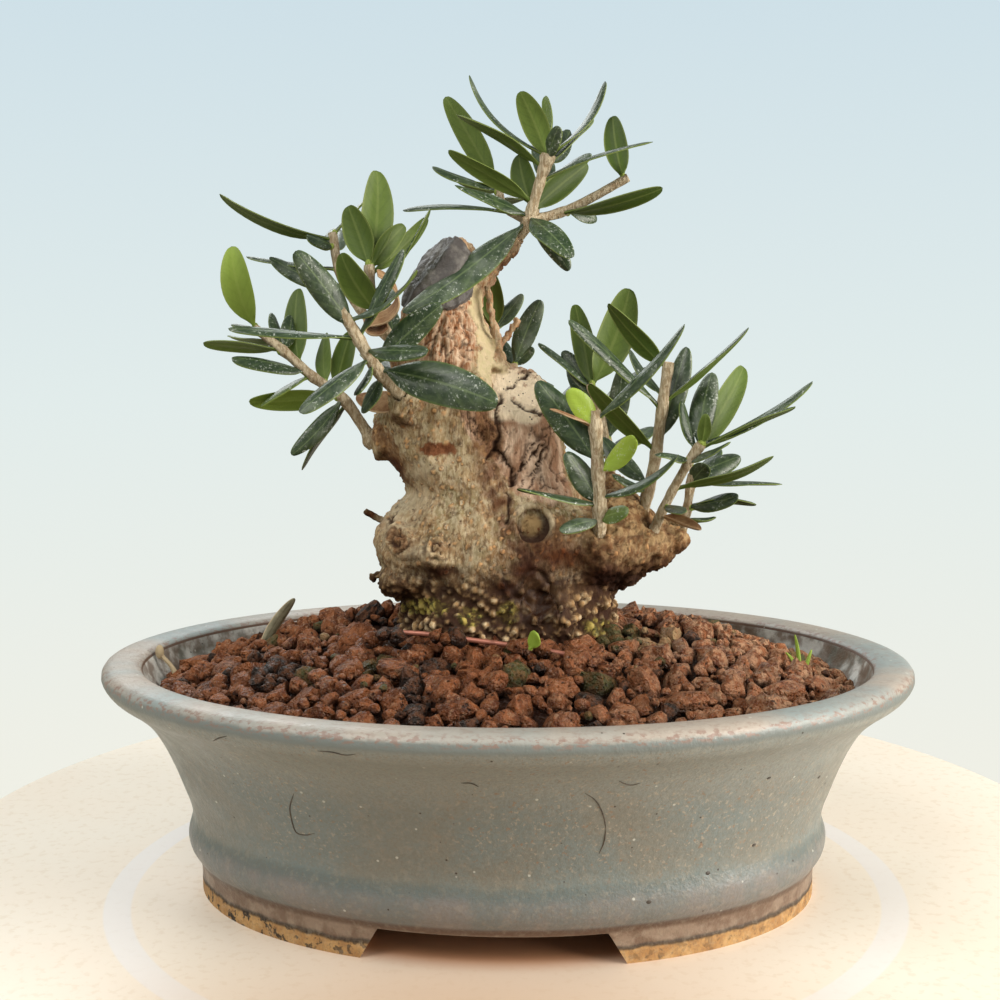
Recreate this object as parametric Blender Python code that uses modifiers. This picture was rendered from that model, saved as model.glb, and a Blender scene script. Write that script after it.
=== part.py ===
# Wild olive bonsai in an oval glazed pot.
# All lengths below are in millimetres, and MM turns them into metres.
# The origin is on the surface under the middle of the pot. +X is to the right seen from the
# tree's front, +Y is away from the viewer and +Z is up.
import math
import random

import bmesh
import bpy
from mathutils import Matrix, Vector, noise

MM = 0.001

# Driving dimensions of the pot
POT_HALF_LENGTH = 81.5
POT_HALF_WIDTH = 64.0
POT_HEIGHT = 47.0
OVAL_STEP = POT_HALF_LENGTH - POT_HALF_WIDTH
OVAL_SEGMENTS = 36
FLOOR_HEIGHT = 11.0
UNDERSIDE_HEIGHT = 6.5
FOOT_GAP_HEIGHT = 6.0
FOOT_GAP_HALF_TOP = 20.6
FOOT_GAP_HALF_BOTTOM = 23.9
FOOT_RING_WIDTH = 9.0
DRAIN_HOLE_X = 30.0
DRAIN_HOLE_RADIUS = 6.0
WIRE_HOLE_X = 13.0
WIRE_HOLE_RADIUS = 2.2
DRAIN_HOLE_SEGMENTS = 20
WIRE_HOLE_SEGMENTS = 10
HOLE_CUT_LOW = 2.0
HOLE_CUT_HIGH = 16.0
CUT_MARGIN = 2.0

# Half length of the outside at each height, from the foot up to the lip
OUTER_PROFILE = [
    (62.6, 0.0),
    (62.8, 4.5),
    (63.4, 6.9),
    (64.9, 9.4),
    (65.3, 12.0),
    (64.4, 15.6),
    (64.8, 18.5),
    (66.0, 22.0),
    (67.9, 27.0),
    (70.3, 32.0),
    (73.2, 36.3),
    (76.8, 39.6),
    (80.0, 42.0),
    (81.5, 44.5),
    (80.9, 46.3),
    (79.0, POT_HEIGHT),
    (76.0, 46.9),
    (74.2, 46.4),
]
# Half length of the inside at each height, from the lip down to the floor
INNER_PROFILE = [
    (73.4, 45.4),
    (72.6, 43.0),
    (70.4, 39.0),
    (66.8, 33.5),
    (63.6, 27.0),
    (61.0, 19.5),
    (59.5, 14.0),
    (57.0, FLOOR_HEIGHT),
]

# Clearance between pieces that touch
GAP = 0.3

# Tree
TRUNK_VOXEL = 1.0
TRUNK_FACES = 2300
TRUNK_SEGMENTS = 40
SOIL_HOLE_FACES = 900
LIMB_BEAD_STEP = 0.8

# Soil: its mean height at the trunk, along the pot's sides and at the pot's two ends
SOIL_MIDDLE_HEIGHT = 52.6
SOIL_SIDE_HEIGHT = 44.8
SOIL_END_HEIGHT = 39.6
SOIL_HALF_LENGTH = 74.0
SOIL_HALF_WIDTH = 56.5
SOIL_FALL_POWER = 2.6
# Heaps on the soil: middle, height and reach
SOIL_HEAPS = [
    ((-37.0, 9.0), 2.6, 12.0),
    ((37.0, 8.0), 2.4, 12.0),
    ((-24.0, 6.0), 2.4, 8.0),
]
SOIL_WALL_GAP = 0.6
# Half length and height at which the soil's wall is open to the top
SOIL_TOP = (74.0, 61.0)
SOIL_HOLE_GAP = 0.9
SOIL_GRID_STEP = 5.1
SOIL_GRID_SHAKE = 0.9
# Lumps on the soil: spacing, shake of their places, reach and height of each
LUMP_SPACING = 6.4
LUMP_ROW_SHARE = 0.87
LUMP_SHAKE = 1.3
LUMP_REACH = (3.0, 4.4)
LUMP_RISE = (1.6, 3.4)
LUMP_SINK = 1.6
LUMP_SEED = 7

# Wire and mesh
WIRE_RADIUS = 0.75
WIRE_STEP = 7.0
DRAIN_MESH_SIDE = 18.0
DRAIN_MESH_THICKNESS = 0.8
DRAIN_MESH_CELLS = 3
DRAIN_MESH_BAR = 1.2

# Trunk cross-sections: height, left, right, front and back edge
TRUNK_SECTIONS = [
    (33.0, -17.0, 16.0, -11.0, 12.0),
    (38.0, -21.5, 20.0, -15.0, 15.5),
    (47.0, -22.5, 21.5, -16.5, 17.0),
    (53.0, -21.5, 21.8, -16.5, 16.5),
    (58.0, -21.5, 22.2, -16.5, 16.5),
    (62.0, -23.5, 22.5, -17.0, 17.0),
    (67.0, -25.4, 23.0, -17.0, 17.0),
    (72.0, -25.4, 22.0, -16.5, 17.0),
    (76.5, -23.0, 20.0, -15.5, 16.0),
    (80.5, -19.2, 17.0, -14.0, 15.0),
    (84.0, -22.0, 14.0, -13.5, 14.5),
    (88.5, -26.5, 12.0, -13.0, 14.0),
    (93.0, -27.5, 10.0, -12.5, 13.5),
    (98.0, -24.5, 8.0, -12.0, 12.5),
    (103.0, -23.0, 3.0, -11.0, 11.5),
    (108.0, -22.3, -1.2, -10.0, 10.5),
    (114.0, -21.0, -4.0, -8.5, 9.5),
    (119.0, -19.5, -4.8, -7.5, 8.5),
    (123.5, -17.5, -5.2, -6.5, 7.5),
    (127.5, -15.0, -5.8, -5.0, 6.0),
    (130.5, -11.5, -7.2, -3.0, 3.5),
]
# Swellings grown on the trunk: centre, then half size along x, y and z
TRUNK_LOBES = [
    ((15.0, 0.0, 70.0), (11.0, 14.0, 10.0)),
    ((21.5, -1.0, 71.0), (9.3, 11.5, 10.2)),
    ((28.2, -1.5, 69.8), (6.0, 8.0, 5.4)),
    ((32.8, -2.0, 71.2), (4.2, 5.0, 2.8)),
    ((20.0, 4.0, 78.5), (5.5, 6.5, 5.2)),
    ((18.6, -9.5, 69.0), (5.5, 5.0, 5.5)),
    ((3.2, -2.0, 88.0), (9.0, 9.5, 12.0)),
    ((4.0, -2.5, 96.5), (6.3, 7.5, 8.6)),
    ((-20.5, -3.0, 69.5), (5.4, 9.0, 7.5)),
    ((-18.5, -10.5, 69.5), (4.0, 4.2, 4.2)),
    ((-12.5, -14.5, 69.0), (3.6, 3.0, 3.4)),
    ((-20.0, -8.0, 63.0), (4.5, 6.0, 3.5)),
    ((-26.2, -2.0, 90.6), (3.0, 4.4, 4.4)),
    ((-19.0, -10.0, 98.0), (3.8, 3.6, 4.4)),
    ((-19.8, -4.5, 108.0), (3.4, 3.4, 3.6)),
    ((-20.5, 3.8, 107.5), (3.2, 3.6, 3.8)),
    ((-4.5, 5.0, 105.5), (3.2, 4.0, 3.6)),
    ((2.6, 7.0, 98.0), (3.4, 4.0, 4.0)),
    ((-16.5, 9.0, 94.0), (3.8, 4.4, 4.0)),
    ((6.0, 13.5, 80.0), (4.0, 4.4, 4.4)),
    ((-14.0, 13.0, 64.0), (6.0, 5.5, 5.5)),
    ((10.0, -15.0, 56.5), (5.0, 3.6, 5.0)),
    ((-9.0, -15.0, 55.0), (6.5, 4.0, 4.0)),
    ((1.0, 15.5, 55.0), (7.0, 4.0, 5.0)),
]
# The main limb out of the upper trunk: centre and radius
MAIN_LIMB = [
    ((-9.0, 0.5, 115.5), 4.6),
    ((-6.0, 0.0, 121.5), 3.0),
    ((-1.5, 0.0, 126.6), 2.3),
    ((2.0, 0.0, 130.0), 2.2),
    ((2.8, 0.0, 131.0), 1.9),
]
# Thin dead stubs: path and radius
DEAD_STUBS = [
    ([(0.0, -3.5, 101.0), (0.0, -4.2, 106.0), (-1.8, -4.0, 113.0), (-3.2, -3.4, 121.0)], 0.85),
    ([(-3.5, 1.0, 106.5), (-0.6, 1.4, 109.5), (2.7, 2.6, 114.7)], 0.8),
    ([(-22.5, 0.0, 73.0), (-26.0, -0.5, 74.6), (-28.6, -0.5, 76.2)], 0.8),
    ([(-21.0, -2.0, 64.5), (-24.5, -2.5, 63.4), (-27.2, -2.5, 62.6)], 1.1),
]
# Sawn faces: a point on the face and the way that it faces
SAWN_DEADWOOD = ((4.4, -7.0, 98.9), (0.24, -0.74, 0.62))
SAWN_DEADWOOD_HALF = 6.4
SAWN_TOP = ((-14.4, -3.0, 124.6), (-0.62, -0.48, 0.60))
SAWN_TOP_HALF = 12.0
# Sawn knot on the front, inside its swollen ring
KNOT_CENTRE = (6.2, -15.0, 75.1)
KNOT_RADIUS = 2.2
KNOT_RING_RADIUS = 3.5
KNOT_RING_RISE = 1.0
KNOT_DEPTH = 0.7
# Dark crevice at the foot of the trunk: its ends, depth and half width
CREVICE_ENDS = ((7.5, -18.0, 62.0), (10.5, -19.0, 52.0))
CREVICE_DEPTH = 3.0
CREVICE_HALF_WIDTH = 2.0
# Shrinkage cracks in the deadwood: their ends
DEADWOOD_CRACKS = [
    ((-2.0, -13.0, 104.0), (-3.0, -13.0, 92.0)),
    ((-3.0, -13.0, 92.0), (1.5, -14.0, 84.0)),
    ((1.5, -13.0, 94.0), (7.0, -12.0, 88.0)),
    ((-8.0, -12.0, 113.0), (-6.0, -13.0, 101.0)),
]
CRACK_DEPTH = 0.7
CRACK_HALF_WIDTH = 2.1
# Bark: the broad swell, the ridges that run up the trunk, and the warts near the soil
SWELL_RISE = 0.55
SWELL_PER_MM = 0.16
RIDGE_RISE = 0.30
RIDGE_PER_MM = (0.55, 0.55, 0.2)
WART_TOP = 72.0
WART_FADE = 12.0
WART_PER_MM = 0.28
WART_SPREAD = 0.55
WART_RISE = 1.6
BURIED_TOP = 50.0
BURIED_FADE = 5.0

# Wound sealant: the ellipsoid that bounds its patch, and its skin
SEALANT_CENTRE = (-13.6, -4.5, 123.0)
SEALANT_HALF_SIZE = (8.8, 7.5, 9.4)
SEALANT_THICKNESS = 0.9

# Tie wire, from under the pot, up through the soil, past the trunk's front and down again
WIRE_ROUTE = [
    (-5.0, 0.0, 5.4),
    (-11.6, 0.0, 5.4),
    (-13.0, 0.0, 7.0),
    (-13.0, 0.0, 14.0),
    (-15.0, -3.0, 22.0),
    (-22.0, -8.0, 30.0),
    (-27.0, -13.0, 42.0),
    (-26.0, -16.5, 51.5),
    (-22.0, -18.5, 54.4),
    (-14.0, -20.5, 54.8),
    (-5.0, -22.0, 54.0),
    (6.0, -23.2, 52.8),
    (15.0, -24.0, 51.2),
    (22.0, -22.0, 47.0),
    (24.5, -16.0, 38.0),
    (21.0, -8.0, 28.0),
    (14.5, -2.5, 20.0),
    (13.0, 0.0, 13.0),
    (13.0, 0.0, 7.0),
    (11.6, 0.0, 5.4),
    (5.0, 0.0, 5.4),
]

# Leafy stems. Each has its stems (path and radius at foot and end) and its leaves:
# stem number, place along it from 0 to 1, tip, width, the way the upper face looks, and arch.
SPRAYS = {
    "spray_top": {
        "stems": [
            ([(1.2, 0.0, 129.2), (4.2, 0.0, 132.2), (6.2, -1.0, 138.0), (9.0, -2.0, 146.5)], 1.0, 1.0),
            ([(5.4, 0.2, 135.0), (6.6, 3.0, 137.6), (9.0, 5.0, 141.2)], 0.9, 0.8),
            ([(5.0, 0.0, 134.0), (11.0, 1.0, 135.4), (17.0, 0.0, 138.0), (24.5, -1.0, 142.0)], 0.95, 0.8),
            ([(5.0, 0.0, 134.2), (0.5, 3.0, 136.4), (-2.0, 5.0, 142.0)], 0.8, 0.7),
        ],
        "leaves": [
            (0, 0.98, (-7, 4, 163), 3.6, (0, 0, 1), -1.6),
            (0, 0.95, (3.5, -5, 158), 4.8, (0, 1, 0.2), 0.8),
            (0, 0.97, (8, 6, 159), 3.2, (1, 0.3, 0), 0.6),
            (0, 1.00, (20, 2, 161), 3.8, (0, 0.1, 1), -1.4),
            (0, 0.95, (11, -7, 151), 3.0, (0, -1, 0.6), 0.4),
            (0, 0.90, (13, 7, 152.5), 3.8, (0.3, -1, 0), 0.5),
            (0, 0.85, (17.5, 9, 155), 3.4, (-0.8, -0.6, 0.5), 0.8),
            (0, 0.72, (29, -6, 148), 4.2, (0, -0.1, 1), 1.2),
            (0, 0.40, (16.5, 8, 146), 4.6, (0, 1, 0.3), 0.8),
            (0, 0.34, (13.5, -9, 126), 5.4, (0.3, -1, 0.6), 1.5),
            (0, 0.32, (13, -2, 124), 3.6, (-0.8, -0.5, 0.5), 0.6),
            (0, 0.30, (-18.5, -14, 115.5), 6.4, (-0.4, -1, 0.3), 1.2),
            (0, 0.85, (-9, -3, 154), 4.0, (0, 0.1, 1), 1.0),
            (0, 0.50, (-10.5, -5, 147), 4.0, (0, 0.8, 1), 0.8),
            (0, 0.35, (-9, -8, 140), 3.8, (0, -1, 0.9), 0.6),
            (0, 0.45, (3, 1, 147), 4.6, (-0.1, 1, 0.2), 0.5),
            (1, 0.95, (6, 18, 152), 4.2, (0, -0.5, 1), 1.0),
            (1, 0.90, (17, 15, 149), 4.0, (0, -0.4, 1), 0.8),
            (1, 0.60, (-2, 16, 139), 4.0, (0, -0.3, 1), 0.8),
            (2, 0.95, (21.5, 3, 154.5), 4.3, (0, 1, 0), 0.8),
            (2, 0.30, (31, -5, 139.5), 4.6, (0, 0.35, 1), -1.2),
            (2, 0.35, (18.5, 5, 134.5), 3.2, (0, -1, 0.7), 0.4),
            (3, 0.90, (-12, 5, 159), 4.6, (0.3, 1, 0), 1.0),
            (3, 0.80, (-14.5, 3, 145), 3.4, (0, -0.4, 1), 0.6),
            (3, 0.80, (-10, 7, 142.5), 3.2, (0, 0.6, 1), 0.4),
            (3, 0.25, (-20.5, 3, 136.5), 3.4, (0, 0, 1), 1.0),
        ],
    },
    "spray_left_front": {
        "stems": [
            ([(-17.5, -9.5, 97.5), (-19.5, -12.0, 100.0), (-22.0, -14.5, 102.8), (-24.5, -17.0, 107.0),
              (-28.0, -19.0, 113.5), (-31.0, -20.0, 118.5)], 1.15, 1.0),
        ],
        "leaves": [
            (0, 0.80, (-14.5, -25, 123), 3.8, (-0.3, -0.6, 1), -1.0),
            (0, 0.66, (-50, -23, 112.5), 4.0, (0, 0, 1), 0.6),
            (0, 0.72, (-37, -24, 126.5), 5.0, (0.3, -1, 0.3), 0.8),
            (0, 0.66, (-17.5, -20, 127), 3.8, (-0.9, -0.7, 0.2), 0.8),
            (0, 0.56, (-12.5, -26, 108), 4.4, (0, -0.8, 0.9), 0.5),
            (0, 0.40, (0, -22, 98.5), 7.6, (0.1, -1, 0.35), 0.8),
            (0, 0.50, (-36, -27, 97), 4.6, (-0.3, -0.7, 0.8), 1.2),
            (0, 0.46, (-27, -20, 100), 3.0, (-1, -0.6, 0), 0.3),
            (0, 0.34, (-26.5, -15, 96.5), 3.2, (-0.6, -1, 0), 0.4),
            (0, 0.44, (-11, -15, 117), 5.0, (0.2, -1, 0.2), 0.5),
        ],
    },
    "spray_left_far": {
        "stems": [
            ([(-26.5, -1.8, 90.5), (-28.6, -2.6, 94.0), (-32.0, -4.0, 99.0), (-38.0, -6.0, 103.7),
              (-42.6, -7.0, 108.0), (-48.7, -8.0, 113.0)], 1.15, 0.8),
        ],
        "leaves": [
            (0, 0.98, (-52, -11, 128.5), 5.6, (0.2, 1, 0.1), -0.8),
            (0, 0.98, (-53, -9, 113.5), 2.6, (0, -0.3, 1), 0.2),
            (0, 0.78, (-57.5, -13, 110), 4.4, (0, 0.1, 1), 0.6),
            (0, 0.85, (-55.5, -1, 111.5), 4.0, (0, 0.6, 1), 0.4),
            (0, 0.57, (-52, -13, 107), 4.5, (0, -0.5, 1), 0.6),
            (0, 0.65, (-42, 3, 121), 4.6, (0, 1, 0), 0.6),
            (0, 0.78, (-42.5, -2, 115.5), 3.2, (0.5, -1, 0), 0.3),
            (0, 0.80, (-47, 1, 116), 2.8, (0, 0.5, 1), 0.3),
            (0, 0.55, (-47.5, -9, 97.5), 4.0, (0.4, 0, 1), 0.8),
            (0, 0.34, (-50, -8, 98.5), 4.4, (0, -0.4, 1), 0.8),
            (0, 0.32, (-41.5, -5, 88), 3.8, (0.7, 0.2, 0.8), 0.8),
            (0, 0.28, (-42, 0, 84), 4.0, (0.8, -0.5, 0.7), 0.8),
            (0, 0.45, (-36.7, 4, 112), 3.8, (0.3, 1, 0), 0.5),
            (0, 0.38, (-31.5, 5, 112.5), 4.0, (-0.3, 1, 0), 0.5),
        ],
    },
    "spray_left_upper": {
        "stems": [
            ([(-20.0, 3.6, 107.5), (-23.0, 4.5, 110.0), (-30.0, 6.0, 117.0), (-34.0, 6.0, 124.0),
              (-35.4, 6.0, 132.5)], 0.95, 0.8),
        ],
        "leaves": [
            (0, 0.95, (-57.5, 2, 140), 4.2, (0, -0.1, 1), -2.0),
            (0, 0.90, (-40, 2, 131.5), 4.0, (0, -0.7, 0.7), 0.3),
            (0, 0.75, (-54, 9, 128), 3.2, (0, 0, 1), 0.6),
            (0, 0.60, (-48.5, 6, 127.5), 4.0, (0, -1, 0.5), 0.6),
            (0, 0.85, (-38, 24, 135), 4.4, (0, -0.3, 1), 0.8),
            (0, 0.60, (-37, 26, 121), 4.4, (0, -0.2, 1), 1.0),
            (0, 0.45, (-25, 24, 122), 4.2, (0.2, -0.3, 1), 0.8),
            (0, 0.98, (-28, 13, 141), 4.0, (-0.7, 0, 0.7), 0.6),
        ],
    },
    "spray_left_inner": {
        "stems": [
            ([(-19.4, -4.6, 107.6), (-21.8, -6.2, 110.8), (-24.0, -8.0, 115.5), (-25.2, -8.0, 119.5),
              (-25.8, -8.0, 125.0)], 0.95, 0.8),
        ],
        "leaves": [
            (0, 0.98, (-30, -6, 136.5), 5.6, (0.2, 1, 0), 0.6),
            (0, 0.95, (-25, -2, 143.7), 6.0, (-0.1, 1, 0.1), 0.8),
            (0, 0.50, (-30.5, -12, 127), 5.8, (0.2, 1, 0.1), 0.6),
            (0, 0.95, (-19.5, -3, 133), 4.0, (-0.6, 0.8, 0.2), 0.5),
            (0, 0.90, (-15.5, 3, 135), 3.0, (-0.5, 1, 0.4), 0.4),
            (0, 0.70, (-13.5, -11, 135.2), 4.0, (-0.8, -0.3, 0.6), -0.8),
            (0, 0.55, (-21, -14, 111.5), 4.4, (-0.4, -0.6, 0.6), 2.4),
        ],
    },
    "spray_right_front": {
        "stems": [
            ([(18.6, -10.5, 70.0), (19.0, -12.0, 73.5), (19.0, -13.0, 80.0), (18.7, -13.5, 86.0),
              (18.0, -14.0, 97.0)], 1.25, 1.15),
        ],
        "leaves": [
            (0, 0.88, (13, -16, 101), 4.0, (0.1, -1, 0.2), 0.4),
            (0, 0.87, (9.5, -17, 97.3), 1.0, (0, -0.3, 1), 0.8),
            (0, 0.92, (34.5, -19, 113), 4.0, (-0.6, -0.5, 0.6), 0.6),
            (0, 0.56, (25.5, -20, 92), 4.2, (-0.2, -1, 0.6), -0.6),
            (0, 0.62, (7, -13, 102.5), 6.0, (0.1, -1, 0.1), 0.4),
            (0, 0.32, (12.5, -15, 89), 4.6, (0.4, -1, 0), 0.3),
            (0, 0.32, (3.5, -20, 82.5), 3.6, (0, -0.3, 1), 0.6),
            (0, 0.22, (11.5, -20, 74.5), 3.0, (0, -0.8, 0.8), 0.5),
            (0, 0.22, (24.5, -17, 78), 3.4, (-0.5, -0.8, 0.6), 0.5),
            (0, 0.38, (33.5, -20, 89), 3.8, (-0.4, -0.4, 1), -0.6),
        ],
    },
    "spray_right_tall": {
        "stems": [
            ([(26.6, -3.4, 72.8), (27.7, -4.2, 76.5), (29.7, -6.0, 85.7), (30.8, -7.0, 94.2),
              (32.3, -8.0, 106.0)], 1.15, 1.0),
        ],
        "leaves": [
            (0, 0.96, (20.5, -6, 117.3), 4.6, (0.4, 0.8, 0.4), 0.5),
            (0, 0.72, (13, -14, 114), 4.0, (0.3, -0.5, 1), 1.0),
            (0, 0.76, (47, -12, 112.5), 4.4, (-0.5, 0.1, 0.9), 0.5),
            (0, 0.48, (17, -11, 102), 4.6, (0.4, 0.6, 0.7), 0.6),
            (0, 0.52, (36, -3, 109), 4.8, (-0.3, -1, 0.1), 0.5),
            (0, 0.80, (25, -3, 108.5), 3.0, (0.6, -0.6, 0.5), 0.3),
            (0, 0.28, (19.5, 0, 91), 4.0, (0.3, -0.8, 0.6), 0.4),
            (0, 0.24, (21.5, -9, 84.2), 3.0, (0, -0.6, 1), 0.2),
        ],
    },
    "spray_right_outer": {
        "stems": [
            ([(29.4, -6.6, 71.8), (30.6, -7.4, 75.2), (33.3, -9.0, 81.3), (36.4, -11.0, 87.3),
              (38.5, -12.0, 90.5)], 0.95, 0.8),
        ],
        "leaves": [
            (0, 0.98, (59.5, -10, 102.3), 3.6, (-0.2, -0.1, 1), -1.0),
            (0, 0.92, (55.5, -15.5, 97.7), 4.2, (-0.2, 0.1, 1), 0.8),
            (0, 0.90, (35, -8, 98.5), 3.6, (0.8, -0.6, 0), 0.3),
            (0, 0.95, (41, -4, 104), 4.8, (-0.1, -1, 0.2), 0.4),
            (0, 0.85, (47.7, 2, 105), 5.0, (-0.1, 1, 0.2), 0.4),
            (0, 0.98, (39, -14.5, 96.3), 2.4, (0, 1, 0), 0.1),
            (0, 0.50, (51.7, -15, 88.3), 4.5, (-0.2, 0.5, 0.9), 0.6),
            (0, 0.32, (35, -15.5, 77.5), 3.0, (0.1, -0.8, 0.8), 0.2),
            (0, 0.80, (29.5, -15, 88.5), 3.2, (0, -0.6, 1), 0.5),
            (0, 0.78, (43.5, -16, 91), 3.0, (0, -0.6, 1), 0.4),
            (0, 0.22, (38.5, -13, 74), 3.0, (0, -0.5, 1), 0.5),
        ],
    },
    "spray_right_low": {
        "stems": [
            ([(34.6, -1.6, 70.6), (35.8, -2.0, 73.4), (36.7, -3.0, 78.5), (37.3, -4.0, 84.0)], 0.85, 0.75),
        ],
        "leaves": [
            (0, 0.92, (47.2, 0, 87.2), 4.4, (-0.3, -0.8, 0.6), 0.4),
            (0, 0.85, (55, -4, 82), 3.6, (0, 0.1, 1), 0.6),
            (0, 0.50, (46, -8, 80), 3.6, (0, -0.7, 0.8), 0.4),
            (0, 0.50, (50, -4, 78), 4.0, (0, 0.2, 1), 1.2),
            (0, 0.30, (42, -5, 75.5), 3.4, (0, 0.3, 1), 0.3),
            (0, 0.85, (40, -7, 86), 3.6, (-0.3, -1, 0), 0.2),
            (0, 0.75, (44, 10, 88), 4.0, (0, -0.3, 1), 0.8),
            (0, 0.45, (45, 11, 78), 3.8, (0, -0.2, 1), 0.8),
        ],
    },
    "spray_right_back": {
        "stems": [
            ([(20.6, 4.6, 78.0), (21.5, 6.0, 82.0), (20.8, 8.0, 90.0), (18.5, 9.0, 98.0),
              (17.2, 9.5, 101.5)], 1.05, 0.8),
        ],
        "leaves": [
            (0, 0.97, (25.3, 11, 121), 7.0, (-0.1, 1, 0.1), 0.6),
            (0, 0.95, (14, 15, 118), 4.4, (0, 1, 0), 0.5),
            (0, 0.50, (23.7, 6, 105), 4.2, (-0.2, -1, 0.1), 0.4),
            (0, 0.92, (6.5, 13, 110), 3.6, (0.2, 0, 1), 1.0),
            (0, 0.85, (11.5, 14, 108.3), 3.6, (0.4, -1, 0.2), 0.3),
            (0, 0.70, (30, 24, 105), 4.6, (0, -0.3, 1), 1.0),
            (0, 0.60, (13, 20, 106), 4.6, (0, -0.3, 1), 1.0),
            (0, 0.40, (31, 22, 92), 4.4, (0.1, -0.3, 1), 0.8),
            (0, 0.35, (15, 25, 88), 4.2, (0, -0.3, 1), 0.8),
        ],
    },
    "spray_back_middle": {
        "stems": [
            ([(2.4, 7.6, 98.6), (2.2, 9.6, 101.4), (1.2, 11.0, 105.5)], 0.85, 0.75),
        ],
        "leaves": [
            (0, 0.95, (7, 10, 118.8), 4.4, (0.2, -1, 0), 0.4),
            (0, 0.95, (5.5, 11, 109), 2.8, (0.2, -1, 0.1), 0.1),
            (0, 0.92, (-6, 21, 113), 4.4, (0, -0.4, 1), 0.8),
            (0, 0.80, (-8, 25, 103), 4.4, (0, -0.3, 1), 1.0),
            (0, 0.75, (9, 27, 101), 4.4, (0, -0.3, 1), 1.0),
        ],
    },
    "spray_back_top": {
        "stems": [
            ([(-4.4, 5.8, 106.2), (-3.2, 7.4, 109.2), (-2.3, 8.6, 113.0)], 0.85, 0.7),
        ],
        "leaves": [
            (0, 0.95, (-2.7, 8.5, 124), 4.4, (0, 1, 0), 0.3),
            (0, 0.95, (3.3, 9.5, 120), 3.0, (0.1, -1, 0.4), 0.2),
            (0, 0.92, (-6, 10.5, 122), 2.8, (0.3, 1, 0), 0.1),
            (0, 0.85, (-12, 20, 118), 4.2, (0, -0.4, 1), 0.8),
            (0, 0.80, (0, 22, 118), 4.2, (0, -0.4, 1), 0.8),
        ],
    },
    "spray_back_left": {
        "stems": [
            ([(-17.2, 10.0, 94.6), (-18.6, 12.2, 97.0), (-21.0, 16.0, 102.0), (-22.0, 18.0, 107.0)],
             1.05, 0.8),
        ],
        "leaves": [
            (0, 0.97, (-27, 27, 119), 4.8, (0, -0.4, 1), -0.6),
            (0, 0.97, (-14, 26, 118), 4.8, (0, -0.4, 1), 0.8),
            (0, 0.75, (-33, 27, 108), 4.6, (0, -0.2, 1), 1.0),
            (0, 0.70, (-12, 31, 106), 4.6, (0, -0.2, 1), 1.0),
            (0, 0.50, (-31, 26, 98), 4.4, (0, -0.2, 1), 1.0),
            (0, 0.45, (-13, 30, 96), 4.4, (0, -0.2, 1), 1.0),
            (0, 0.30, (-24, 27, 90), 4.2, (0, -0.2, 1), 1.0),
        ],
    },
    "spray_back_low": {
        "stems": [
            ([(6.2, 15.0, 80.8), (6.8, 17.4, 83.6), (7.6, 20.0, 88.0), (8.0, 21.5, 94.0)], 1.0, 0.8),
        ],
        "leaves": [
            (0, 0.97, (-2, 29, 106), 4.6, (0, -0.4, 1), 0.8),
            (0, 0.97, (19, 30, 106), 4.6, (0, -0.4, 1), 0.8),
            (0, 0.70, (-6, 34, 93), 4.4, (0, -0.2, 1), 1.0),
            (0, 0.70, (21, 34, 94), 4.4, (0, -0.2, 1), 1.0),
            (0, 0.40, (-3, 31, 82), 4.4, (0, -0.2, 1), 1.0),
            (0, 0.40, (19, 31, 81), 4.4, (0, -0.2, 1), 1.0),
        ],
    },
}

# Leaf blade: its sections along the leaf, length of petiole, thickness and upward fold
LEAF_STATIONS = (0.0, 0.15, 0.48, 0.85)
SHORT_LEAF_LENGTH = 10.0
SHORT_LEAF_STATIONS = (0.0, 0.22, 0.68)
PETIOLE_SHARE = 0.08
LEAF_BLUNTNESS = 0.5
LEAF_LEAN = 0.9
PETIOLE_HALF_WIDTH = 0.55
LEAF_HALF_THICKNESS = 0.45
LEAF_FOLD = 0.12

# Small things on the soil
FALLEN_LEAF = ((-52.4, 5.0, 44.6), (-44.3, 5.0, 57.0), 3.4, (0.6, -0.6, 0.3), 0.4)
GREEN_SCRAP = ((5.6, -27.0, 50.6), (7.0, -28.6, 56.4), 3.4, (-0.4, -1.0, 0.5), 0.2)
GRASS_FOOT = (59.6, -2.0, 44.0)
GRASS_BLADES = [
    ((58.4, -2.0, 56.0), 1.3, (0, -1, 0.1), 0.3),
    ((55.6, -3.0, 49.8), 1.2, (0.4, -1, 0.5), 0.5),
    ((63.0, -1.0, 50.0), 1.2, (0.4, -1, 0.3), 0.4),
]
SPROUT_STEM = [(-67.6, 0.0, 40.0), (-69.4, 0.0, 43.4), (-71.0, 0.0, 45.2), (-71.8, 0.0, 46.4)]
SPROUT_RADIUS = 0.5
SPROUT_BUD_HALF_SIZE = (0.9, 0.8, 1.5)


def clear_scene():
    for obj in list(bpy.data.objects):
        bpy.data.objects.remove(obj, do_unlink=True)


def new_collection(name):
    collection = bpy.data.collections.new(name)
    bpy.context.scene.collection.children.link(collection)
    return collection


clear_scene()
PARTS = new_collection("wild_olive_bonsai")
CUTTERS = new_collection("cutters")


def material(name, colour, roughness, metallic=0.0):
    """A plain Principled material with one colour, roughness and metallic value."""
    made = bpy.data.materials.new(name)
    made.use_nodes = True
    shader = made.node_tree.nodes["Principled BSDF"]
    shader.inputs["Base Color"].default_value = (*colour, 1.0)
    shader.inputs["Roughness"].default_value = roughness
    shader.inputs["Metallic"].default_value = metallic
    return made


def add_object(name, bm, collection):
    """Turn a bmesh in millimetres into an object in metres."""
    bmesh.ops.scale(bm, vec=(MM, MM, MM), verts=bm.verts)
    mesh = bpy.data.meshes.new(name)
    bm.to_mesh(mesh)
    bm.free()
    obj = bpy.data.objects.new(name, mesh)
    collection.objects.link(obj)
    return obj


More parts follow.
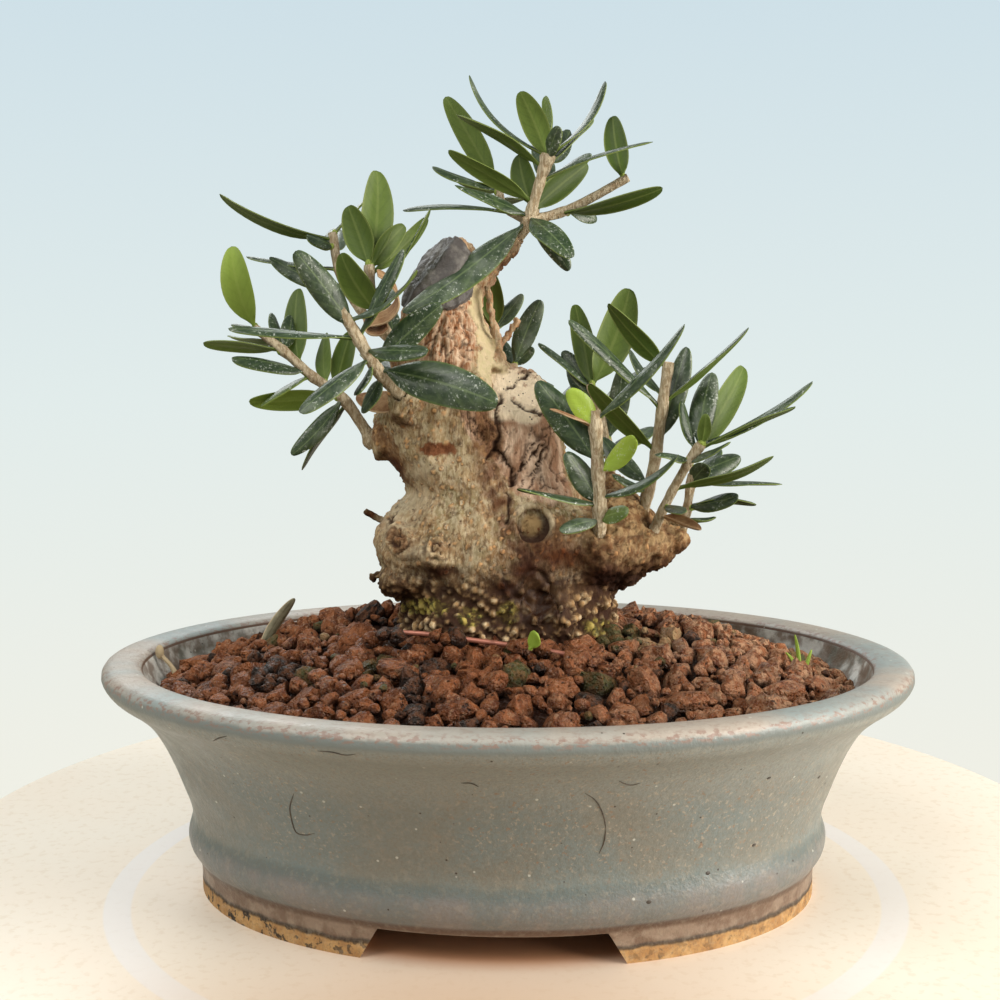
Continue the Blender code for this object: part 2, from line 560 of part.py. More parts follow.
def finish(obj, surface, smooth_angle=40.0):
    """Give a part its material and smooth shading."""
    obj.data.materials.clear()
    obj.data.materials.append(surface)
    obj.data.shade_smooth()
    obj.data.set_sharp_from_angle(angle=math.radians(smooth_angle))
    return obj


def as_cutter(obj):
    obj.hide_render = True
    obj.display_type = "WIRE"
    return obj


def boolean(obj, operation, other=None, collection=None, solver="EXACT"):
    """Add a Boolean with one object or with a whole collection."""
    modifier = obj.modifiers.new(operation.lower(), "BOOLEAN")
    modifier.operation = operation
    modifier.solver = solver
    if collection is not None:
        modifier.operand_type = "COLLECTION"
        modifier.collection = collection
    else:
        modifier.object = other
    return modifier


def apply_modifiers(obj):
    """Replace an object's mesh with what its modifiers make of it."""
    bpy.context.view_layer.update()
    evaluated = obj.evaluated_get(bpy.context.evaluated_depsgraph_get())
    mesh = bpy.data.meshes.new_from_object(evaluated)
    obj.modifiers.clear()
    obj.data = mesh
    mesh.name = obj.name
    return obj


def weld(obj, distance=0.000001):
    bm = bmesh.new()
    bm.from_mesh(obj.data)
    bmesh.ops.remove_doubles(bm, verts=bm.verts, dist=distance)
    bmesh.ops.triangulate(bm, faces=bm.faces)
    bm.to_mesh(obj.data)
    bm.free()
    return obj


def remove(*objects):
    for obj in objects:
        bpy.data.objects.remove(obj, do_unlink=True)


def fuse(body, pieces):
    """Join pieces to a body with one union on a collection, and drop the loose ones."""
    joined = bpy.data.collections.new(body.name + "_joined")
    bpy.context.scene.collection.children.link(joined)
    for piece in pieces:
        for home in list(piece.users_collection):
            home.objects.unlink(piece)
        joined.objects.link(piece)
    boolean(body, "UNION", collection=joined, solver="MANIFOLD")
    apply_modifiers(body)
    remove(*pieces)
    bpy.data.collections.remove(joined)
    return body


def thin_out(obj, faces):
    """Decimate to about a number of faces, and drop what that leaves loose."""
    decimate = obj.modifiers.new("fewer_faces", "DECIMATE")
    decimate.ratio = min(1.0, faces / len(obj.data.polygons))
    apply_modifiers(obj)
    bm = bmesh.new()
    bm.from_mesh(obj.data)
    loose = [edge for edge in bm.edges if not edge.link_faces]
    bmesh.ops.delete(bm, geom=loose, context="EDGES")
    bmesh.ops.triangulate(bm, faces=bm.faces)
    bm.to_mesh(obj.data)
    bm.free()
    return obj


def fattened(source, gap, name):
    """A cutter that is a copy of a piece, grown by a gap all over."""
    bm = bmesh.new()
    bm.from_mesh(source.data)
    bm.normal_update()
    offsets = [vert.normal * gap * MM for vert in bm.verts]
    for vert, offset in zip(bm.verts, offsets):
        vert.co += offset
    mesh = bpy.data.meshes.new(name)
    bm.to_mesh(mesh)
    bm.free()
    obj = bpy.data.objects.new(name, mesh)
    CUTTERS.objects.link(obj)
    return as_cutter(obj)


def oval_loop(bm, half_length, height, segments=OVAL_SEGMENTS):
    """One oval of edges: the width follows the length at a constant difference."""
    half_width = half_length - OVAL_STEP
    made = bmesh.ops.create_circle(bm, cap_ends=False, radius=1.0, segments=segments)["verts"]
    bmesh.ops.scale(bm, vec=(half_length, half_width, 1.0), verts=made)
    bmesh.ops.translate(bm, vec=(0.0, 0.0, height), verts=made)
    return list({edge for vert in made for edge in vert.link_edges})


def loft(bm, loops):
    """Bridge a stack of edge loops and close both ends."""
    for lower, upper in zip(loops, loops[1:]):
        bmesh.ops.bridge_loops(bm, edges=lower + upper)
    bmesh.ops.edgeloop_fill(bm, edges=loops[0])
    bmesh.ops.edgeloop_fill(bm, edges=loops[-1])
    bmesh.ops.recalc_face_normals(bm, faces=bm.faces)


def oval_solid(name, profile, collection):
    bm = bmesh.new()
    loft(bm, [oval_loop(bm, half_length, height) for half_length, height in profile])
    return add_object(name, bm, collection)


def ellipsoid(bm, centre, half_size, subdivisions=2):
    made = bmesh.ops.create_icosphere(bm, subdivisions=subdivisions, radius=1.0)["verts"]
    bmesh.ops.scale(bm, vec=half_size, verts=made)
    bmesh.ops.translate(bm, vec=centre, verts=made)
    return made


def block(name, size, centre, collection):
    bm = bmesh.new()
    made = bmesh.ops.create_cube(bm, size=1.0)["verts"]
    bmesh.ops.scale(bm, vec=size, verts=made)
    bmesh.ops.translate(bm, vec=centre, verts=made)
    return add_object(name, bm, collection)


def floor_hole(name, radius, place_x, segments):
    """A cutter for a round hole through the pot's floor."""
    bm = bmesh.new()
    bmesh.ops.create_cone(bm, cap_ends=True, segments=segments, radius1=radius, radius2=radius,
                          depth=HOLE_CUT_HIGH - HOLE_CUT_LOW)
    bmesh.ops.translate(bm, vec=(place_x, 0.0, (HOLE_CUT_HIGH + HOLE_CUT_LOW) / 2.0), verts=bm.verts)
    return add_object(name, bm, CUTTERS)


def tube(name, points, radii, collection, resolution=1):
    """A tapered tube along a path, made as a bevelled curve and turned into a mesh."""
    curve = bpy.data.curves.new(name + "_curve", "CURVE")
    curve.dimensions = "3D"
    curve.bevel_depth = MM
    curve.bevel_resolution = resolution
    curve.use_fill_caps = True
    spline = curve.splines.new("POLY")
    spline.points.add(len(points) - 1)
    for slot, point, radius in zip(spline.points, points, radii):
        slot.co = (*(Vector(point) * MM), 1.0)
        slot.radius = radius
    path = bpy.data.objects.new(name + "_curve", curve)
    collection.objects.link(path)
    bpy.context.view_layer.update()
    evaluated = path.evaluated_get(bpy.context.evaluated_depsgraph_get())
    mesh = bpy.data.meshes.new_from_object(evaluated)
    obj = bpy.data.objects.new(name, mesh)
    obj.matrix_world = path.matrix_world
    collection.objects.link(obj)
    remove(path)
    return weld(obj)


def smooth_route(points, step):
    """Points at an even step along a smooth curve through the given ones."""
    corners = [Vector(point) for point in points]
    padded = [2 * corners[0] - corners[1]] + corners + [2 * corners[-1] - corners[-2]]
    route = [corners[0]]
    for before, start, end, after in zip(padded, padded[1:], padded[2:], padded[3:]):
        pieces = max(1, round((end - start).length / step))
        for piece in range(1, pieces + 1):
            t = piece / pieces
            route.append(0.5 * (2 * start + (end - before) * t
                                + (2 * before - 5 * start + 4 * end - after) * t ** 2
                                + (3 * start - before - 3 * end + after) * t ** 3))
    return route


def make_pot():
    """The fired pot: turned oval body, cut foot ring, drain holes and wire holes."""
    pot = oval_solid("pot", OUTER_PROFILE + INNER_PROFILE, PARTS)
    recess_half = OUTER_PROFILE[0][0] - FOOT_RING_WIDTH
    recess = oval_solid("foot_recess", [(recess_half, -CUT_MARGIN), (recess_half, UNDERSIDE_HEIGHT)], CUTTERS)
    bm = bmesh.new()
    made = bmesh.ops.create_cube(bm, size=2.0)["verts"]
    slope = (FOOT_GAP_HALF_BOTTOM - FOOT_GAP_HALF_TOP) / FOOT_GAP_HEIGHT
    for vert in made:
        vert.co.z = FOOT_GAP_HEIGHT if vert.co.z > 0 else -CUT_MARGIN
        vert.co.x *= FOOT_GAP_HALF_TOP + slope * (FOOT_GAP_HEIGHT - vert.co.z)
        vert.co.y *= POT_HALF_WIDTH + CUT_MARGIN
    gap = add_object("foot_gap", bm, CUTTERS)
    holes = [
        floor_hole("drain_hole_left", DRAIN_HOLE_RADIUS, -DRAIN_HOLE_X, DRAIN_HOLE_SEGMENTS),
        floor_hole("drain_hole_right", DRAIN_HOLE_RADIUS, DRAIN_HOLE_X, DRAIN_HOLE_SEGMENTS),
        floor_hole("wire_hole_left", WIRE_HOLE_RADIUS, -WIRE_HOLE_X, WIRE_HOLE_SEGMENTS),
        floor_hole("wire_hole_right", WIRE_HOLE_RADIUS, WIRE_HOLE_X, WIRE_HOLE_SEGMENTS),
    ]
    for cutter in [recess, gap] + holes:
        boolean(pot, "DIFFERENCE", as_cutter(cutter))
    return pot


def section_loop(bm, section):
    height, left, right, front, back = section
    made = bmesh.ops.create_circle(bm, cap_ends=False, radius=1.0, segments=TRUNK_SEGMENTS)["verts"]
    bmesh.ops.scale(bm, vec=((right - left) / 2.0, (back - front) / 2.0, 1.0), verts=made)
    bmesh.ops.translate(bm, vec=((left + right) / 2.0, (front + back) / 2.0, height), verts=made)
    return list({edge for vert in made for edge in vert.link_edges})


def limb_beads(bm, chain):
    """Fill a limb with closely spaced beads of changing radius."""
    for (start, first), (end, last) in zip(chain, chain[1:]):
        span = Vector(end) - Vector(start)
        count = max(1, math.ceil(span.length / LIMB_BEAD_STEP))
        for index in range(count + 1):
            t = index / count
            radius = first + (last - first) * t
            ellipsoid(bm, Vector(start) + span * t, (radius, radius, radius))


def distance_to_segment(point, start, end):
    start = Vector(start)
    along = Vector(end) - start
    t = max(0.0, min(1.0, (point - start).dot(along) / along.length_squared))
    return (point - start - along * t).length


def bump(distance, reach, power=2):
    """From 1 at no distance, smoothly down to 0 past the reach."""
    return math.exp(-(distance / reach) ** power)


def bark_relief(point):
    """How far the bark stands out at a point: swell, ridges, warts, knot, crevice and cracks."""
    depth = SWELL_RISE * noise.fractal(point * SWELL_PER_MM, 1.0, 2.1, 3)
    depth += RIDGE_RISE * noise.noise(Vector(a * b for a, b in zip(point, RIDGE_PER_MM)))
    near_soil = max(0.0, min(1.0, (WART_TOP - point.z) / WART_FADE))
    from_wart = noise.voronoi(point * WART_PER_MM)[0][0]
    depth += near_soil * max(0.0, WART_SPREAD - from_wart) * WART_RISE
    from_knot = (point - Vector(KNOT_CENTRE)).length
    depth += KNOT_RING_RISE * bump(from_knot - KNOT_RING_RADIUS, 0.9)
    depth -= KNOT_DEPTH * bump(from_knot - KNOT_RADIUS, 0.7)
    depth -= CREVICE_DEPTH * bump(distance_to_segment(point, *CREVICE_ENDS), CREVICE_HALF_WIDTH)
    for crack in DEADWOOD_CRACKS:
        depth -= CRACK_DEPTH * bump(distance_to_segment(point, *crack), CRACK_HALF_WIDTH, 4)
    above_soil = max(0.0, min(1.0, (point.z - BURIED_TOP) / BURIED_FADE + 1.0))
    return depth * above_soil


def saw_off(obj, name, face, half_size):
    """Cut a flat face on the wood with a turned block."""
    place, towards = face
    normal = Vector(towards).normalized()
    bm = bmesh.new()
    bmesh.ops.create_cube(bm, size=2.0 * half_size)
    bmesh.ops.translate(bm, vec=(0.0, 0.0, half_size), verts=bm.verts)
    turn = normal.to_track_quat("Z", "Y").to_matrix().to_4x4()
    bmesh.ops.transform(bm, matrix=Matrix.Translation(Vector(place)) @ turn, verts=bm.verts)
    cutter = add_object(name, bm, CUTTERS)
    boolean(obj, "DIFFERENCE", cutter)
    apply_modifiers(obj)
    remove(cutter)


def make_trunk():
    """The grown trunk with its burls, deadwood, main limb, dead stubs and root ball."""
    bm = bmesh.new()
    loft(bm, [section_loop(bm, section) for section in TRUNK_SECTIONS])
    for centre, half_size in TRUNK_LOBES:
        ellipsoid(bm, centre, half_size, 3)
    limb_beads(bm, MAIN_LIMB)
    trunk = add_object("trunk", bm, PARTS)
    remesh = trunk.modifiers.new("grow_together", "REMESH")
    remesh.mode = "VOXEL"
    remesh.voxel_size = TRUNK_VOXEL * MM
    soften = trunk.modifiers.new("soften", "SMOOTH")
    soften.factor = 0.5
    soften.iterations = 4
    apply_modifiers(trunk)
    bm = bmesh.new()
    bm.from_mesh(trunk.data)
    bm.normal_update()
    moves = [vert.normal * bark_relief(vert.co / MM) * MM for vert in bm.verts]
    for vert, move in zip(bm.verts, moves):
        vert.co += move
    bm.to_mesh(trunk.data)
    bm.free()
    saw_off(trunk, "saw_deadwood", SAWN_DEADWOOD, SAWN_DEADWOOD_HALF)
    saw_off(trunk, "saw_top", SAWN_TOP, SAWN_TOP_HALF)
    thin_out(weld(trunk), TRUNK_FACES)
    stubs = []
    for index, (path, radius) in enumerate(DEAD_STUBS):
        stubs.append(tube("stub_%d" % index, path, [radius * 1.2] + [radius] * (len(path) - 1), CUTTERS))
    return fuse(trunk, stubs)


def cut_sockets(trunk):
    """Plain holes in the wood for the feet of the leafy stems."""
    for name, spray in SPRAYS.items():
        path, foot_radius, _ = spray["stems"][0]
        foot = Vector(path[0])
        out = (Vector(path[1]) - foot).normalized()
        route = [foot - out * (GAP + 0.1), Vector(path[1]), Vector(path[2])]
        radius = foot_radius + GAP + 0.1
        socket = tube("socket_" + name, route, [radius] * len(route), CUTTERS)
        boolean(trunk, "DIFFERENCE", socket)
        apply_modifiers(trunk)
        remove(socket)
    return keep_largest(weld(trunk))


def make_sealant(trunk):
    """A thin skin over the sawn top: the space between two grown copies of the trunk."""
    outer = fattened(trunk, GAP + 0.05 + SEALANT_THICKNESS, "sealant_outer")
    inner = fattened(trunk, GAP + 0.05, "sealant_inner")
    bm = bmesh.new()
    ellipsoid(bm, SEALANT_CENTRE, SEALANT_HALF_SIZE, 2)
    sealant = add_object("wound_sealant", bm, PARTS)
    boolean(sealant, "INTERSECT", outer)
    boolean(sealant, "DIFFERENCE", inner)
    apply_modifiers(sealant)
    remove(outer, inner)
    return keep_largest(weld(sealant))


def keep_largest(obj):
    """Drop the loose scraps that a cut leaves beside the main body."""
    bm = bmesh.new()
    bm.from_mesh(obj.data)
    waiting = set(bm.verts)
    groups = []
    while waiting:
        group = set()
        front = [next(iter(waiting))]
        while front:
            vert = front.pop()
            if vert in group:
                continue
            group.add(vert)
            front.extend(edge.other_vert(vert) for edge in vert.link_edges)
        waiting -= group
        groups.append(group)
    groups.sort(key=len, reverse=True)
    scraps = [vert for group in groups[1:] for vert in group]
    bmesh.ops.delete(bm, geom=scraps, context="VERTS")
    bm.to_mesh(obj.data)
    bm.free()
    return obj


def leaf_outline(share):
    """Half width of a blade at a share of its length, as a share of its greatest half width."""
    if share <= PETIOLE_SHARE:
        return 0.0
    along = (share - PETIOLE_SHARE) / (1.0 - PETIOLE_SHARE)
    return math.sin(math.pi * along ** LEAF_LEAN) ** LEAF_BLUNTNESS


def leaf_blade(bm, base, tip, width, facing, arch):
    """A closed leaf with a petiole, a lens-shaped section, a slight fold and a bend."""
    base = Vector(base)
    tip = Vector(tip)
    length = (tip - base).length
    axis = (tip - base) / length
    up = Vector(facing) - axis * Vector(facing).dot(axis)
    up.normalize()
    side = axis.cross(up)
    rings = []
    for share in LEAF_STATIONS if length > SHORT_LEAF_LENGTH else SHORT_LEAF_STATIONS:
        half = max(min(PETIOLE_HALF_WIDTH, width / 2.0), width / 2.0 * leaf_outline(share))
        middle = base + axis * length * share + up * arch * 4.0 * share * (1.0 - share)
        lift = up * half * LEAF_FOLD
        rings.append([
            bm.verts.new(middle + side * half + lift),
            bm.verts.new(middle + up * LEAF_HALF_THICKNESS),
            bm.verts.new(middle - side * half + lift),
            bm.verts.new(middle - up * LEAF_HALF_THICKNESS),
        ])
    point = bm.verts.new(tip)
    bm.faces.new(rings[0])
    for lower, upper in zip(rings, rings[1:]):
        for index in range(4):
            after = (index + 1) % 4
            bm.faces.new((lower[index], lower[after], upper[after], upper[index]))
    for index in range(4):
        bm.faces.new((rings[-1][index], rings[-1][(index + 1) % 4], point))
    bmesh.ops.recalc_face_normals(bm, faces=bm.faces)


def add_leaf(name, base, tip, width, facing, arch, collection):
    bm = bmesh.new()
    leaf_blade(bm, base, tip, width, facing, arch)
    return add_object(name, bm, collection)


def place_along(path, share):
    """The point at a share of a path's length."""
    points = [Vector(point) for point in path]
    lengths = [(b - a).length for a, b in zip(points, points[1:])]
    left = share * sum(lengths)
    for start, end, length in zip(points, points[1:], lengths):
        if left <= length or end is points[-1]:
            return start.lerp(end, min(1.0, left / length))
        left -= length
    return points[-1]


def make_spray(name, spray):
    """One leafy stem with its twigs and leaves fused."""
    stems = []
    for index, (path, foot, end) in enumerate(spray["stems"]):
        count = len(path) - 1
        radii = [foot + (end - foot) * number / count for number in range(count + 1)]
        stem_name = name if index == 0 else "%s_twig_%d" % (name, index)
        stems.append(tube(stem_name, path, radii, PARTS))
    leaves = []
    for index, (stem, share, tip, width, facing, arch) in enumerate(spray["leaves"]):
        base = place_along(spray["stems"][stem][0], share)
        leaves.append(add_leaf("%s_leaf_%d" % (name, index), base, tip, width, facing, arch, PARTS))
    return fuse(stems[0], stems[1:] + leaves)


def soil_level(x, y):
    """The soil's mean height: level with the lip along the sides, lower at the pot's two ends."""
    out = math.hypot(x / SOIL_HALF_LENGTH, y / SOIL_HALF_WIDTH)
    towards_side = (y / SOIL_HALF_WIDTH) ** 2 / max(1e-6, out ** 2)
    edge = SOIL_END_HEIGHT + (SOIL_SIDE_HEIGHT - SOIL_END_HEIGHT) * towards_side
    level = edge + (SOIL_MIDDLE_HEIGHT - edge) * (1.0 - min(1.0, out) ** SOIL_FALL_POWER)
    for (heap_x, heap_y), height, reach in SOIL_HEAPS:
        level += height * bump(math.hypot(x - heap_x, y - heap_y), reach)
    return level


def make_lumps():
    """Place, reach and height of each lump, on a shaken hexagonal grid."""
    draw = random.Random(LUMP_SEED)
    lumps = []
    row_step = LUMP_SPACING * LUMP_ROW_SHARE
    rows = int(POT_HALF_WIDTH / row_step) + 1
    columns = int(POT_HALF_LENGTH / LUMP_SPACING) + 1
    for row in range(-rows, rows + 1):
        for column in range(-columns, columns + 1):
            x = (column + 0.5 * (row % 2)) * LUMP_SPACING + draw.uniform(-LUMP_SHAKE, LUMP_SHAKE)
            y = row * row_step + draw.uniform(-LUMP_SHAKE, LUMP_SHAKE)
            lumps.append((x, y, draw.uniform(*LUMP_REACH), draw.uniform(*LUMP_RISE)))
    return lumps


def soil_height(x, y, lumps):
    """The level plus the tallest lump that covers this place."""
    rise = 0.0
    for lump_x, lump_y, reach, height in lumps:
        near = math.hypot(x - lump_x, y - lump_y) / reach
        if near < 1.0:
            rise = max(rise, height * math.sqrt(1.0 - near ** 2))
    return soil_level(x, y) - LUMP_SINK + rise


def make_soil(trunk, wire, spaces, meshes):
    """A granular body that fills the pot, with plain holes for all that stands in it."""
    lumps = make_lumps()
    draw = random.Random(LUMP_SEED + 1)
    bm = bmesh.new()
    bmesh.ops.create_grid(bm, x_segments=round(2 * POT_HALF_LENGTH / SOIL_GRID_STEP),
                          y_segments=round(2 * POT_HALF_WIDTH / SOIL_GRID_STEP), size=1.0)
    bmesh.ops.scale(bm, vec=(POT_HALF_LENGTH, POT_HALF_WIDTH, 1.0), verts=bm.verts)
    for vert in bm.verts:
        if not vert.is_boundary:
            vert.co.x += draw.uniform(-SOIL_GRID_SHAKE, SOIL_GRID_SHAKE)
            vert.co.y += draw.uniform(-SOIL_GRID_SHAKE, SOIL_GRID_SHAKE)
        vert.co.z = soil_height(vert.co.x, vert.co.y, lumps)
    bmesh.ops.triangulate(bm, faces=bm.faces)
    bottom = bmesh.ops.extrude_face_region(bm, geom=bm.faces[:])["geom"]
    for vert in bottom:
        if isinstance(vert, bmesh.types.BMVert):
            vert.co.z = 0.0
    bmesh.ops.recalc_face_normals(bm, faces=bm.faces)
    bed = add_object("soil_bed", bm, CUTTERS)
    walls = [(half - SOIL_WALL_GAP, height) for half, height in reversed(INNER_PROFILE)]
    walls[0] = (walls[0][0], FLOOR_HEIGHT + GAP)
    soil = oval_solid("soil", walls + [SOIL_TOP], PARTS)
    boolean(soil, "INTERSECT", bed)
    apply_modifiers(soil)
    remove(bed)
    weld(soil)
    plain_trunk = trunk.copy()
    plain_trunk.data = trunk.data.copy()
    CUTTERS.objects.link(plain_trunk)
    thin_out(plain_trunk, SOIL_HOLE_FACES)
    cutters = [
        fattened(plain_trunk, SOIL_HOLE_GAP, "trunk_space"),
        tube("wire_space", wire["route"], [WIRE_RADIUS + GAP + 0.1] * len(wire["route"]), CUTTERS, 2),
    ]
    cutters += spaces
    side = DRAIN_MESH_SIDE + 2.0 * GAP
    top = FLOOR_HEIGHT + DRAIN_MESH_THICKNESS + 2.0 * GAP
    for mesh_x in meshes:
        cutters.append(block("mesh_space_%d" % mesh_x, (side, side, 8.0), (mesh_x, 0.0, top - 4.0), CUTTERS))
    for cutter in cutters:
        boolean(soil, "DIFFERENCE", cutter)
        apply_modifiers(soil)
    remove(plain_trunk, *cutters)
    return keep_largest(weld(soil))


def make_wire():
    route = smooth_route(WIRE_ROUTE, WIRE_STEP)
    wire = tube("tie_wire", route, [WIRE_RADIUS] * len(route), PARTS, resolution=1)
    return {"piece": wire, "route": route}


def make_drain_mesh(name, place_x):
    """A square of plastic mesh over a drain hole."""
    height = FLOOR_HEIGHT + GAP + DRAIN_MESH_THICKNESS / 2.0
    size = (DRAIN_MESH_SIDE, DRAIN_MESH_SIDE, DRAIN_MESH_THICKNESS)
    plate = block(name, size, (place_x, 0.0, height), PARTS)
    cell = (DRAIN_MESH_SIDE - DRAIN_MESH_BAR) / DRAIN_MESH_CELLS
    opening = cell - DRAIN_MESH_BAR
    bm = bmesh.new()
    for column in range(DRAIN_MESH_CELLS):
        for row in range(DRAIN_MESH_CELLS):
            x = place_x + (column + 0.5 - DRAIN_MESH_CELLS / 2.0) * cell
            y = (row + 0.5 - DRAIN_MESH_CELLS / 2.0) * cell
            made = bmesh.ops.create_cube(bm, size=1.0)["verts"]
            bmesh.ops.scale(bm, vec=(opening, opening, 4.0), verts=made)
            bmesh.ops.translate(bm, vec=(x, y, height), verts=made)
    cutter = as_cutter(add_object(name + "_cells", bm, CUTTERS))
    boolean(plate, "DIFFERENCE", cutter)
    return plate


def spaces_for(pieces):
    """Cutters that clear the soil round pieces that stand in it."""
    return [fattened(piece, GAP + 0.1, piece.name + "_space") for piece in pieces]


def make_loose_leaf(name, blade):
    leaf = add_leaf(name, *blade, PARTS)
    return leaf, spaces_for([leaf])


def make_grass():
    """A tuft of grass blades that meet at one foot."""
    foot_point = Vector(GRASS_FOOT)
    bm = bmesh.new()
    ellipsoid(bm, foot_point, (0.9, 0.9, 1.6), 1)
    grass = add_object("grass", bm, PARTS)
    blades = []
    for index, (tip, width, facing, arch) in enumerate(GRASS_BLADES):
        base = foot_point - Vector((0.0, 0.0, 1.0))
        blades.append(add_leaf("blade_%d" % index, base, tip, width, facing, arch, PARTS))
    spaces = spaces_for([grass] + blades)
    return fuse(grass, blades), spaces


def make_sprout():
    """A dry sprout with its bud."""
    sprout = tube("dry_sprout", SPROUT_STEM, [SPROUT_RADIUS] * len(SPROUT_STEM), PARTS)
    bm = bmesh.new()
    ellipsoid(bm, SPROUT_STEM[-1], SPROUT_BUD_HALF_SIZE, 1)
    bud = add_object("bud", bm, PARTS)
    spaces = spaces_for([sprout, bud])
    return fuse(sprout, [bud]), spaces


def main():
    stoneware = material("glazed_stoneware", (0.36, 0.45, 0.46), 0.35)
    grit = material("lava_grit", (0.24, 0.09, 0.05), 0.85)
    bark = material("olive_bark", (0.42, 0.34, 0.23), 0.8)
    foliage = material("olive_foliage", (0.07, 0.16, 0.07), 0.45)
    dark_seal = material("sealant_skin", (0.10, 0.09, 0.11), 0.55)
    copper = material("copper_coating", (0.72, 0.34, 0.25), 0.35, 1.0)
    black_plastic = material("black_plastic", (0.02, 0.02, 0.02), 0.5)
    dry_leaf = material("dry_leaf", (0.34, 0.30, 0.20), 0.7)
    fresh_green = material("fresh_green", (0.22, 0.46, 0.08), 0.5)

    finish(make_pot(), stoneware)
    trunk = make_trunk()
    wire = make_wire()
    settled = [
        make_loose_leaf("fallen_leaf", FALLEN_LEAF),
        make_loose_leaf("green_scrap", GREEN_SCRAP),
        make_grass(),
        make_sprout(),
    ]
    spaces = [space for _, group in settled for space in group]
    finish(make_soil(trunk, wire, spaces, (-DRAIN_HOLE_X, DRAIN_HOLE_X)), grit, 20.0)
    finish(make_sealant(trunk), dark_seal)
    finish(cut_sockets(trunk), bark)
    finish(wire["piece"], copper)
    finish(make_drain_mesh("drain_mesh_left", -DRAIN_HOLE_X), black_plastic)
    finish(make_drain_mesh("drain_mesh_right", DRAIN_HOLE_X), black_plastic)
    for (piece, _), surface in zip(settled, (dry_leaf, fresh_green, fresh_green, dry_leaf)):
        finish(piece, surface)
    for name, spray in SPRAYS.items():
        finish(make_spray(name, spray), foliage)


main()
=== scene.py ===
# %% [markdown]
# # A wild olive bonsai in an oval glazed pot
#
# The frame holds the tree and its pot as plain solids at their real size. This lesson gives them
# their looks: a thrown and glazed pot, damp lava grit, gnarled olive wood, leathery leaves.
# Every length is in millimetres, and MM turns it into Blender's metres at the very end.
# The frame is measured before anything is added, so the dressed tree can be kept inside its box.

# %% Load the frame
import math
import random

import bmesh
import bpy
import numpy as np
from mathutils import Matrix, Vector, noise
from mathutils.bvhtree import BVHTree


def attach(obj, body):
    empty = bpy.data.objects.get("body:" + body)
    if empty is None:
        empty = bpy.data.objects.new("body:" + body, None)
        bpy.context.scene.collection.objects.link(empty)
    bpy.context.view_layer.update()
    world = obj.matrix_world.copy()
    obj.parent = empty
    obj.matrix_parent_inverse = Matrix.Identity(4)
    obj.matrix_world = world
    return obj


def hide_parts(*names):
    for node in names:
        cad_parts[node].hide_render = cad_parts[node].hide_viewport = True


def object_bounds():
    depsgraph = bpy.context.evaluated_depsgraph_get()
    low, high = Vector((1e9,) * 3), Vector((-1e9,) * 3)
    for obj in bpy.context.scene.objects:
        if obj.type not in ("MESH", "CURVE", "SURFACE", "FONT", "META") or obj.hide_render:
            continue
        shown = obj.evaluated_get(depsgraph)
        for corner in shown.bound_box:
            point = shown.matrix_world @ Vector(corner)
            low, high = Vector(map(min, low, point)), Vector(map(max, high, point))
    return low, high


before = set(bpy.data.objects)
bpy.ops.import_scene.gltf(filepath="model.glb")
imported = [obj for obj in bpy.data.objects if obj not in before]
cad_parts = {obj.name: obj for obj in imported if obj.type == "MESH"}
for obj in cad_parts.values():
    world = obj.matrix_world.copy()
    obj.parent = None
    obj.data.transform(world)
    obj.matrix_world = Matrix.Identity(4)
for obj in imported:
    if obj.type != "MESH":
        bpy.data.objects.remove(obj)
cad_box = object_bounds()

MM = 0.001
BODY = "root"
print("solids in the frame:", len(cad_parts))
print("box of the frame in mm:", [[round(value / MM, 1) for value in corner] for corner in cad_box])

# %% [markdown]
# ## The camera
#
# The camera stands where the photograph was taken from: almost straight before the tree, a little
# to the right of it, at the height of the crown's middle and tipped down by six degrees. Its place
# was fitted to the oval of the pot's rim and to its feet. Building the turn from three directions
# keeps it easy to check, and the same directions later say where a point of the tree is seen.

# %% Camera
CAMERA_PLACE = Vector((15.5, -279.9, 107.1))
CAMERA_AZIMUTH = math.radians(3.359)
CAMERA_DIP = math.radians(5.863)
CAMERA_ROLL = math.radians(-0.174)
PHOTO_SIDE = 1000
PHOTO_MIDDLE = PHOTO_SIDE / 2.0
FOCAL_PIXELS = 1393.0
SENSOR_WIDTH = 36.0

forward = Vector((-math.sin(CAMERA_AZIMUTH) * math.cos(CAMERA_DIP),
                  math.cos(CAMERA_AZIMUTH) * math.cos(CAMERA_DIP),
                  -math.sin(CAMERA_DIP)))
level_right = Vector((math.cos(CAMERA_AZIMUTH), math.sin(CAMERA_AZIMUTH), 0.0))
level_up = level_right.cross(forward)
right = level_right * math.cos(CAMERA_ROLL) + level_up * math.sin(CAMERA_ROLL)
up = level_up * math.cos(CAMERA_ROLL) - level_right * math.sin(CAMERA_ROLL)

camera_data = bpy.data.cameras.new("photo_camera")
camera_data.sensor_fit = "HORIZONTAL"
camera_data.sensor_width = SENSOR_WIDTH
camera_data.lens = SENSOR_WIDTH * FOCAL_PIXELS / PHOTO_SIDE
camera_data.clip_start = 0.01
camera = bpy.data.objects.new("photo_camera", camera_data)
camera.matrix_world = (Matrix.Translation(CAMERA_PLACE * MM)
                       @ Matrix((right, up, -forward)).transposed().to_4x4())
bpy.context.scene.collection.objects.link(camera)
bpy.context.scene.camera = camera
print("lens in mm:", round(camera_data.lens, 2))

# %% [markdown]
# ## From the tree to the picture and back
#
# Small marks, such as a scar or a crack, were read from the photograph. `photo_pixels` says where
# points of the tree are seen, and `on_surface` follows the line of sight of one pixel to the
# surface that carries the mark. So a mark always sits on the wood or the glaze, from every side.

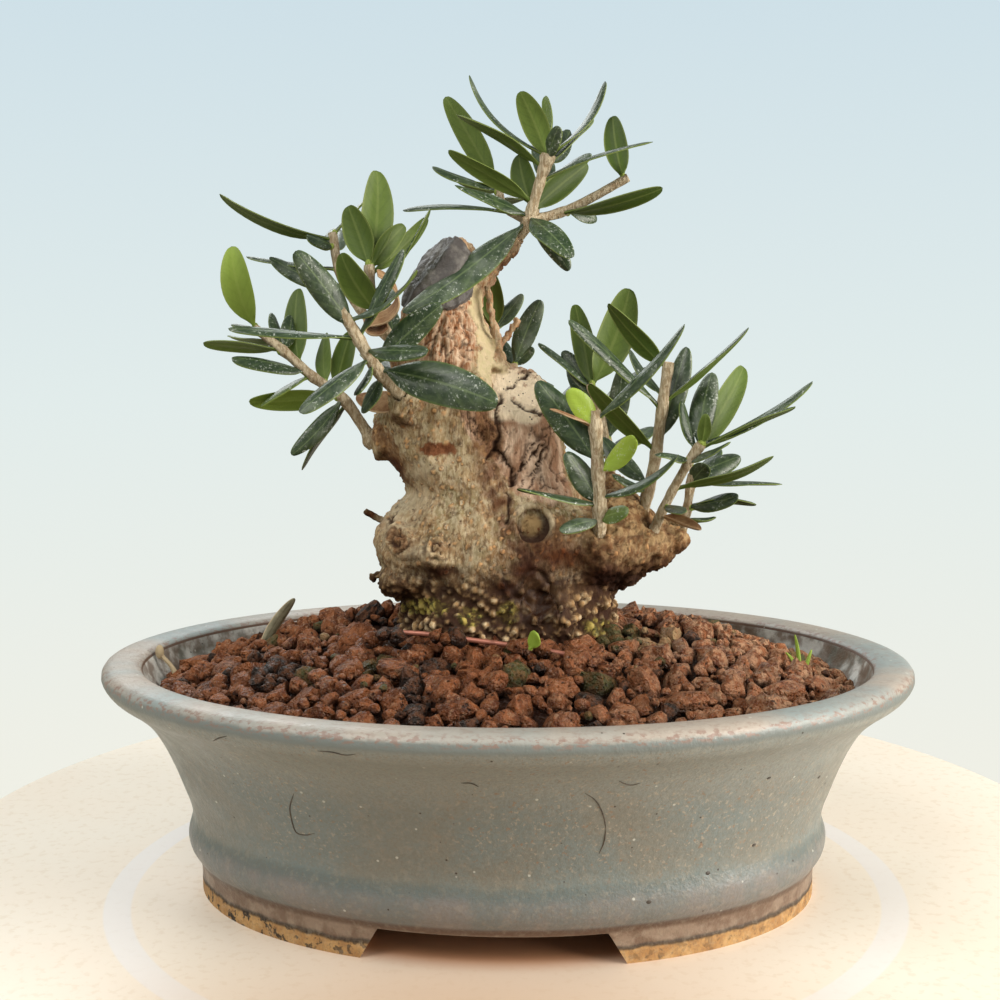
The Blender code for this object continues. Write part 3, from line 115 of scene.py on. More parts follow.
# %% Lines of sight
def photo_pixels(points):
    """Where points in millimetres are seen in the photograph's frame."""
    seen = np.asarray(points, dtype=float) - np.array(CAMERA_PLACE)
    depth = seen @ np.array(forward)
    across = seen @ np.array(right) / depth
    high = seen @ np.array(up) / depth
    return np.stack([PHOTO_MIDDLE + FOCAL_PIXELS * across, PHOTO_MIDDLE - FOCAL_PIXELS * high], axis=1)


def on_surface(surface, pixel):
    """The point and normal of a surface under one pixel, or None where the pixel misses it."""
    x, y = (part - PHOTO_MIDDLE for part in pixel)
    line = forward + right * x / FOCAL_PIXELS - up * y / FOCAL_PIXELS
    place, normal, _, _ = surface.ray_cast(CAMERA_PLACE, line.normalized())
    return (place, normal) if place is not None else None


print("the pot's middle is seen at", photo_pixels([(0.0, 0.0, 0.0)])[0].round())

# %% [markdown]
# ## Short ways to build a finish
#
# Every finish here is drawn by nodes. They could be made one by one, but then a finish would take a
# page. So a small class adds nodes to a tree and returns their sockets, and `mixed`, `ranged` and
# `times` read like what they do. Colours are plain triples of red, green and blue in linear light.

# %% Node helpers
class Nodes:
    """A node tree with short ways to add to it. Inputs are sockets or plain values."""

    def __init__(self, tree):
        self.tree = tree

    def join(self, value, socket):
        if isinstance(value, bpy.types.NodeSocket):
            self.tree.links.new(value, socket)
        elif socket.type == "RGBA":
            socket.default_value = (*value, 1.0)
        else:
            socket.default_value = value

    def put(self, kind, inputs=None, **settings):
        """Add one node with its settings and its inputs."""
        node = self.tree.nodes.new("ShaderNode" + kind)
        for name, value in settings.items():
            setattr(node, name, value)
        for key, value in (inputs or {}).items():
            self.join(value, node.inputs[key])
        return node

    def mixed(self, share, first, second, mode="MIX"):
        """Mix two colours by a share from 0 to 1."""
        return self.put("Mix", {0: share, 6: first, 7: second}, data_type="RGBA", blend_type=mode).outputs[2]

    def ranged(self, value, low, high, start=0.0, end=1.0, steps="SMOOTHSTEP"):
        """Turn a value between low and high into a smooth share."""
        return self.put("MapRange", {"Value": value, "From Min": low, "From Max": high, "To Min": start,
                                     "To Max": end}, interpolation_type=steps).outputs["Result"]

    def maths(self, operation, *values):
        return self.put("Math", dict(enumerate(values)), operation=operation).outputs[0]

    def times(self, first, second):
        return self.maths("MULTIPLY", first, second)

    def plus(self, first, second):
        return self.maths("ADD", first, second)

    def vector(self, operation, *values):
        return self.put("VectorMath", dict(enumerate(values)), operation=operation).outputs["Vector"]

    def length(self, vector):
        return self.put("VectorMath", {0: vector}, operation="LENGTH").outputs["Value"]

    def part_of(self, vector, axis):
        return self.put("SeparateXYZ", {0: vector}).outputs[axis]

    def noise(self, vector, scale, detail, rough):
        return self.put("TexNoise", {"Vector": vector, "Scale": scale, "Detail": detail,
                                     "Roughness": rough}).outputs["Fac"]

    def cells(self, vector, scale, feature="F1"):
        return self.put("TexVoronoi", {"Vector": vector, "Scale": scale}, feature=feature).outputs


print("colours are mixed and values are ranged by", Nodes.__name__)

# %% [markdown]
# ## Patterns that several finishes share
#
# Three effects come back on glaze, grit, bark and leaves: small round specks, cloudy mottling and
# pits. Each is a node group with named inputs, built once and placed in every material with its own
# values. A group only puts out masks. The shader stays in the material.

# %% Shared node groups
def new_group(name, output, **inputs):
    """A shader node group that reads a vector and some numbers, and puts out one mask."""
    group = bpy.data.node_groups.new(name, "ShaderNodeTree")
    group.interface.new_socket(name="Vector", in_out="INPUT", socket_type="NodeSocketVector")
    for label, value in inputs.items():
        number = group.interface.new_socket(name=label.replace("_", " "), in_out="INPUT",
                                            socket_type="NodeSocketFloat")
        number.default_value = value
    group.interface.new_socket(name=output, in_out="OUTPUT", socket_type="NodeSocketFloat")
    nodes = Nodes(group)
    start = group.nodes.new("NodeGroupInput").outputs
    scale = nodes.maths("DIVIDE", start["Per mm"], MM)
    return nodes, start, scale, group.nodes.new("NodeGroupOutput").inputs[output]


def make_specks_group():
    """Round specks: Per mm sets their spacing, Size their reach, Share how many cells have one."""
    nodes, start, scale, mask = new_group("round_specks", "Mask", Per_mm=0.4, Size=0.2, Share=0.5)
    cells = nodes.cells(start["Vector"], scale)
    spot = nodes.ranged(cells["Distance"], start["Size"], nodes.times(start["Size"], 0.55))
    chosen = nodes.maths("LESS_THAN", nodes.part_of(cells["Color"], 0), start["Share"])
    nodes.join(nodes.times(spot, chosen), mask)
    return nodes.tree


def make_mottle_group():
    """Cloudy mottling between two levels of a noise."""
    nodes, start, scale, mask = new_group("mottle", "Mask", Per_mm=0.1, Low=0.4, High=0.6, Detail=4.0)
    clouds = nodes.noise(start["Vector"], scale, start["Detail"], 0.6)
    nodes.join(nodes.ranged(clouds, start["Low"], start["High"]), mask)
    return nodes.tree


def make_pits_group():
    """Pits of a porous surface: 1 on the surface and 0 at the bottom of a pit."""
    nodes, start, scale, level = new_group("pits", "Level", Per_mm=1.5, Depth=0.5)
    distance = nodes.cells(start["Vector"], scale, "SMOOTH_F1")["Distance"]
    nodes.join(nodes.ranged(distance, 0.0, start["Depth"]), level)
    return nodes.tree


SPECKS = make_specks_group()
MOTTLE = make_mottle_group()
PITS = make_pits_group()
print("shared groups:", SPECKS.name, MOTTLE.name, PITS.name)

# %% [markdown]
# ## A finish in layers
#
# A finish starts with one colour, and more colours are laid over it, each where a mask says so. That
# is how glaze breaks, bark weathers and dust settles. `place` is the point on the object, so every
# pattern is as large as its number of swings in a millimetre says, and no pattern slides.

# %% Layers of a finish
class Finish(Nodes):
    """A material that is built up in layers over a first colour."""

    def __init__(self, name, roughness=0.6, gloss=0.5):
        self.material = bpy.data.materials.new(name)
        self.material.use_nodes = True
        super().__init__(self.material.node_tree)
        self.shader = self.tree.nodes["Principled BSDF"]
        self.shader.inputs["Roughness"].default_value = roughness
        self.shader.inputs["Specular IOR Level"].default_value = gloss
        self.place = self.put("TexCoord").outputs["Object"]
        self.tone = None

    def read(self, name, output="Fac"):
        """A value that is stored on the points of the piece."""
        return self.put("Attribute", attribute_name=name).outputs[output]

    def stretched(self, scale, vector=None):
        """The place with each axis scaled, to draw a pattern out along one of them."""
        return self.put("Mapping", {"Vector": vector or self.place, "Scale": scale}).outputs[0]

    def shaken(self, per_mm, detail=3.0, rough=0.55, at=None):
        """Smooth noise with so many swings in a millimetre."""
        return self.noise(at or self.place, per_mm / MM, detail, rough)

    def group(self, tree, at=None, **inputs):
        values = {label.replace("_", " "): value for label, value in inputs.items()}
        return self.put("Group", {"Vector": at or self.place, **values}, node_tree=tree).outputs[0]

    def specks(self, per_mm, size, share=0.5):
        return self.group(SPECKS, Per_mm=per_mm, Size=size, Share=share)

    def mottle(self, per_mm, low=0.4, high=0.6, detail=4.0, at=None):
        return self.group(MOTTLE, at, Per_mm=per_mm, Low=low, High=high, Detail=detail)

    def pits(self, per_mm, depth):
        return self.group(PITS, Per_mm=per_mm, Depth=depth)

    def lay(self, top, mask, share=None, mode="MIX"):
        """Lay a colour over the colour so far, where a mask says so."""
        self.tone = self.mixed(mask if share is None else self.times(mask, share), self.tone, top, mode)

    def done(self, relief=None, depth=0.0, strength=1.0, roughness=None):
        """Hand colour, roughness and a relief of some depth in mm to the shader."""
        self.join(self.tone, self.shader.inputs["Base Color"])
        if roughness:
            self.join(roughness, self.shader.inputs["Roughness"])
        if relief:
            bump = self.put("Bump", {"Height": relief, "Distance": depth * MM, "Strength": strength})
            self.join(bump.outputs["Normal"], self.shader.inputs["Normal"])
        return self.material


def grey(level):
    return (level, level, level)


print("a finish has the layers:", [name for name in ("specks", "mottle", "pits") if hasattr(Finish, name)])

# %% [markdown]
# ## Floor, backdrop and light
#
# The pot stands on a plain round cream board in front of a pale backdrop that runs from cream
# below to light blue above. The backdrop is the world itself, coloured by height, so it looks the
# same from every side. One large soft light from the upper left models the wood, and a warmer one
# from the right gives the glow on the right end of the pot. Large lights keep the shadows soft.

# %% Board
BOARD_RADIUS = 127.0
BOARD_MIDDLE = (0.0, 28.0)
BOARD_THICKNESS = 6.0
BOARD_COLOUR = (0.90, 0.79, 0.67)
BOARD_PALE = (0.90, 0.81, 0.70)
BOARD_FLECK = (0.74, 0.60, 0.45)
# A pale ring on the board: its radius and the reach of half its width
BOARD_RING = (78.0, 2.6)
BOARD_RING_COLOUR = (0.86, 0.83, 0.83)
# Half length and half width of the shade under the pot, and its colour
POT_SHADE = ((59.0, 45.5), (0.56, 0.28, 0.15))
# Middle and reach of the warm shade before the pot, and its colour
FRONT_SHADE = (-92.0, 88.0, (0.60, 0.42, 0.29))


def make_board_paint():
    paint = Finish("board_paint", 0.55)
    paint.tone = paint.mixed(paint.ranged(paint.shaken(0.02, 4.0), 0.35, 0.65), BOARD_COLOUR, BOARD_PALE)
    paint.lay(BOARD_FLECK, paint.ranged(paint.shaken(0.5, 5.0), 0.52, 0.66, 0.0, 0.35))
    flat = paint.vector("MULTIPLY", paint.place, (1.0, 1.0, 0.0))
    ring_radius, ring_reach = BOARD_RING
    from_ring = paint.maths("ABSOLUTE", paint.maths("SUBTRACT", paint.length(flat), ring_radius * MM))
    paint.lay(BOARD_RING_COLOUR,
              paint.ranged(from_ring, (ring_reach + 0.3) * MM, (ring_reach - 0.3) * MM, 0.0, 0.7))
    front_y, front_reach, front_tone = FRONT_SHADE
    before_pot = paint.length(paint.vector("ADD", flat, (0.0, -front_y * MM, 0.0)))
    paint.lay(front_tone, paint.ranged(before_pot, front_reach * MM, 0.2 * front_reach * MM, 0.0, 0.95))
    (half_x, half_y), shade_tone = POT_SHADE
    oval = paint.stretched((1.0 / (half_x * MM), 1.0 / (half_y * MM), 0.0), flat)
    paint.lay(shade_tone, paint.ranged(paint.length(oval), 1.05, 0.88))
    return paint.done()


def object_from(bm, name):
    """Turn a bmesh in millimetres into an object in metres."""
    bmesh.ops.scale(bm, vec=(MM, MM, MM), verts=bm.verts)
    mesh = bpy.data.meshes.new(name)
    bm.to_mesh(mesh)
    bm.free()
    obj = bpy.data.objects.new(name, mesh)
    bpy.context.scene.collection.objects.link(obj)
    return obj


def make_board():
    bm = bmesh.new()
    bmesh.ops.create_cone(bm, cap_ends=True, segments=180, radius1=BOARD_RADIUS, radius2=BOARD_RADIUS,
                          depth=BOARD_THICKNESS)
    bmesh.ops.translate(bm, vec=(*BOARD_MIDDLE, -BOARD_THICKNESS / 2.0), verts=bm.verts)
    board = object_from(bm, "board")
    board.data.materials.append(make_board_paint())


make_board()
print("board radius in mm:", BOARD_RADIUS)

# %% Backdrop
BACKDROP_TONES = [(0.0, (0.87, 0.87, 0.79)), (0.45, (0.76, 0.84, 0.83)), (1.0, (0.60, 0.73, 0.80))]
BACKDROP_REACH = 0.28
BACKDROP_LIGHT = 0.60
AMBIENT_TONE = (1.0, 0.89, 0.76)


def make_backdrop():
    world = bpy.data.worlds.new("backdrop")
    bpy.context.scene.world = world
    world.use_nodes = True
    sky = Nodes(world.node_tree)
    height = sky.part_of(sky.put("TexCoord").outputs["Generated"], "Z")
    ramp = sky.put("ValToRGB", {"Fac": sky.ranged(height, -BACKDROP_REACH, BACKDROP_REACH, steps="LINEAR")})
    ramp.color_ramp.elements.remove(ramp.color_ramp.elements[1])
    ramp.color_ramp.elements[0].color = (*BACKDROP_TONES[0][1], 1.0)
    for place, tone in BACKDROP_TONES[1:]:
        ramp.color_ramp.elements.new(place).color = (*tone, 1.0)
    seen = sky.put("LightPath").outputs["Is Camera Ray"]
    shown = sky.mixed(1.0, ramp.outputs["Color"], sky.mixed(seen, AMBIENT_TONE, grey(1.0)), "MULTIPLY")
    backdrop = sky.tree.nodes["Background"].inputs
    sky.join(shown, backdrop["Color"])
    sky.join(sky.ranged(seen, 0.0, 1.0, BACKDROP_LIGHT, 1.0), backdrop["Strength"])


make_backdrop()
print("tones in the backdrop:", len(BACKDROP_TONES))

# %% Lights
# Name, place in mm, side in mm, power in watts, colour
LIGHTS = [
    ("soft_key", (-330.0, -420.0, 620.0), 420.0, 3.4, (1.0, 0.97, 0.93)),
    ("warm_side", (520.0, -190.0, 230.0), 380.0, 4.9, (1.0, 0.94, 0.86)),
    ("back_edge", (-260.0, 520.0, 520.0), 400.0, 1.8, (0.95, 0.98, 1.0)),
]
LIGHTS_AIM = Vector((0.0, 0.0, 60.0))


def add_light(name, place, side, power, tone):
    data = bpy.data.lights.new(name, "AREA")
    data.shape = "SQUARE"
    data.size = side * MM
    data.energy = power
    data.color = tone
    light = bpy.data.objects.new(name, data)
    towards = LIGHTS_AIM - Vector(place)
    light.matrix_world = (Matrix.Translation(Vector(place) * MM)
                          @ towards.to_track_quat("-Z", "Y").to_matrix().to_4x4())
    bpy.context.scene.collection.objects.link(light)


for setup in LIGHTS:
    add_light(*setup)
bpy.context.scene.view_settings.view_transform = "Standard"
print("lights:", len(LIGHTS))

# %% [markdown]
# ## From a bmesh to a piece of the tree
#
# Every piece goes the same way: its bmesh becomes an object in metres, as the board's did, gets its
# materials, rides on the frame's one body and hides the solid of the frame that it stands for.
# Nothing may stand proud of the frame's box, so stray points are pressed back to it.

# %% Finish a piece
def seat_piece(obj, materials, replaced, smooth_angle=45.0):
    """Keep a piece in the frame's box, shade it, and tie it to the frame."""
    mesh = obj.data
    places = np.empty(len(mesh.vertices) * 3, dtype=np.float32)
    mesh.vertices.foreach_get("co", places)
    places = np.clip(places.reshape(-1, 3), cad_box[0], cad_box[1])
    mesh.vertices.foreach_set("co", places.astype(np.float32).ravel())
    for surface in materials:
        mesh.materials.append(surface)
    mesh.shade_smooth()
    mesh.set_sharp_from_angle(angle=math.radians(smooth_angle))
    mesh.update()
    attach(obj, BODY)
    if replaced:
        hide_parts(*replaced)
    mesh.calc_loop_triangles()
    print("%s: %d triangles" % (obj.name, len(mesh.loop_triangles)))


def apply_modifiers(obj):
    """Replace an object's mesh with what its modifiers make of it."""
    bpy.context.view_layer.update()
    evaluated = obj.evaluated_get(bpy.context.evaluated_depsgraph_get())
    mesh = bpy.data.meshes.new_from_object(evaluated)
    mesh.materials.clear()
    obj.modifiers.clear()
    obj.data = mesh
    return obj


def remove(*objects):
    for obj in objects:
        bpy.data.objects.remove(obj, do_unlink=True)


def points_of(mesh):
    """A mesh's points and their normals, in millimetres."""
    places = np.empty(len(mesh.vertices) * 3)
    normals = np.empty(len(mesh.vertices) * 3)
    mesh.vertices.foreach_get("co", places)
    mesh.vertices.foreach_get("normal", normals)
    return places.reshape(-1, 3) / MM, normals.reshape(-1, 3)


def move_points(mesh, places):
    mesh.vertices.foreach_set("co", (np.asarray(places) * MM).astype(np.float32).ravel())
    mesh.update()


def store(mesh, name, values, kind="FLOAT", field="value"):
    """Keep a number or a vector for each point of a mesh, for its material to read."""
    made = mesh.attributes.new(name, kind, "POINT")
    made.data.foreach_set(field, np.asarray(values, dtype=np.float32).ravel())


def step_between(values, low, high):
    """A smooth step from 0 at low to 1 at high, for arrays."""
    share = np.clip((np.asarray(values, dtype=float) - low) / (high - low), 0.0, 1.0)
    return share * share * (3.0 - 2.0 * share)


def in_swings(points, per_mm, shift):
    """Points in millimetres, scaled to the swings of a noise and shifted to a part of it of their own."""
    scale = np.broadcast_to(np.asarray(per_mm, dtype=float), (3,))
    return (Vector(point * scale) + Vector((shift, shift, shift)) for point in points)


def noise_of(points, per_mm, octaves=3, shift=0.0):
    """Fractal noise at many points, about -1 to 1."""
    return np.array([noise.fractal(spot, 1.0, 2.1, octaves) for spot in in_swings(points, per_mm, shift)])


def cells_of(points, per_mm, shift=0.0):
    """Distances to the nearest and the second nearest cell centre at many points."""
    return np.array([noise.voronoi(spot)[0][:2] for spot in in_swings(points, per_mm, shift)])


print("pieces ride on", BODY)

# %% [markdown]
# ## The pot
#
# The real pot is stoneware: an oval shell with a rolled lip, a belly, a bulged band and a foot ring
# that was cut through at the front and the back. A turned shape could be spun, but this one is
# oval, so a stack of ovals is bridged instead. Each oval keeps the same difference between its
# half length and half width, as a board template does. The profile is a smooth curve through a
# few points, and the foot, its gap and the four holes in the floor are cut with Boolean modifiers.

# %% Pot profile
POT_HALF_LENGTH = 81.5
POT_HALF_WIDTH = 64.0
POT_HEIGHT = 47.0
OVAL_STEP = POT_HALF_LENGTH - POT_HALF_WIDTH
OVAL_SEGMENTS = 200
PROFILE_STEP = 0.8
FLOOR_HEIGHT = 11.0
UNDERSIDE_HEIGHT = 6.5
FOOT_GAP_HEIGHT = 6.0
FOOT_GAP_HALF_TOP = 20.6
FOOT_GAP_HALF_BOTTOM = 23.9
FOOT_RING_WIDTH = 9.0
DRAIN_HOLE = (30.0, 6.0, 40)
WIRE_HOLE = (13.0, 2.2, 20)
HOLE_CUT_LOW = 2.0
HOLE_CUT_HIGH = 16.0
CUT_MARGIN = 2.0
BRIM_MIDDLE = 78.0
BRIM_FALL = 0.004
HAND_MADE_DENT = 0.45
HAND_MADE_PER_MM = 0.035

# Half length and height of points down the outside and over the brim, then down the inside
OUTER_PROFILE = [
    (62.6, 0.0), (62.8, 4.5), (63.4, 6.9), (64.9, 9.4), (65.3, 12.0), (64.4, 15.6), (64.8, 18.5),
    (66.0, 22.0), (67.9, 27.0), (70.3, 32.0), (73.2, 36.3), (76.8, 39.6), (80.0, 42.0), (81.5, 44.5),
    (80.9, 46.3), (79.0, POT_HEIGHT), (76.0, 46.9), (74.2, 46.4),
]
INNER_PROFILE = [
    (73.4, 45.4), (72.6, 43.0), (70.4, 39.0), (66.8, 33.5), (63.6, 27.0), (61.0, 19.5), (59.5, 14.0),
    (57.0, FLOOR_HEIGHT),
]
# Half lengths between the two, to tell the inside of the wall from its outside
MID_WALL = [
    (61.0, 11.0), (64.0, 23.0), (69.2, 34.0), (73.4, 39.6), (75.0, 43.0), (73.8, 45.6), (73.2, POT_HEIGHT),
]


def smooth_route(points, step):
    """Points at an even step along a smooth curve through the given ones."""
    corners = [Vector(point) for point in points]
    padded = [2 * corners[0] - corners[1]] + corners + [2 * corners[-1] - corners[-2]]
    route = [corners[0]]
    for before, start, end, after in zip(padded, padded[1:], padded[2:], padded[3:]):
        pieces = max(1, round((end - start).length / step))
        for piece in range(1, pieces + 1):
            t = piece / pieces
            route.append(0.5 * (2 * start + (end - before) * t
                                + (2 * before - 5 * start + 4 * end - after) * t ** 2
                                + (3 * start - before - 3 * end + after) * t ** 3))
    return route


def edges_of(verts):
    """Each edge of some points once, in an order that doesn't change from run to run."""
    return list(dict.fromkeys(edge for vert in verts for edge in vert.link_edges))


def oval_loop(bm, half_length, heights, segments=OVAL_SEGMENTS):
    """One oval of edges, level or with a height for each angle."""
    made = bmesh.ops.create_circle(bm, cap_ends=False, radius=1.0, segments=segments)["verts"]
    bmesh.ops.scale(bm, vec=(half_length, half_length - OVAL_STEP, 1.0), verts=made)
    for vert in made:
        vert.co.z = heights(vert.co.x, vert.co.y) if callable(heights) else heights
    return edges_of(made)


def loft(bm, loops):
    """Bridge a stack of edge loops and close both ends."""
    for lower, upper in zip(loops, loops[1:]):
        bmesh.ops.bridge_loops(bm, edges=lower + upper)
    bmesh.ops.edgeloop_fill(bm, edges=loops[0])
    bmesh.ops.edgeloop_fill(bm, edges=loops[-1])
    bmesh.ops.recalc_face_normals(bm, faces=bm.faces)


pot_profile = smooth_route(OUTER_PROFILE + INNER_PROFILE, PROFILE_STEP)
print("ovals in the pot:", len(pot_profile))

# %% Pot body and cuts
def cut(obj, cutter):
    modifier = obj.modifiers.new("cut", "BOOLEAN")
    modifier.operation = "DIFFERENCE"
    modifier.solver = "MANIFOLD"
    modifier.object = cutter


def foot_recess():
    bm = bmesh.new()
    half_length = OUTER_PROFILE[0][0] - FOOT_RING_WIDTH
    loft(bm, [oval_loop(bm, half_length, height) for height in (-CUT_MARGIN, UNDERSIDE_HEIGHT)])
    return object_from(bm, "foot_recess")


def foot_gap():
    """The wedge that parts the foot ring into two C-shaped feet, narrower at its top."""
    bm = bmesh.new()
    slope = (FOOT_GAP_HALF_BOTTOM - FOOT_GAP_HALF_TOP) / FOOT_GAP_HEIGHT
    for vert in bmesh.ops.create_cube(bm, size=2.0)["verts"]:
        vert.co.z = FOOT_GAP_HEIGHT if vert.co.z > 0 else -CUT_MARGIN
        vert.co.x *= FOOT_GAP_HALF_TOP + slope * (FOOT_GAP_HEIGHT - vert.co.z)
        vert.co.y *= POT_HALF_WIDTH + CUT_MARGIN
    return object_from(bm, "foot_gap")


def floor_hole(side, hole):
    place, radius, segments = hole
    bm = bmesh.new()
    bmesh.ops.create_cone(bm, cap_ends=True, segments=segments, radius1=radius, radius2=radius,
                          depth=HOLE_CUT_HIGH - HOLE_CUT_LOW)
    bmesh.ops.translate(bm, vec=(side * place, 0.0, (HOLE_CUT_HIGH + HOLE_CUT_LOW) / 2.0), verts=bm.verts)
    return object_from(bm, "floor_hole")


def make_pot():
    bm = bmesh.new()
    loops = []
    for half, height in pot_profile:
        # A brim that is a hair lower at its edges, because rings at one height may be bridged crosswise
        highest = POT_HEIGHT - BRIM_FALL * abs(half - BRIM_MIDDLE)
        loops.append(oval_loop(bm, min(half, POT_HALF_LENGTH), max(0.0, min(height, highest))))
    loft(bm, loops)
    print("volume of the pot in cubic mm:", round(bm.calc_volume()))
    pot = object_from(bm, "glazed_pot")
    cutters = [foot_recess(), foot_gap()]
    cutters += [floor_hole(side, hole) for side in (-1, 1) for hole in (DRAIN_HOLE, WIRE_HOLE)]
    for cutter in cutters:
        cut(pot, cutter)
    apply_modifiers(pot)
    remove(*cutters)
    return pot


pot = make_pot()
print("points in the pot:", len(pot.data.vertices))

# %% [markdown]
# ### Hand-made unevenness and the pot's own coordinates
#
# A thrown pot is never quite even, so its wall is pressed in here and there by less than half a
# millimetre. Two things are then stored on the points for the glaze: which side of the wall they
# are on, and a seamless direction round the oval, along which the rim's streaks are fine while
# they stay long across it.

# %% Pot unevenness
AROUND_RADIUS = 80.0
AROUND_RISE = 0.12


def oval_half_length(x, y):
    """The half length of the oval through each point, found by halving."""
    low = np.full_like(x, OVAL_STEP + 0.5)
    high = np.full_like(x, POT_HALF_LENGTH + 5.0)
    for _ in range(30):
        middle = (low + high) / 2.0
        outside = (x / middle) ** 2 + (y / (middle - OVAL_STEP)) ** 2 > 1.0
        low = np.where(outside, middle, low)
        high = np.where(outside, high, middle)
    return (low + high) / 2.0


def dress_pot(mesh):
    places, _ = points_of(mesh)
    half = oval_half_length(places[:, 0], places[:, 1])
    angle = np.arctan2(places[:, 1] * half, places[:, 0] * (half - OVAL_STEP))
    limit = np.interp(places[:, 2], [height for _, height in MID_WALL], [reach for reach, _ in MID_WALL])
    inside = step_between(limit - half, -0.3, 0.4) * (places[:, 2] > UNDERSIDE_HEIGHT + 1.0)
    around = np.stack([AROUND_RADIUS * np.cos(angle), AROUND_RADIUS * np.sin(angle),
                       AROUND_RISE * (places[:, 2] - half)], axis=1)
    dent = HAND_MADE_DENT * (0.5 + 0.5 * noise_of(places, HAND_MADE_PER_MM, 2))
    shrink = 1.0 - np.clip(dent, 0.0, 1.0) / np.maximum(half, 30.0) * step_between(places[:, 2], 0.0, 6.0)
    places[:, 0] *= shrink
    places[:, 1] *= shrink
    move_points(mesh, places)
    store(mesh, "inside", inside)
    store(mesh, "around", around, "FLOAT_VECTOR", "vector")


dress_pot(pot.data)
print("the glaze can read:", [made.name for made in pot.data.attributes if made.name in ("inside", "around")])

# %% [markdown]
# ### Glaze
#
# The glaze is a satin grey that leans to sage on the wall, to blue on the lip and on the low band,
# and breaks to brown where it runs thin: in spots on the lip's outer edge, in a line on its inner
# edge, in the crease over the foot. The lower foot is bare ochre clay with black smears. The bands
# follow the height, each edge is shaken by noise, and ochre, beige and dark freckles lie over them.

# %% Glaze material
CLAY = (0.36, 0.185, 0.065)
CLAY_LIGHT = (0.52, 0.31, 0.12)
CLAY_STAIN = (0.022, 0.014, 0.010)
FOOT_GLAZE = (0.155, 0.092, 0.060)
FOOT_GLAZE_LIGHT = (0.25, 0.175, 0.125)
CREASE = (0.075, 0.032, 0.016)
LOW_BAND = (0.160, 0.172, 0.168)
LOW_VIOLET = (0.20, 0.185, 0.175)
GROOVE = (0.095, 0.130, 0.128)
WALL = (0.199, 0.199, 0.172)
WALL_BLUE = (0.178, 0.210, 0.204)
UPPER_WALL = (0.268, 0.286, 0.265)
UNDER_LIP = (0.20, 0.22, 0.21)
LIP = (0.425, 0.365, 0.31)
LIP_BLUE = (0.30, 0.34, 0.335)
LIP_BROKEN = (0.27, 0.175, 0.14)
LIP_EDGE = (0.11, 0.055, 0.032)
INNER_WALL = (0.64, 0.64, 0.61)
INNER_SHADE = (0.14, 0.135, 0.11)
INNER_STAIN = (0.15, 0.09, 0.055)
OCHRE_SPECK = (0.27, 0.155, 0.085)
GRAIN_BROWN = (0.16, 0.125, 0.082)
BEIGE_SPECK = (0.40, 0.34, 0.26)
WHITE_SPECK = (0.60, 0.60, 0.54)
DARK_SPECK = (0.04, 0.028, 0.02)


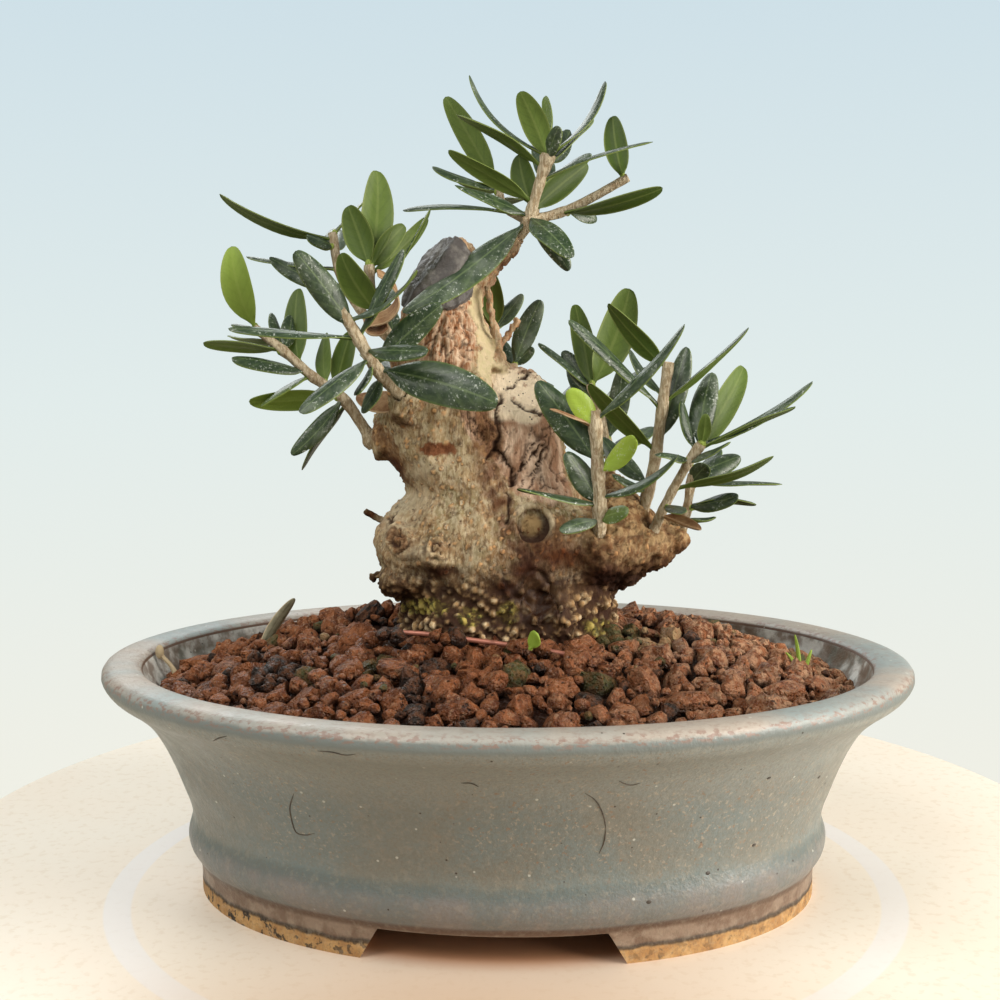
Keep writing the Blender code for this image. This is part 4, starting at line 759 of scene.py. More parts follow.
def make_glaze():
    glaze = Finish("stoneware_glaze_fine", 0.4)
    along, level = (glaze.maths("DIVIDE", glaze.part_of(glaze.place, axis), MM) for axis in "XZ")
    shake = glaze.maths("SUBTRACT", glaze.shaken(0.16, 5.0), 0.5)
    height = glaze.plus(level, glaze.times(shake, 2.0))
    brim = glaze.plus(level, glaze.times(shake, 1.2))
    inside = glaze.read("inside")

    def band(value, low, low_full, high_full, high):
        """1 between two heights, fading over a given way at each end."""
        return glaze.times(glaze.ranged(value, low, low_full), glaze.ranged(value, high, high_full))

    glaze.tone = glaze.mixed(glaze.mottle(0.35, 0.3, 0.7), CLAY, CLAY_LIGHT)
    glaze.lay(CLAY_STAIN, glaze.mottle(1.3, 0.60, 0.68), 0.5)
    glaze.lay(CLAY_STAIN, glaze.mottle(0.55, 0.53, 0.60, 6.0), glaze.ranged(along, 5.0, -50.0, 0.35, 1.0))
    foot = glaze.mixed(glaze.mottle(0.25), FOOT_GLAZE, FOOT_GLAZE_LIGHT)
    glaze.lay(foot, glaze.ranged(height, 2.7, 3.3))
    glaze.lay(CLAY_STAIN, band(height, 2.3, 2.8, 3.1, 3.8), 0.85)
    low = glaze.mixed(glaze.mottle(0.09, 0.42, 0.6, 5.0), LOW_BAND, LOW_VIOLET)
    glaze.lay(low, glaze.ranged(height, 6.4, 7.6))
    glaze.lay(CREASE, band(level, 5.6, 6.5, 7.0, 7.9), 0.8)
    wall = glaze.mixed(glaze.mottle(0.045, 0.40, 0.60, 6.0), WALL, WALL_BLUE)
    glaze.lay(wall, glaze.ranged(height, 13.2, 15.6))
    glaze.lay(GROOVE, band(height, 12.4, 13.9, 14.5, 16.2), 0.55)
    glaze.lay(UPPER_WALL, glaze.ranged(height, 27.0, 39.0))
    grain = glaze.mottle(1.9, 0.42, 0.62, 3.0)
    glaze.lay(GRAIN_BROWN, grain, 0.26)
    glaze.lay(BEIGE_SPECK, glaze.mottle(0.7, 0.5, 0.66), 0.16)

    freckled = glaze.ranged(glaze.shaken(0.022, 2.0), 0.40, 0.60, 0.25, 1.0)
    freckled = glaze.times(freckled, glaze.ranged(height, 14.0, 20.0, 0.3, 1.0))
    glazed = glaze.ranged(height, 6.0, 9.0)
    for top, per_mm, low, high, share in ((OCHRE_SPECK, 1.05, 0.63, 0.69, 0.62),
                                          (BEIGE_SPECK, 1.25, 0.60, 0.67, 0.60)):
        freckles = glaze.times(glaze.mottle(per_mm, low, high, 2.0), freckled)
        glaze.lay(top, freckles, glaze.times(glazed, share))

    glaze.lay(UNDER_LIP, band(brim, 43.2, 44.3, 45.2, 45.9))
    around = glaze.stretched((MM, MM, MM), glaze.read("around", "Vector"))
    drawn_out = glaze.stretched((0.7, 0.9, 1.5))
    lip = glaze.mixed(glaze.mottle(0.022, 0.38, 0.60, 3.0, around), LIP, LIP_BLUE)
    thin = glaze.times(glaze.mottle(1.2, 0.50, 0.64, 6.0, drawn_out), 0.35)
    glaze.lay(glaze.mixed(thin, lip, LIP_BROKEN), glaze.ranged(brim, 45.3, 46.2))
    broken = glaze.times(glaze.mottle(0.85, 0.50, 0.60, 6.0, drawn_out), band(brim, 44.4, 45.3, 46.2, 46.9))
    glaze.lay(LIP_BROKEN, broken, 0.85)

    inner = glaze.mixed(glaze.mottle(0.12), INNER_WALL, INNER_SHADE)
    inner = glaze.mixed(glaze.times(glaze.mottle(0.2, 0.42, 0.6), 0.75), inner, INNER_STAIN)
    glaze.lay(inner, inside)
    glaze.lay(LIP_EDGE, band(inside, 0.05, 0.4, 0.8, 1.0))
    glaze.lay(WHITE_SPECK, glaze.times(glaze.specks(0.30, 0.10), 0.75), glazed)
    glaze.lay(DARK_SPECK, glaze.specks(0.33, 0.085), glazed)

    sheen = glaze.ranged(glaze.shaken(0.3, 4.0), 0.3, 0.7, 0.33, 0.47)
    rough = glaze.mixed(glaze.ranged(height, 2.7, 3.4), grey(0.85), sheen)
    relief = glaze.plus(glaze.shaken(0.55, 4.0), glaze.times(glaze.shaken(0.09, 2.0), 1.5))
    return glaze.done(glaze.plus(relief, glaze.times(grain, 0.12)), 0.26, 0.6, rough)


seat_piece(pot, [make_glaze()], ["pot"], 50.0)

# %% [markdown]
# ### Hairs in the glaze
#
# A few dark hairs and round spots lie in the glaze of the front wall, as if straw had burnt into
# it. The hairs are slim tubes sunk halfway into the wall, and the spots are flattened spheres. Each
# is given by the pixels that it was read from, and these are dropped on the wall along their lines
# of sight.

# %% Glaze hairs
GLAZE_HAIR_PIXELS = [
    [(294, 793), (290, 806), (291, 817), (296, 832), (306, 835), (315, 833)],
    [(318, 751), (332, 752), (345, 755), (356, 754)],
    [(213, 741), (219, 738), (227, 736)],
    [(461, 783), (471, 783), (479, 787)],
    [(585, 793), (593, 798), (599, 805), (604, 817), (606, 829)],
    [(606, 829), (604, 842), (599, 854)],
    [(619, 781), (630, 785), (640, 783)],
]
GLAZE_HAIR_RADIUS = 0.13
GLAZE_HAIR_LIFT = 0.02
GLAZE_HAIR_STEP = 0.6
GLAZE_SPOT_PIXELS = [(649, 902), (754, 845), (819, 777), (769, 778), (708, 873)]
GLAZE_SPOT_RADIUS = 0.5
GLAZE_SPOT_FLATNESS = (1.0, 0.7, 0.22, 1.0)
BURNT_TONES = ((0.05, 0.04, 0.032), (0.10, 0.08, 0.06))


def surface_of(mesh):
    """A mesh as a surface in millimetres that lines of sight can hit."""
    bm = bmesh.new()
    bm.from_mesh(mesh)
    bmesh.ops.scale(bm, vec=(1 / MM, 1 / MM, 1 / MM), verts=bm.verts)
    tree = BVHTree.FromBMesh(bm)
    bm.free()
    return tree


def tube_along(bm, route, radius_at, segments):
    """Rings along a route, turned with it as little as possible, bridged and closed.
    radius_at gives a radius for each share of the way and each angle round the tube.
    What comes back are the faces that close the far end."""
    ahead = (route[1] - route[0]).normalized()
    frame_turn = ahead.to_track_quat("Z", "Y").to_matrix()
    loops = []
    for index, place in enumerate(route):
        before = route[max(0, index - 1)]
        after = route[min(len(route) - 1, index + 1)]
        towards = (after - before).normalized()
        frame_turn = ahead.rotation_difference(towards).to_matrix() @ frame_turn
        ahead = towards
        share = index / (len(route) - 1)
        made = bmesh.ops.create_circle(bm, cap_ends=False, radius=1.0, segments=segments)["verts"]
        for vert in made:
            angle = math.atan2(vert.co.y, vert.co.x)
            vert.co = place + frame_turn @ (vert.co * radius_at(share, angle))
        loops.append(edges_of(made))
    for lower, upper in zip(loops, loops[1:]):
        bmesh.ops.bridge_loops(bm, edges=lower + upper)
    bmesh.ops.edgeloop_fill(bm, edges=loops[0])
    return bmesh.ops.edgeloop_fill(bm, edges=loops[-1])["faces"]


def hair_radius(share, angle):
    """The radius of a hair: thickest halfway, and the same at each angle."""
    return GLAZE_HAIR_RADIUS * (1.0 - abs(2 * share - 1) ** 3 * 0.8)


def make_glaze_hairs(wall):
    bm = bmesh.new()
    for hair in GLAZE_HAIR_PIXELS:
        hits = [hit for hit in (on_surface(wall, pixel) for pixel in hair) if hit]
        route = smooth_route([place + normal * GLAZE_HAIR_LIFT for place, normal in hits], GLAZE_HAIR_STEP)
        tube_along(bm, route, hair_radius, 6)
    for pixel in GLAZE_SPOT_PIXELS:
        place, normal = on_surface(wall, pixel)
        spot = bmesh.ops.create_uvsphere(bm, u_segments=12, v_segments=8, radius=GLAZE_SPOT_RADIUS)["verts"]
        turn = normal.to_track_quat("Z", "Y").to_matrix().to_4x4()
        flat = Matrix.Diagonal(GLAZE_SPOT_FLATNESS)
        bmesh.ops.transform(bm, matrix=Matrix.Translation(place) @ turn @ flat, verts=spot)
    bmesh.ops.recalc_face_normals(bm, faces=bm.faces)
    return object_from(bm, "glaze_hairs")


def make_burnt():
    burnt = Finish("burnt_straw", 0.5)
    burnt.tone = burnt.mixed(burnt.mottle(0.6), *BURNT_TONES)
    return burnt.done()


pot_wall = surface_of(pot.data)
seat_piece(make_glaze_hairs(pot_wall), [make_burnt()], [])

# %% [markdown]
# ## The soil
#
# The tree grows in grains of red lava and fired clay, most of them three to eight millimetres
# across. They are loose in the real pot. Here a closed bed fills the pot up to just under its
# surface, and grains are packed on it one by one: the large ones first, then smaller ones wherever
# there is room. Each grain starts as an icosphere of 80 faces, and the largest of 320, which is few
# enough for a thousand of them. Noise and a few flat cuts make it look like crushed stone.

# %% Soil level
SOIL_MIDDLE_HEIGHT = 52.6
SOIL_SIDE_HEIGHT = 44.8
SOIL_END_HEIGHT = 39.6
SOIL_HALF_LENGTH = 74.0
SOIL_HALF_WIDTH = 56.5
SOIL_FALL_POWER = 2.6
SOIL_HEAPS = [((-37.0, 9.0), 2.6, 12.0), ((37.0, 8.0), 2.4, 12.0), ((-24.0, 6.0), 2.4, 8.0)]
SOIL_WALL_GAP = 0.6
BED_DEPTH = 2.6
BED_LEVELS = [FLOOR_HEIGHT + 0.3, 14.0, 21.0, 29.0, 35.0]
BED_RINGS = 26
BED_SEGMENTS = 120
BED_UNEVENNESS = 1.3
BED_SWINGS_PER_MM = 0.3
BRIM_REACH = 75.0


def soil_level(x, y):
    """The soil's mean height: level with the lip along the sides, lower at the pot's two ends."""
    out = math.hypot(x / SOIL_HALF_LENGTH, y / SOIL_HALF_WIDTH)
    towards_side = (y / SOIL_HALF_WIDTH) ** 2 / max(1e-6, out ** 2)
    edge = SOIL_END_HEIGHT + (SOIL_SIDE_HEIGHT - SOIL_END_HEIGHT) * towards_side
    level = edge + (SOIL_MIDDLE_HEIGHT - edge) * (1.0 - min(1.0, out) ** SOIL_FALL_POWER)
    for (heap_x, heap_y), height, reach in SOIL_HEAPS:
        level += height * math.exp(-(math.hypot(x - heap_x, y - heap_y) / reach) ** 2)
    return level


def inner_half_length(height):
    """How far the pot's inside reaches at a height."""
    reaches, heights = zip(*reversed(INNER_PROFILE), (BRIM_REACH, POT_HEIGHT))
    return float(np.interp(height, heights, reaches))


def bed_height(x, y):
    rough = BED_UNEVENNESS * noise.noise(Vector((x, y, 0.0)) * BED_SWINGS_PER_MM)
    return soil_level(x, y) - BED_DEPTH + rough


def make_bed():
    bm = bmesh.new()
    loops = [oval_loop(bm, inner_half_length(level) - SOIL_WALL_GAP, level, BED_SEGMENTS)
             for level in BED_LEVELS]
    top = inner_half_length(SOIL_END_HEIGHT - BED_DEPTH) - SOIL_WALL_GAP
    for ring in range(BED_RINGS):
        half = top - (top - OVAL_STEP - 1.5) * ring / (BED_RINGS - 1)
        loops.append(oval_loop(bm, half, bed_height, BED_SEGMENTS))
    loft(bm, loops)
    return object_from(bm, "soil_bed")


print("soil level in the middle and at the two ends:",
      [round(soil_level(x, 0.0), 1) for x in (0.0, SOIL_HALF_LENGTH, -SOIL_HALF_LENGTH)])

# %% Grains
GRAIN_SEED = 21
# Radius from and to, tries, subdivisions of the icosphere, and how deep the grain sits
GRAIN_CLASSES = [
    (3.0, 4.3, 800, 3, 0.22),
    (2.0, 3.0, 5200, 2, 0.22),
    (1.3, 2.0, 9000, 2, 0.10),
    (0.7, 1.2, 6000, 2, 0.0),
]
BIG_GRAINS_MOST = 130
GRAIN_CLOSENESS = 0.78
GRAIN_FLATNESS = (0.68, 1.0)
GRAIN_SWELL = 0.40
GRAIN_CHIPS = 6
GRAIN_CELL = 8.0
TRUNK_FOOT = (19.5, 14.5)
# The part of the tie wire that lies on the soil, and the pixels between which it is seen
WIRE_TOP = [
    (-26.0, -16.5, 51.5), (-22.0, -18.5, 54.4), (-14.0, -20.5, 54.8), (-5.0, -22.0, 54.0),
    (6.0, -23.2, 52.8), (15.0, -24.0, 51.2), (22.0, -22.0, 47.0),
]
WIRE_SEEN = [(397, 426), (468, 514), (549, 579)]
WIRE_GRAIN_STEP = 2.4
WIRE_GRAIN_RADIUS = (1.7, 2.3)
GRAIN_LIFT = (-0.9, 0.5)
GRAIN_TONES = {"red": 0.0, "dark": 1.0, "moss": 2.0, "tan": 3.0, "orange": 4.0}
# Below which chance, from 0 to 1, a grain has one of the rarer tones
GRAIN_CHANCES = [("dark", 0.045), ("moss", 0.075), ("tan", 0.10)]
# Marks on the soil that were read from the photograph: pixels from, pixels to, and tone
GRAIN_MARKS = [
    ((374, 606), (408, 643), "dark"),
    ((603, 628), (640, 652), "moss"),
    ((640, 622), (676, 652), "tan"),
    ((474, 618), (498, 637), "orange"),
    ((362, 662), (392, 690), "moss"),
    ((255, 660), (292, 690), "dark"),
    ((398, 690), (430, 724), "dark"),
]


def grain_tone(place, draw):
    """Most grains are red. Some are black, mossy or tan, and the photograph marks a few places."""
    seen_x, seen_y = photo_pixels([place])[0]
    for (left, top), (far, low), tone in GRAIN_MARKS:
        if left <= seen_x <= far and top <= seen_y <= low and place[1] < 0.0:
            return GRAIN_TONES[tone]
    chance = draw.random()
    for tone, most in GRAIN_CHANCES:
        if chance < most:
            return GRAIN_TONES[tone]
    return GRAIN_TONES["red"] + 0.4 * draw.random()


def pack_grains():
    """Places, sizes and looks of all grains, large ones first, none pressed far into another."""
    draw = random.Random(GRAIN_SEED)
    cells = {}
    grains = []
    for spot in smooth_route(WIRE_TOP, WIRE_GRAIN_STEP):
        seen_x = photo_pixels([spot])[0][0]
        if not any(left < seen_x < far for left, far in WIRE_SEEN):
            place = (spot.x, spot.y - 0.9, spot.z + draw.uniform(-0.4, 0.5))
            grains.append((place, draw.uniform(*WIRE_GRAIN_RADIUS), 2, grain_tone(place, draw)))
    for low, high, tries, level, sink in GRAIN_CLASSES:
        placed = 0
        for _ in range(tries):
            x = draw.uniform(-SOIL_HALF_LENGTH, SOIL_HALF_LENGTH)
            y = draw.uniform(-SOIL_HALF_WIDTH - 3.0, SOIL_HALF_WIDTH + 3.0)
            radius = draw.uniform(low, high)
            lift = draw.uniform(*GRAIN_LIFT)
            z = soil_level(x, y) - radius * (sink + 0.25) + lift
            limit = inner_half_length(z) - radius * 0.95 - 0.4
            outside_pot = (x / limit) ** 2 + (y / (limit - OVAL_STEP)) ** 2 > 1.0
            under_trunk = (x / TRUNK_FOOT[0]) ** 2 + (y / TRUNK_FOOT[1]) ** 2 < 1.0
            if outside_pot or under_trunk:
                continue
            home = (int(x // GRAIN_CELL), int(y // GRAIN_CELL))
            near = [grain for a in (-1, 0, 1) for b in (-1, 0, 1)
                    for grain in cells.get((home[0] + a, home[1] + b), ())]
            if any((x - gx) ** 2 + (y - gy) ** 2 + (z - gz) ** 2
                   < (GRAIN_CLOSENESS * (radius + reach)) ** 2 for gx, gy, gz, reach in near):
                continue
            cells.setdefault(home, []).append((x, y, z, radius))
            grains.append(((x, y, z), radius, level, grain_tone((x, y, z), draw)))
            placed += 1
            if level == 3 and placed >= BIG_GRAINS_MOST:
                break
        print("grains of %.1f to %.1f mm: %d" % (2 * low, 2 * high, placed))
    return grains


def step_down(height):
    """0 on the upper side of a grain and 1 low on it, where its neighbours keep the light off."""
    return min(1.0, max(0.0, (0.25 - height) / 0.75))


def add_grain(bm, layers, place, radius, level, tone, draw):
    """One chipped grain: an icosphere, swollen by noise and cut flat on some sides."""
    shift = Vector([draw.uniform(-50.0, 50.0) for _ in range(3)])
    chips = []
    for _ in range(GRAIN_CHIPS):
        side = Vector([draw.gauss(0.0, 1.0) for _ in range(3)]).normalized()
        chips.append((side, draw.uniform(0.50, 0.82)))
    flat = [draw.uniform(*GRAIN_FLATNESS) for _ in range(3)]
    angle = draw.uniform(0.0, math.tau)
    axis = Vector((draw.gauss(0, 1), draw.gauss(0, 1), draw.gauss(0, 1) + 0.1)).normalized()
    turn = Matrix.Rotation(angle, 3, axis)
    made = bmesh.ops.create_icosphere(bm, subdivisions=level, radius=1.0)["verts"]
    for vert in made:
        way = vert.co.normalized()
        swell = 1.0 + GRAIN_SWELL * noise.noise(way * 1.6 + shift) + 0.24 * noise.noise(way * 3.4 + shift)
        if level > 2:
            swell += 0.13 * noise.noise(way * 8.0 + shift)
        spot = way * swell
        for side, limit in chips:
            proud = spot.dot(side) - limit
            if proud > 0.0:
                spot -= side * proud * 0.85
        spot = turn @ (Vector(part * share for part, share in zip(spot, flat)) * radius * 1.12)
        vert.co = Vector(place) + spot
        vert[layers["tone"]] = tone
        vert[layers["low"]] = step_down(spot.z / radius)


def make_grains(name, grains, seed):
    draw = random.Random(seed)
    bm = bmesh.new()
    layers = {"tone": bm.verts.layers.float.new("tone"), "low": bm.verts.layers.float.new("low")}
    for place, radius, level, tone in grains:
        add_grain(bm, layers, place, radius, level, tone, draw)
    return object_from(bm, name)


all_grains = pack_grains()
print("grains in all:", len(all_grains))

# %% [markdown]
# ### The look of lava grit
#
# Lava grit is porous: pits between worn, rusty edges, with fine dust in the hollows. The pits and
# the low side of each grain are darkened almost to black as painted shade, and so is the whole bed
# under the grains. Near the front it is still wet, so it is darker there and shines, and towards the
# right it turns paler, as dust and painted light. The tone stored on each grain picks its colour, and
# the pits come from the shared group, at two sizes.

# %% Grit material
GRIT_RED = (0.118, 0.030, 0.008)
GRIT_LIGHT = (0.35, 0.125, 0.047)
GRIT_DUST = (0.64, 0.41, 0.25)
GRIT_PAINTED_SHADE = (0.014, 0.004, 0.002)
ODD_GRIT = {"dark": (0.030, 0.020, 0.015), "moss": (0.085, 0.085, 0.030), "tan": (0.36, 0.24, 0.12),
            "orange": (0.60, 0.17, 0.035)}
# Between which places, in mm, the grit turns paler to the right, as dust and painted light, and wet to the
# front
DUSTY_LIT_FROM_X = 0.0
DUSTY_LIT_TO_X = 52.0
WET_FROM_Y = 13.0
WET_TO_Y = -15.0


def make_grit(with_tone):
    """Grit of the loose grains, or of the bed under them, which has no tones and is darkened almost to black
    as painted shade.
    """
    grit = Finish("lava_grit_fine" if with_tone else "lava_bed", 0.7, 0.28)
    grit.tone = grit.mixed(grit.mottle(0.45, 0.38, 0.62, 6.0), GRIT_RED, GRIT_LIGHT)
    grit.lay(GRIT_DUST, grit.mottle(1.3, 0.52, 0.64, 5.0), 0.40)
    # dust and painted light: the grit is paler towards the right, where the light falls strongest
    dry = grit.ranged(grit.part_of(grit.place, "X"), DUSTY_LIT_FROM_X * MM, DUSTY_LIT_TO_X * MM, 0.0, 0.65)
    grit.lay(GRIT_DUST, grit.mottle(0.6, 0.42, 0.62, 5.0), dry)
    if with_tone:
        tone = grit.read("tone")
        grit.lay(GRIT_LIGHT, grit.ranged(tone, 0.0, 0.4), 0.4)
        for label, shade in ODD_GRIT.items():
            here = grit.maths("COMPARE", tone, GRAIN_TONES[label], 0.5)
            grit.lay(grit.mixed(grit.mottle(0.7), shade, grit.mixed(0.35, shade, GRIT_LIGHT)), here)
    level = grit.plus(grit.times(grit.pits(0.75, 0.55), 0.6), grit.times(grit.pits(2.1, 0.6), 0.4))
    # painted shade: the bottoms of the pits are darkened almost to black
    grit.lay(GRIT_PAINTED_SHADE, grit.ranged(level, 0.52, 0.22), 0.85)
    # painted shade: the low side of each grain, where its neighbours keep the light off, and the whole of the
    # bed
    grit.lay(GRIT_PAINTED_SHADE, grit.times(grit.read("low"), 0.93) if with_tone else 0.88)
    depth = grit.maths("DIVIDE", grit.part_of(grit.place, "Y"), MM)
    damp = grit.plus(depth, grit.times(grit.shaken(0.06), 14.0))
    wet = grit.ranged(damp, WET_FROM_Y, WET_TO_Y)
    grit.lay(GRIT_RED, wet, 0.30, "MULTIPLY")
    shine = grit.mixed(wet, grey(0.75), grit.ranged(grit.shaken(0.8), 0.3, 0.7, 0.16, 0.50))
    relief = grit.plus(level, grit.times(grit.shaken(1.6, 5.0, 0.65), 0.9))
    return grit.done(relief, 0.8, 1.0, shine)


# Each half of the grains with the seed of its shapes
GRAIN_HALVES = [
    ("soil_grains_front", [grain for grain in all_grains if grain[0][1] < 0.0], 31),
    ("soil_grains_back", [grain for grain in all_grains if grain[0][1] >= 0.0], 32),
]

grit = make_grit(True)
seat_piece(make_bed(), [make_grit(False)], ["soil"])
for half_name, half_grains, seed in GRAIN_HALVES:
    seat_piece(make_grains(half_name, half_grains, seed), [grit], ["soil"], 40.0)

# %% [markdown]
# ## Leafy stems
#
# The tree bears fourteen leafy stems. For each of them the table has first its twigs, as paths
# with a radius at the foot and at the end, and then its leaves: the twig that a leaf stands on, how
# far along it, the leaf's tip, its width, the way that its upper side looks, and its arch.

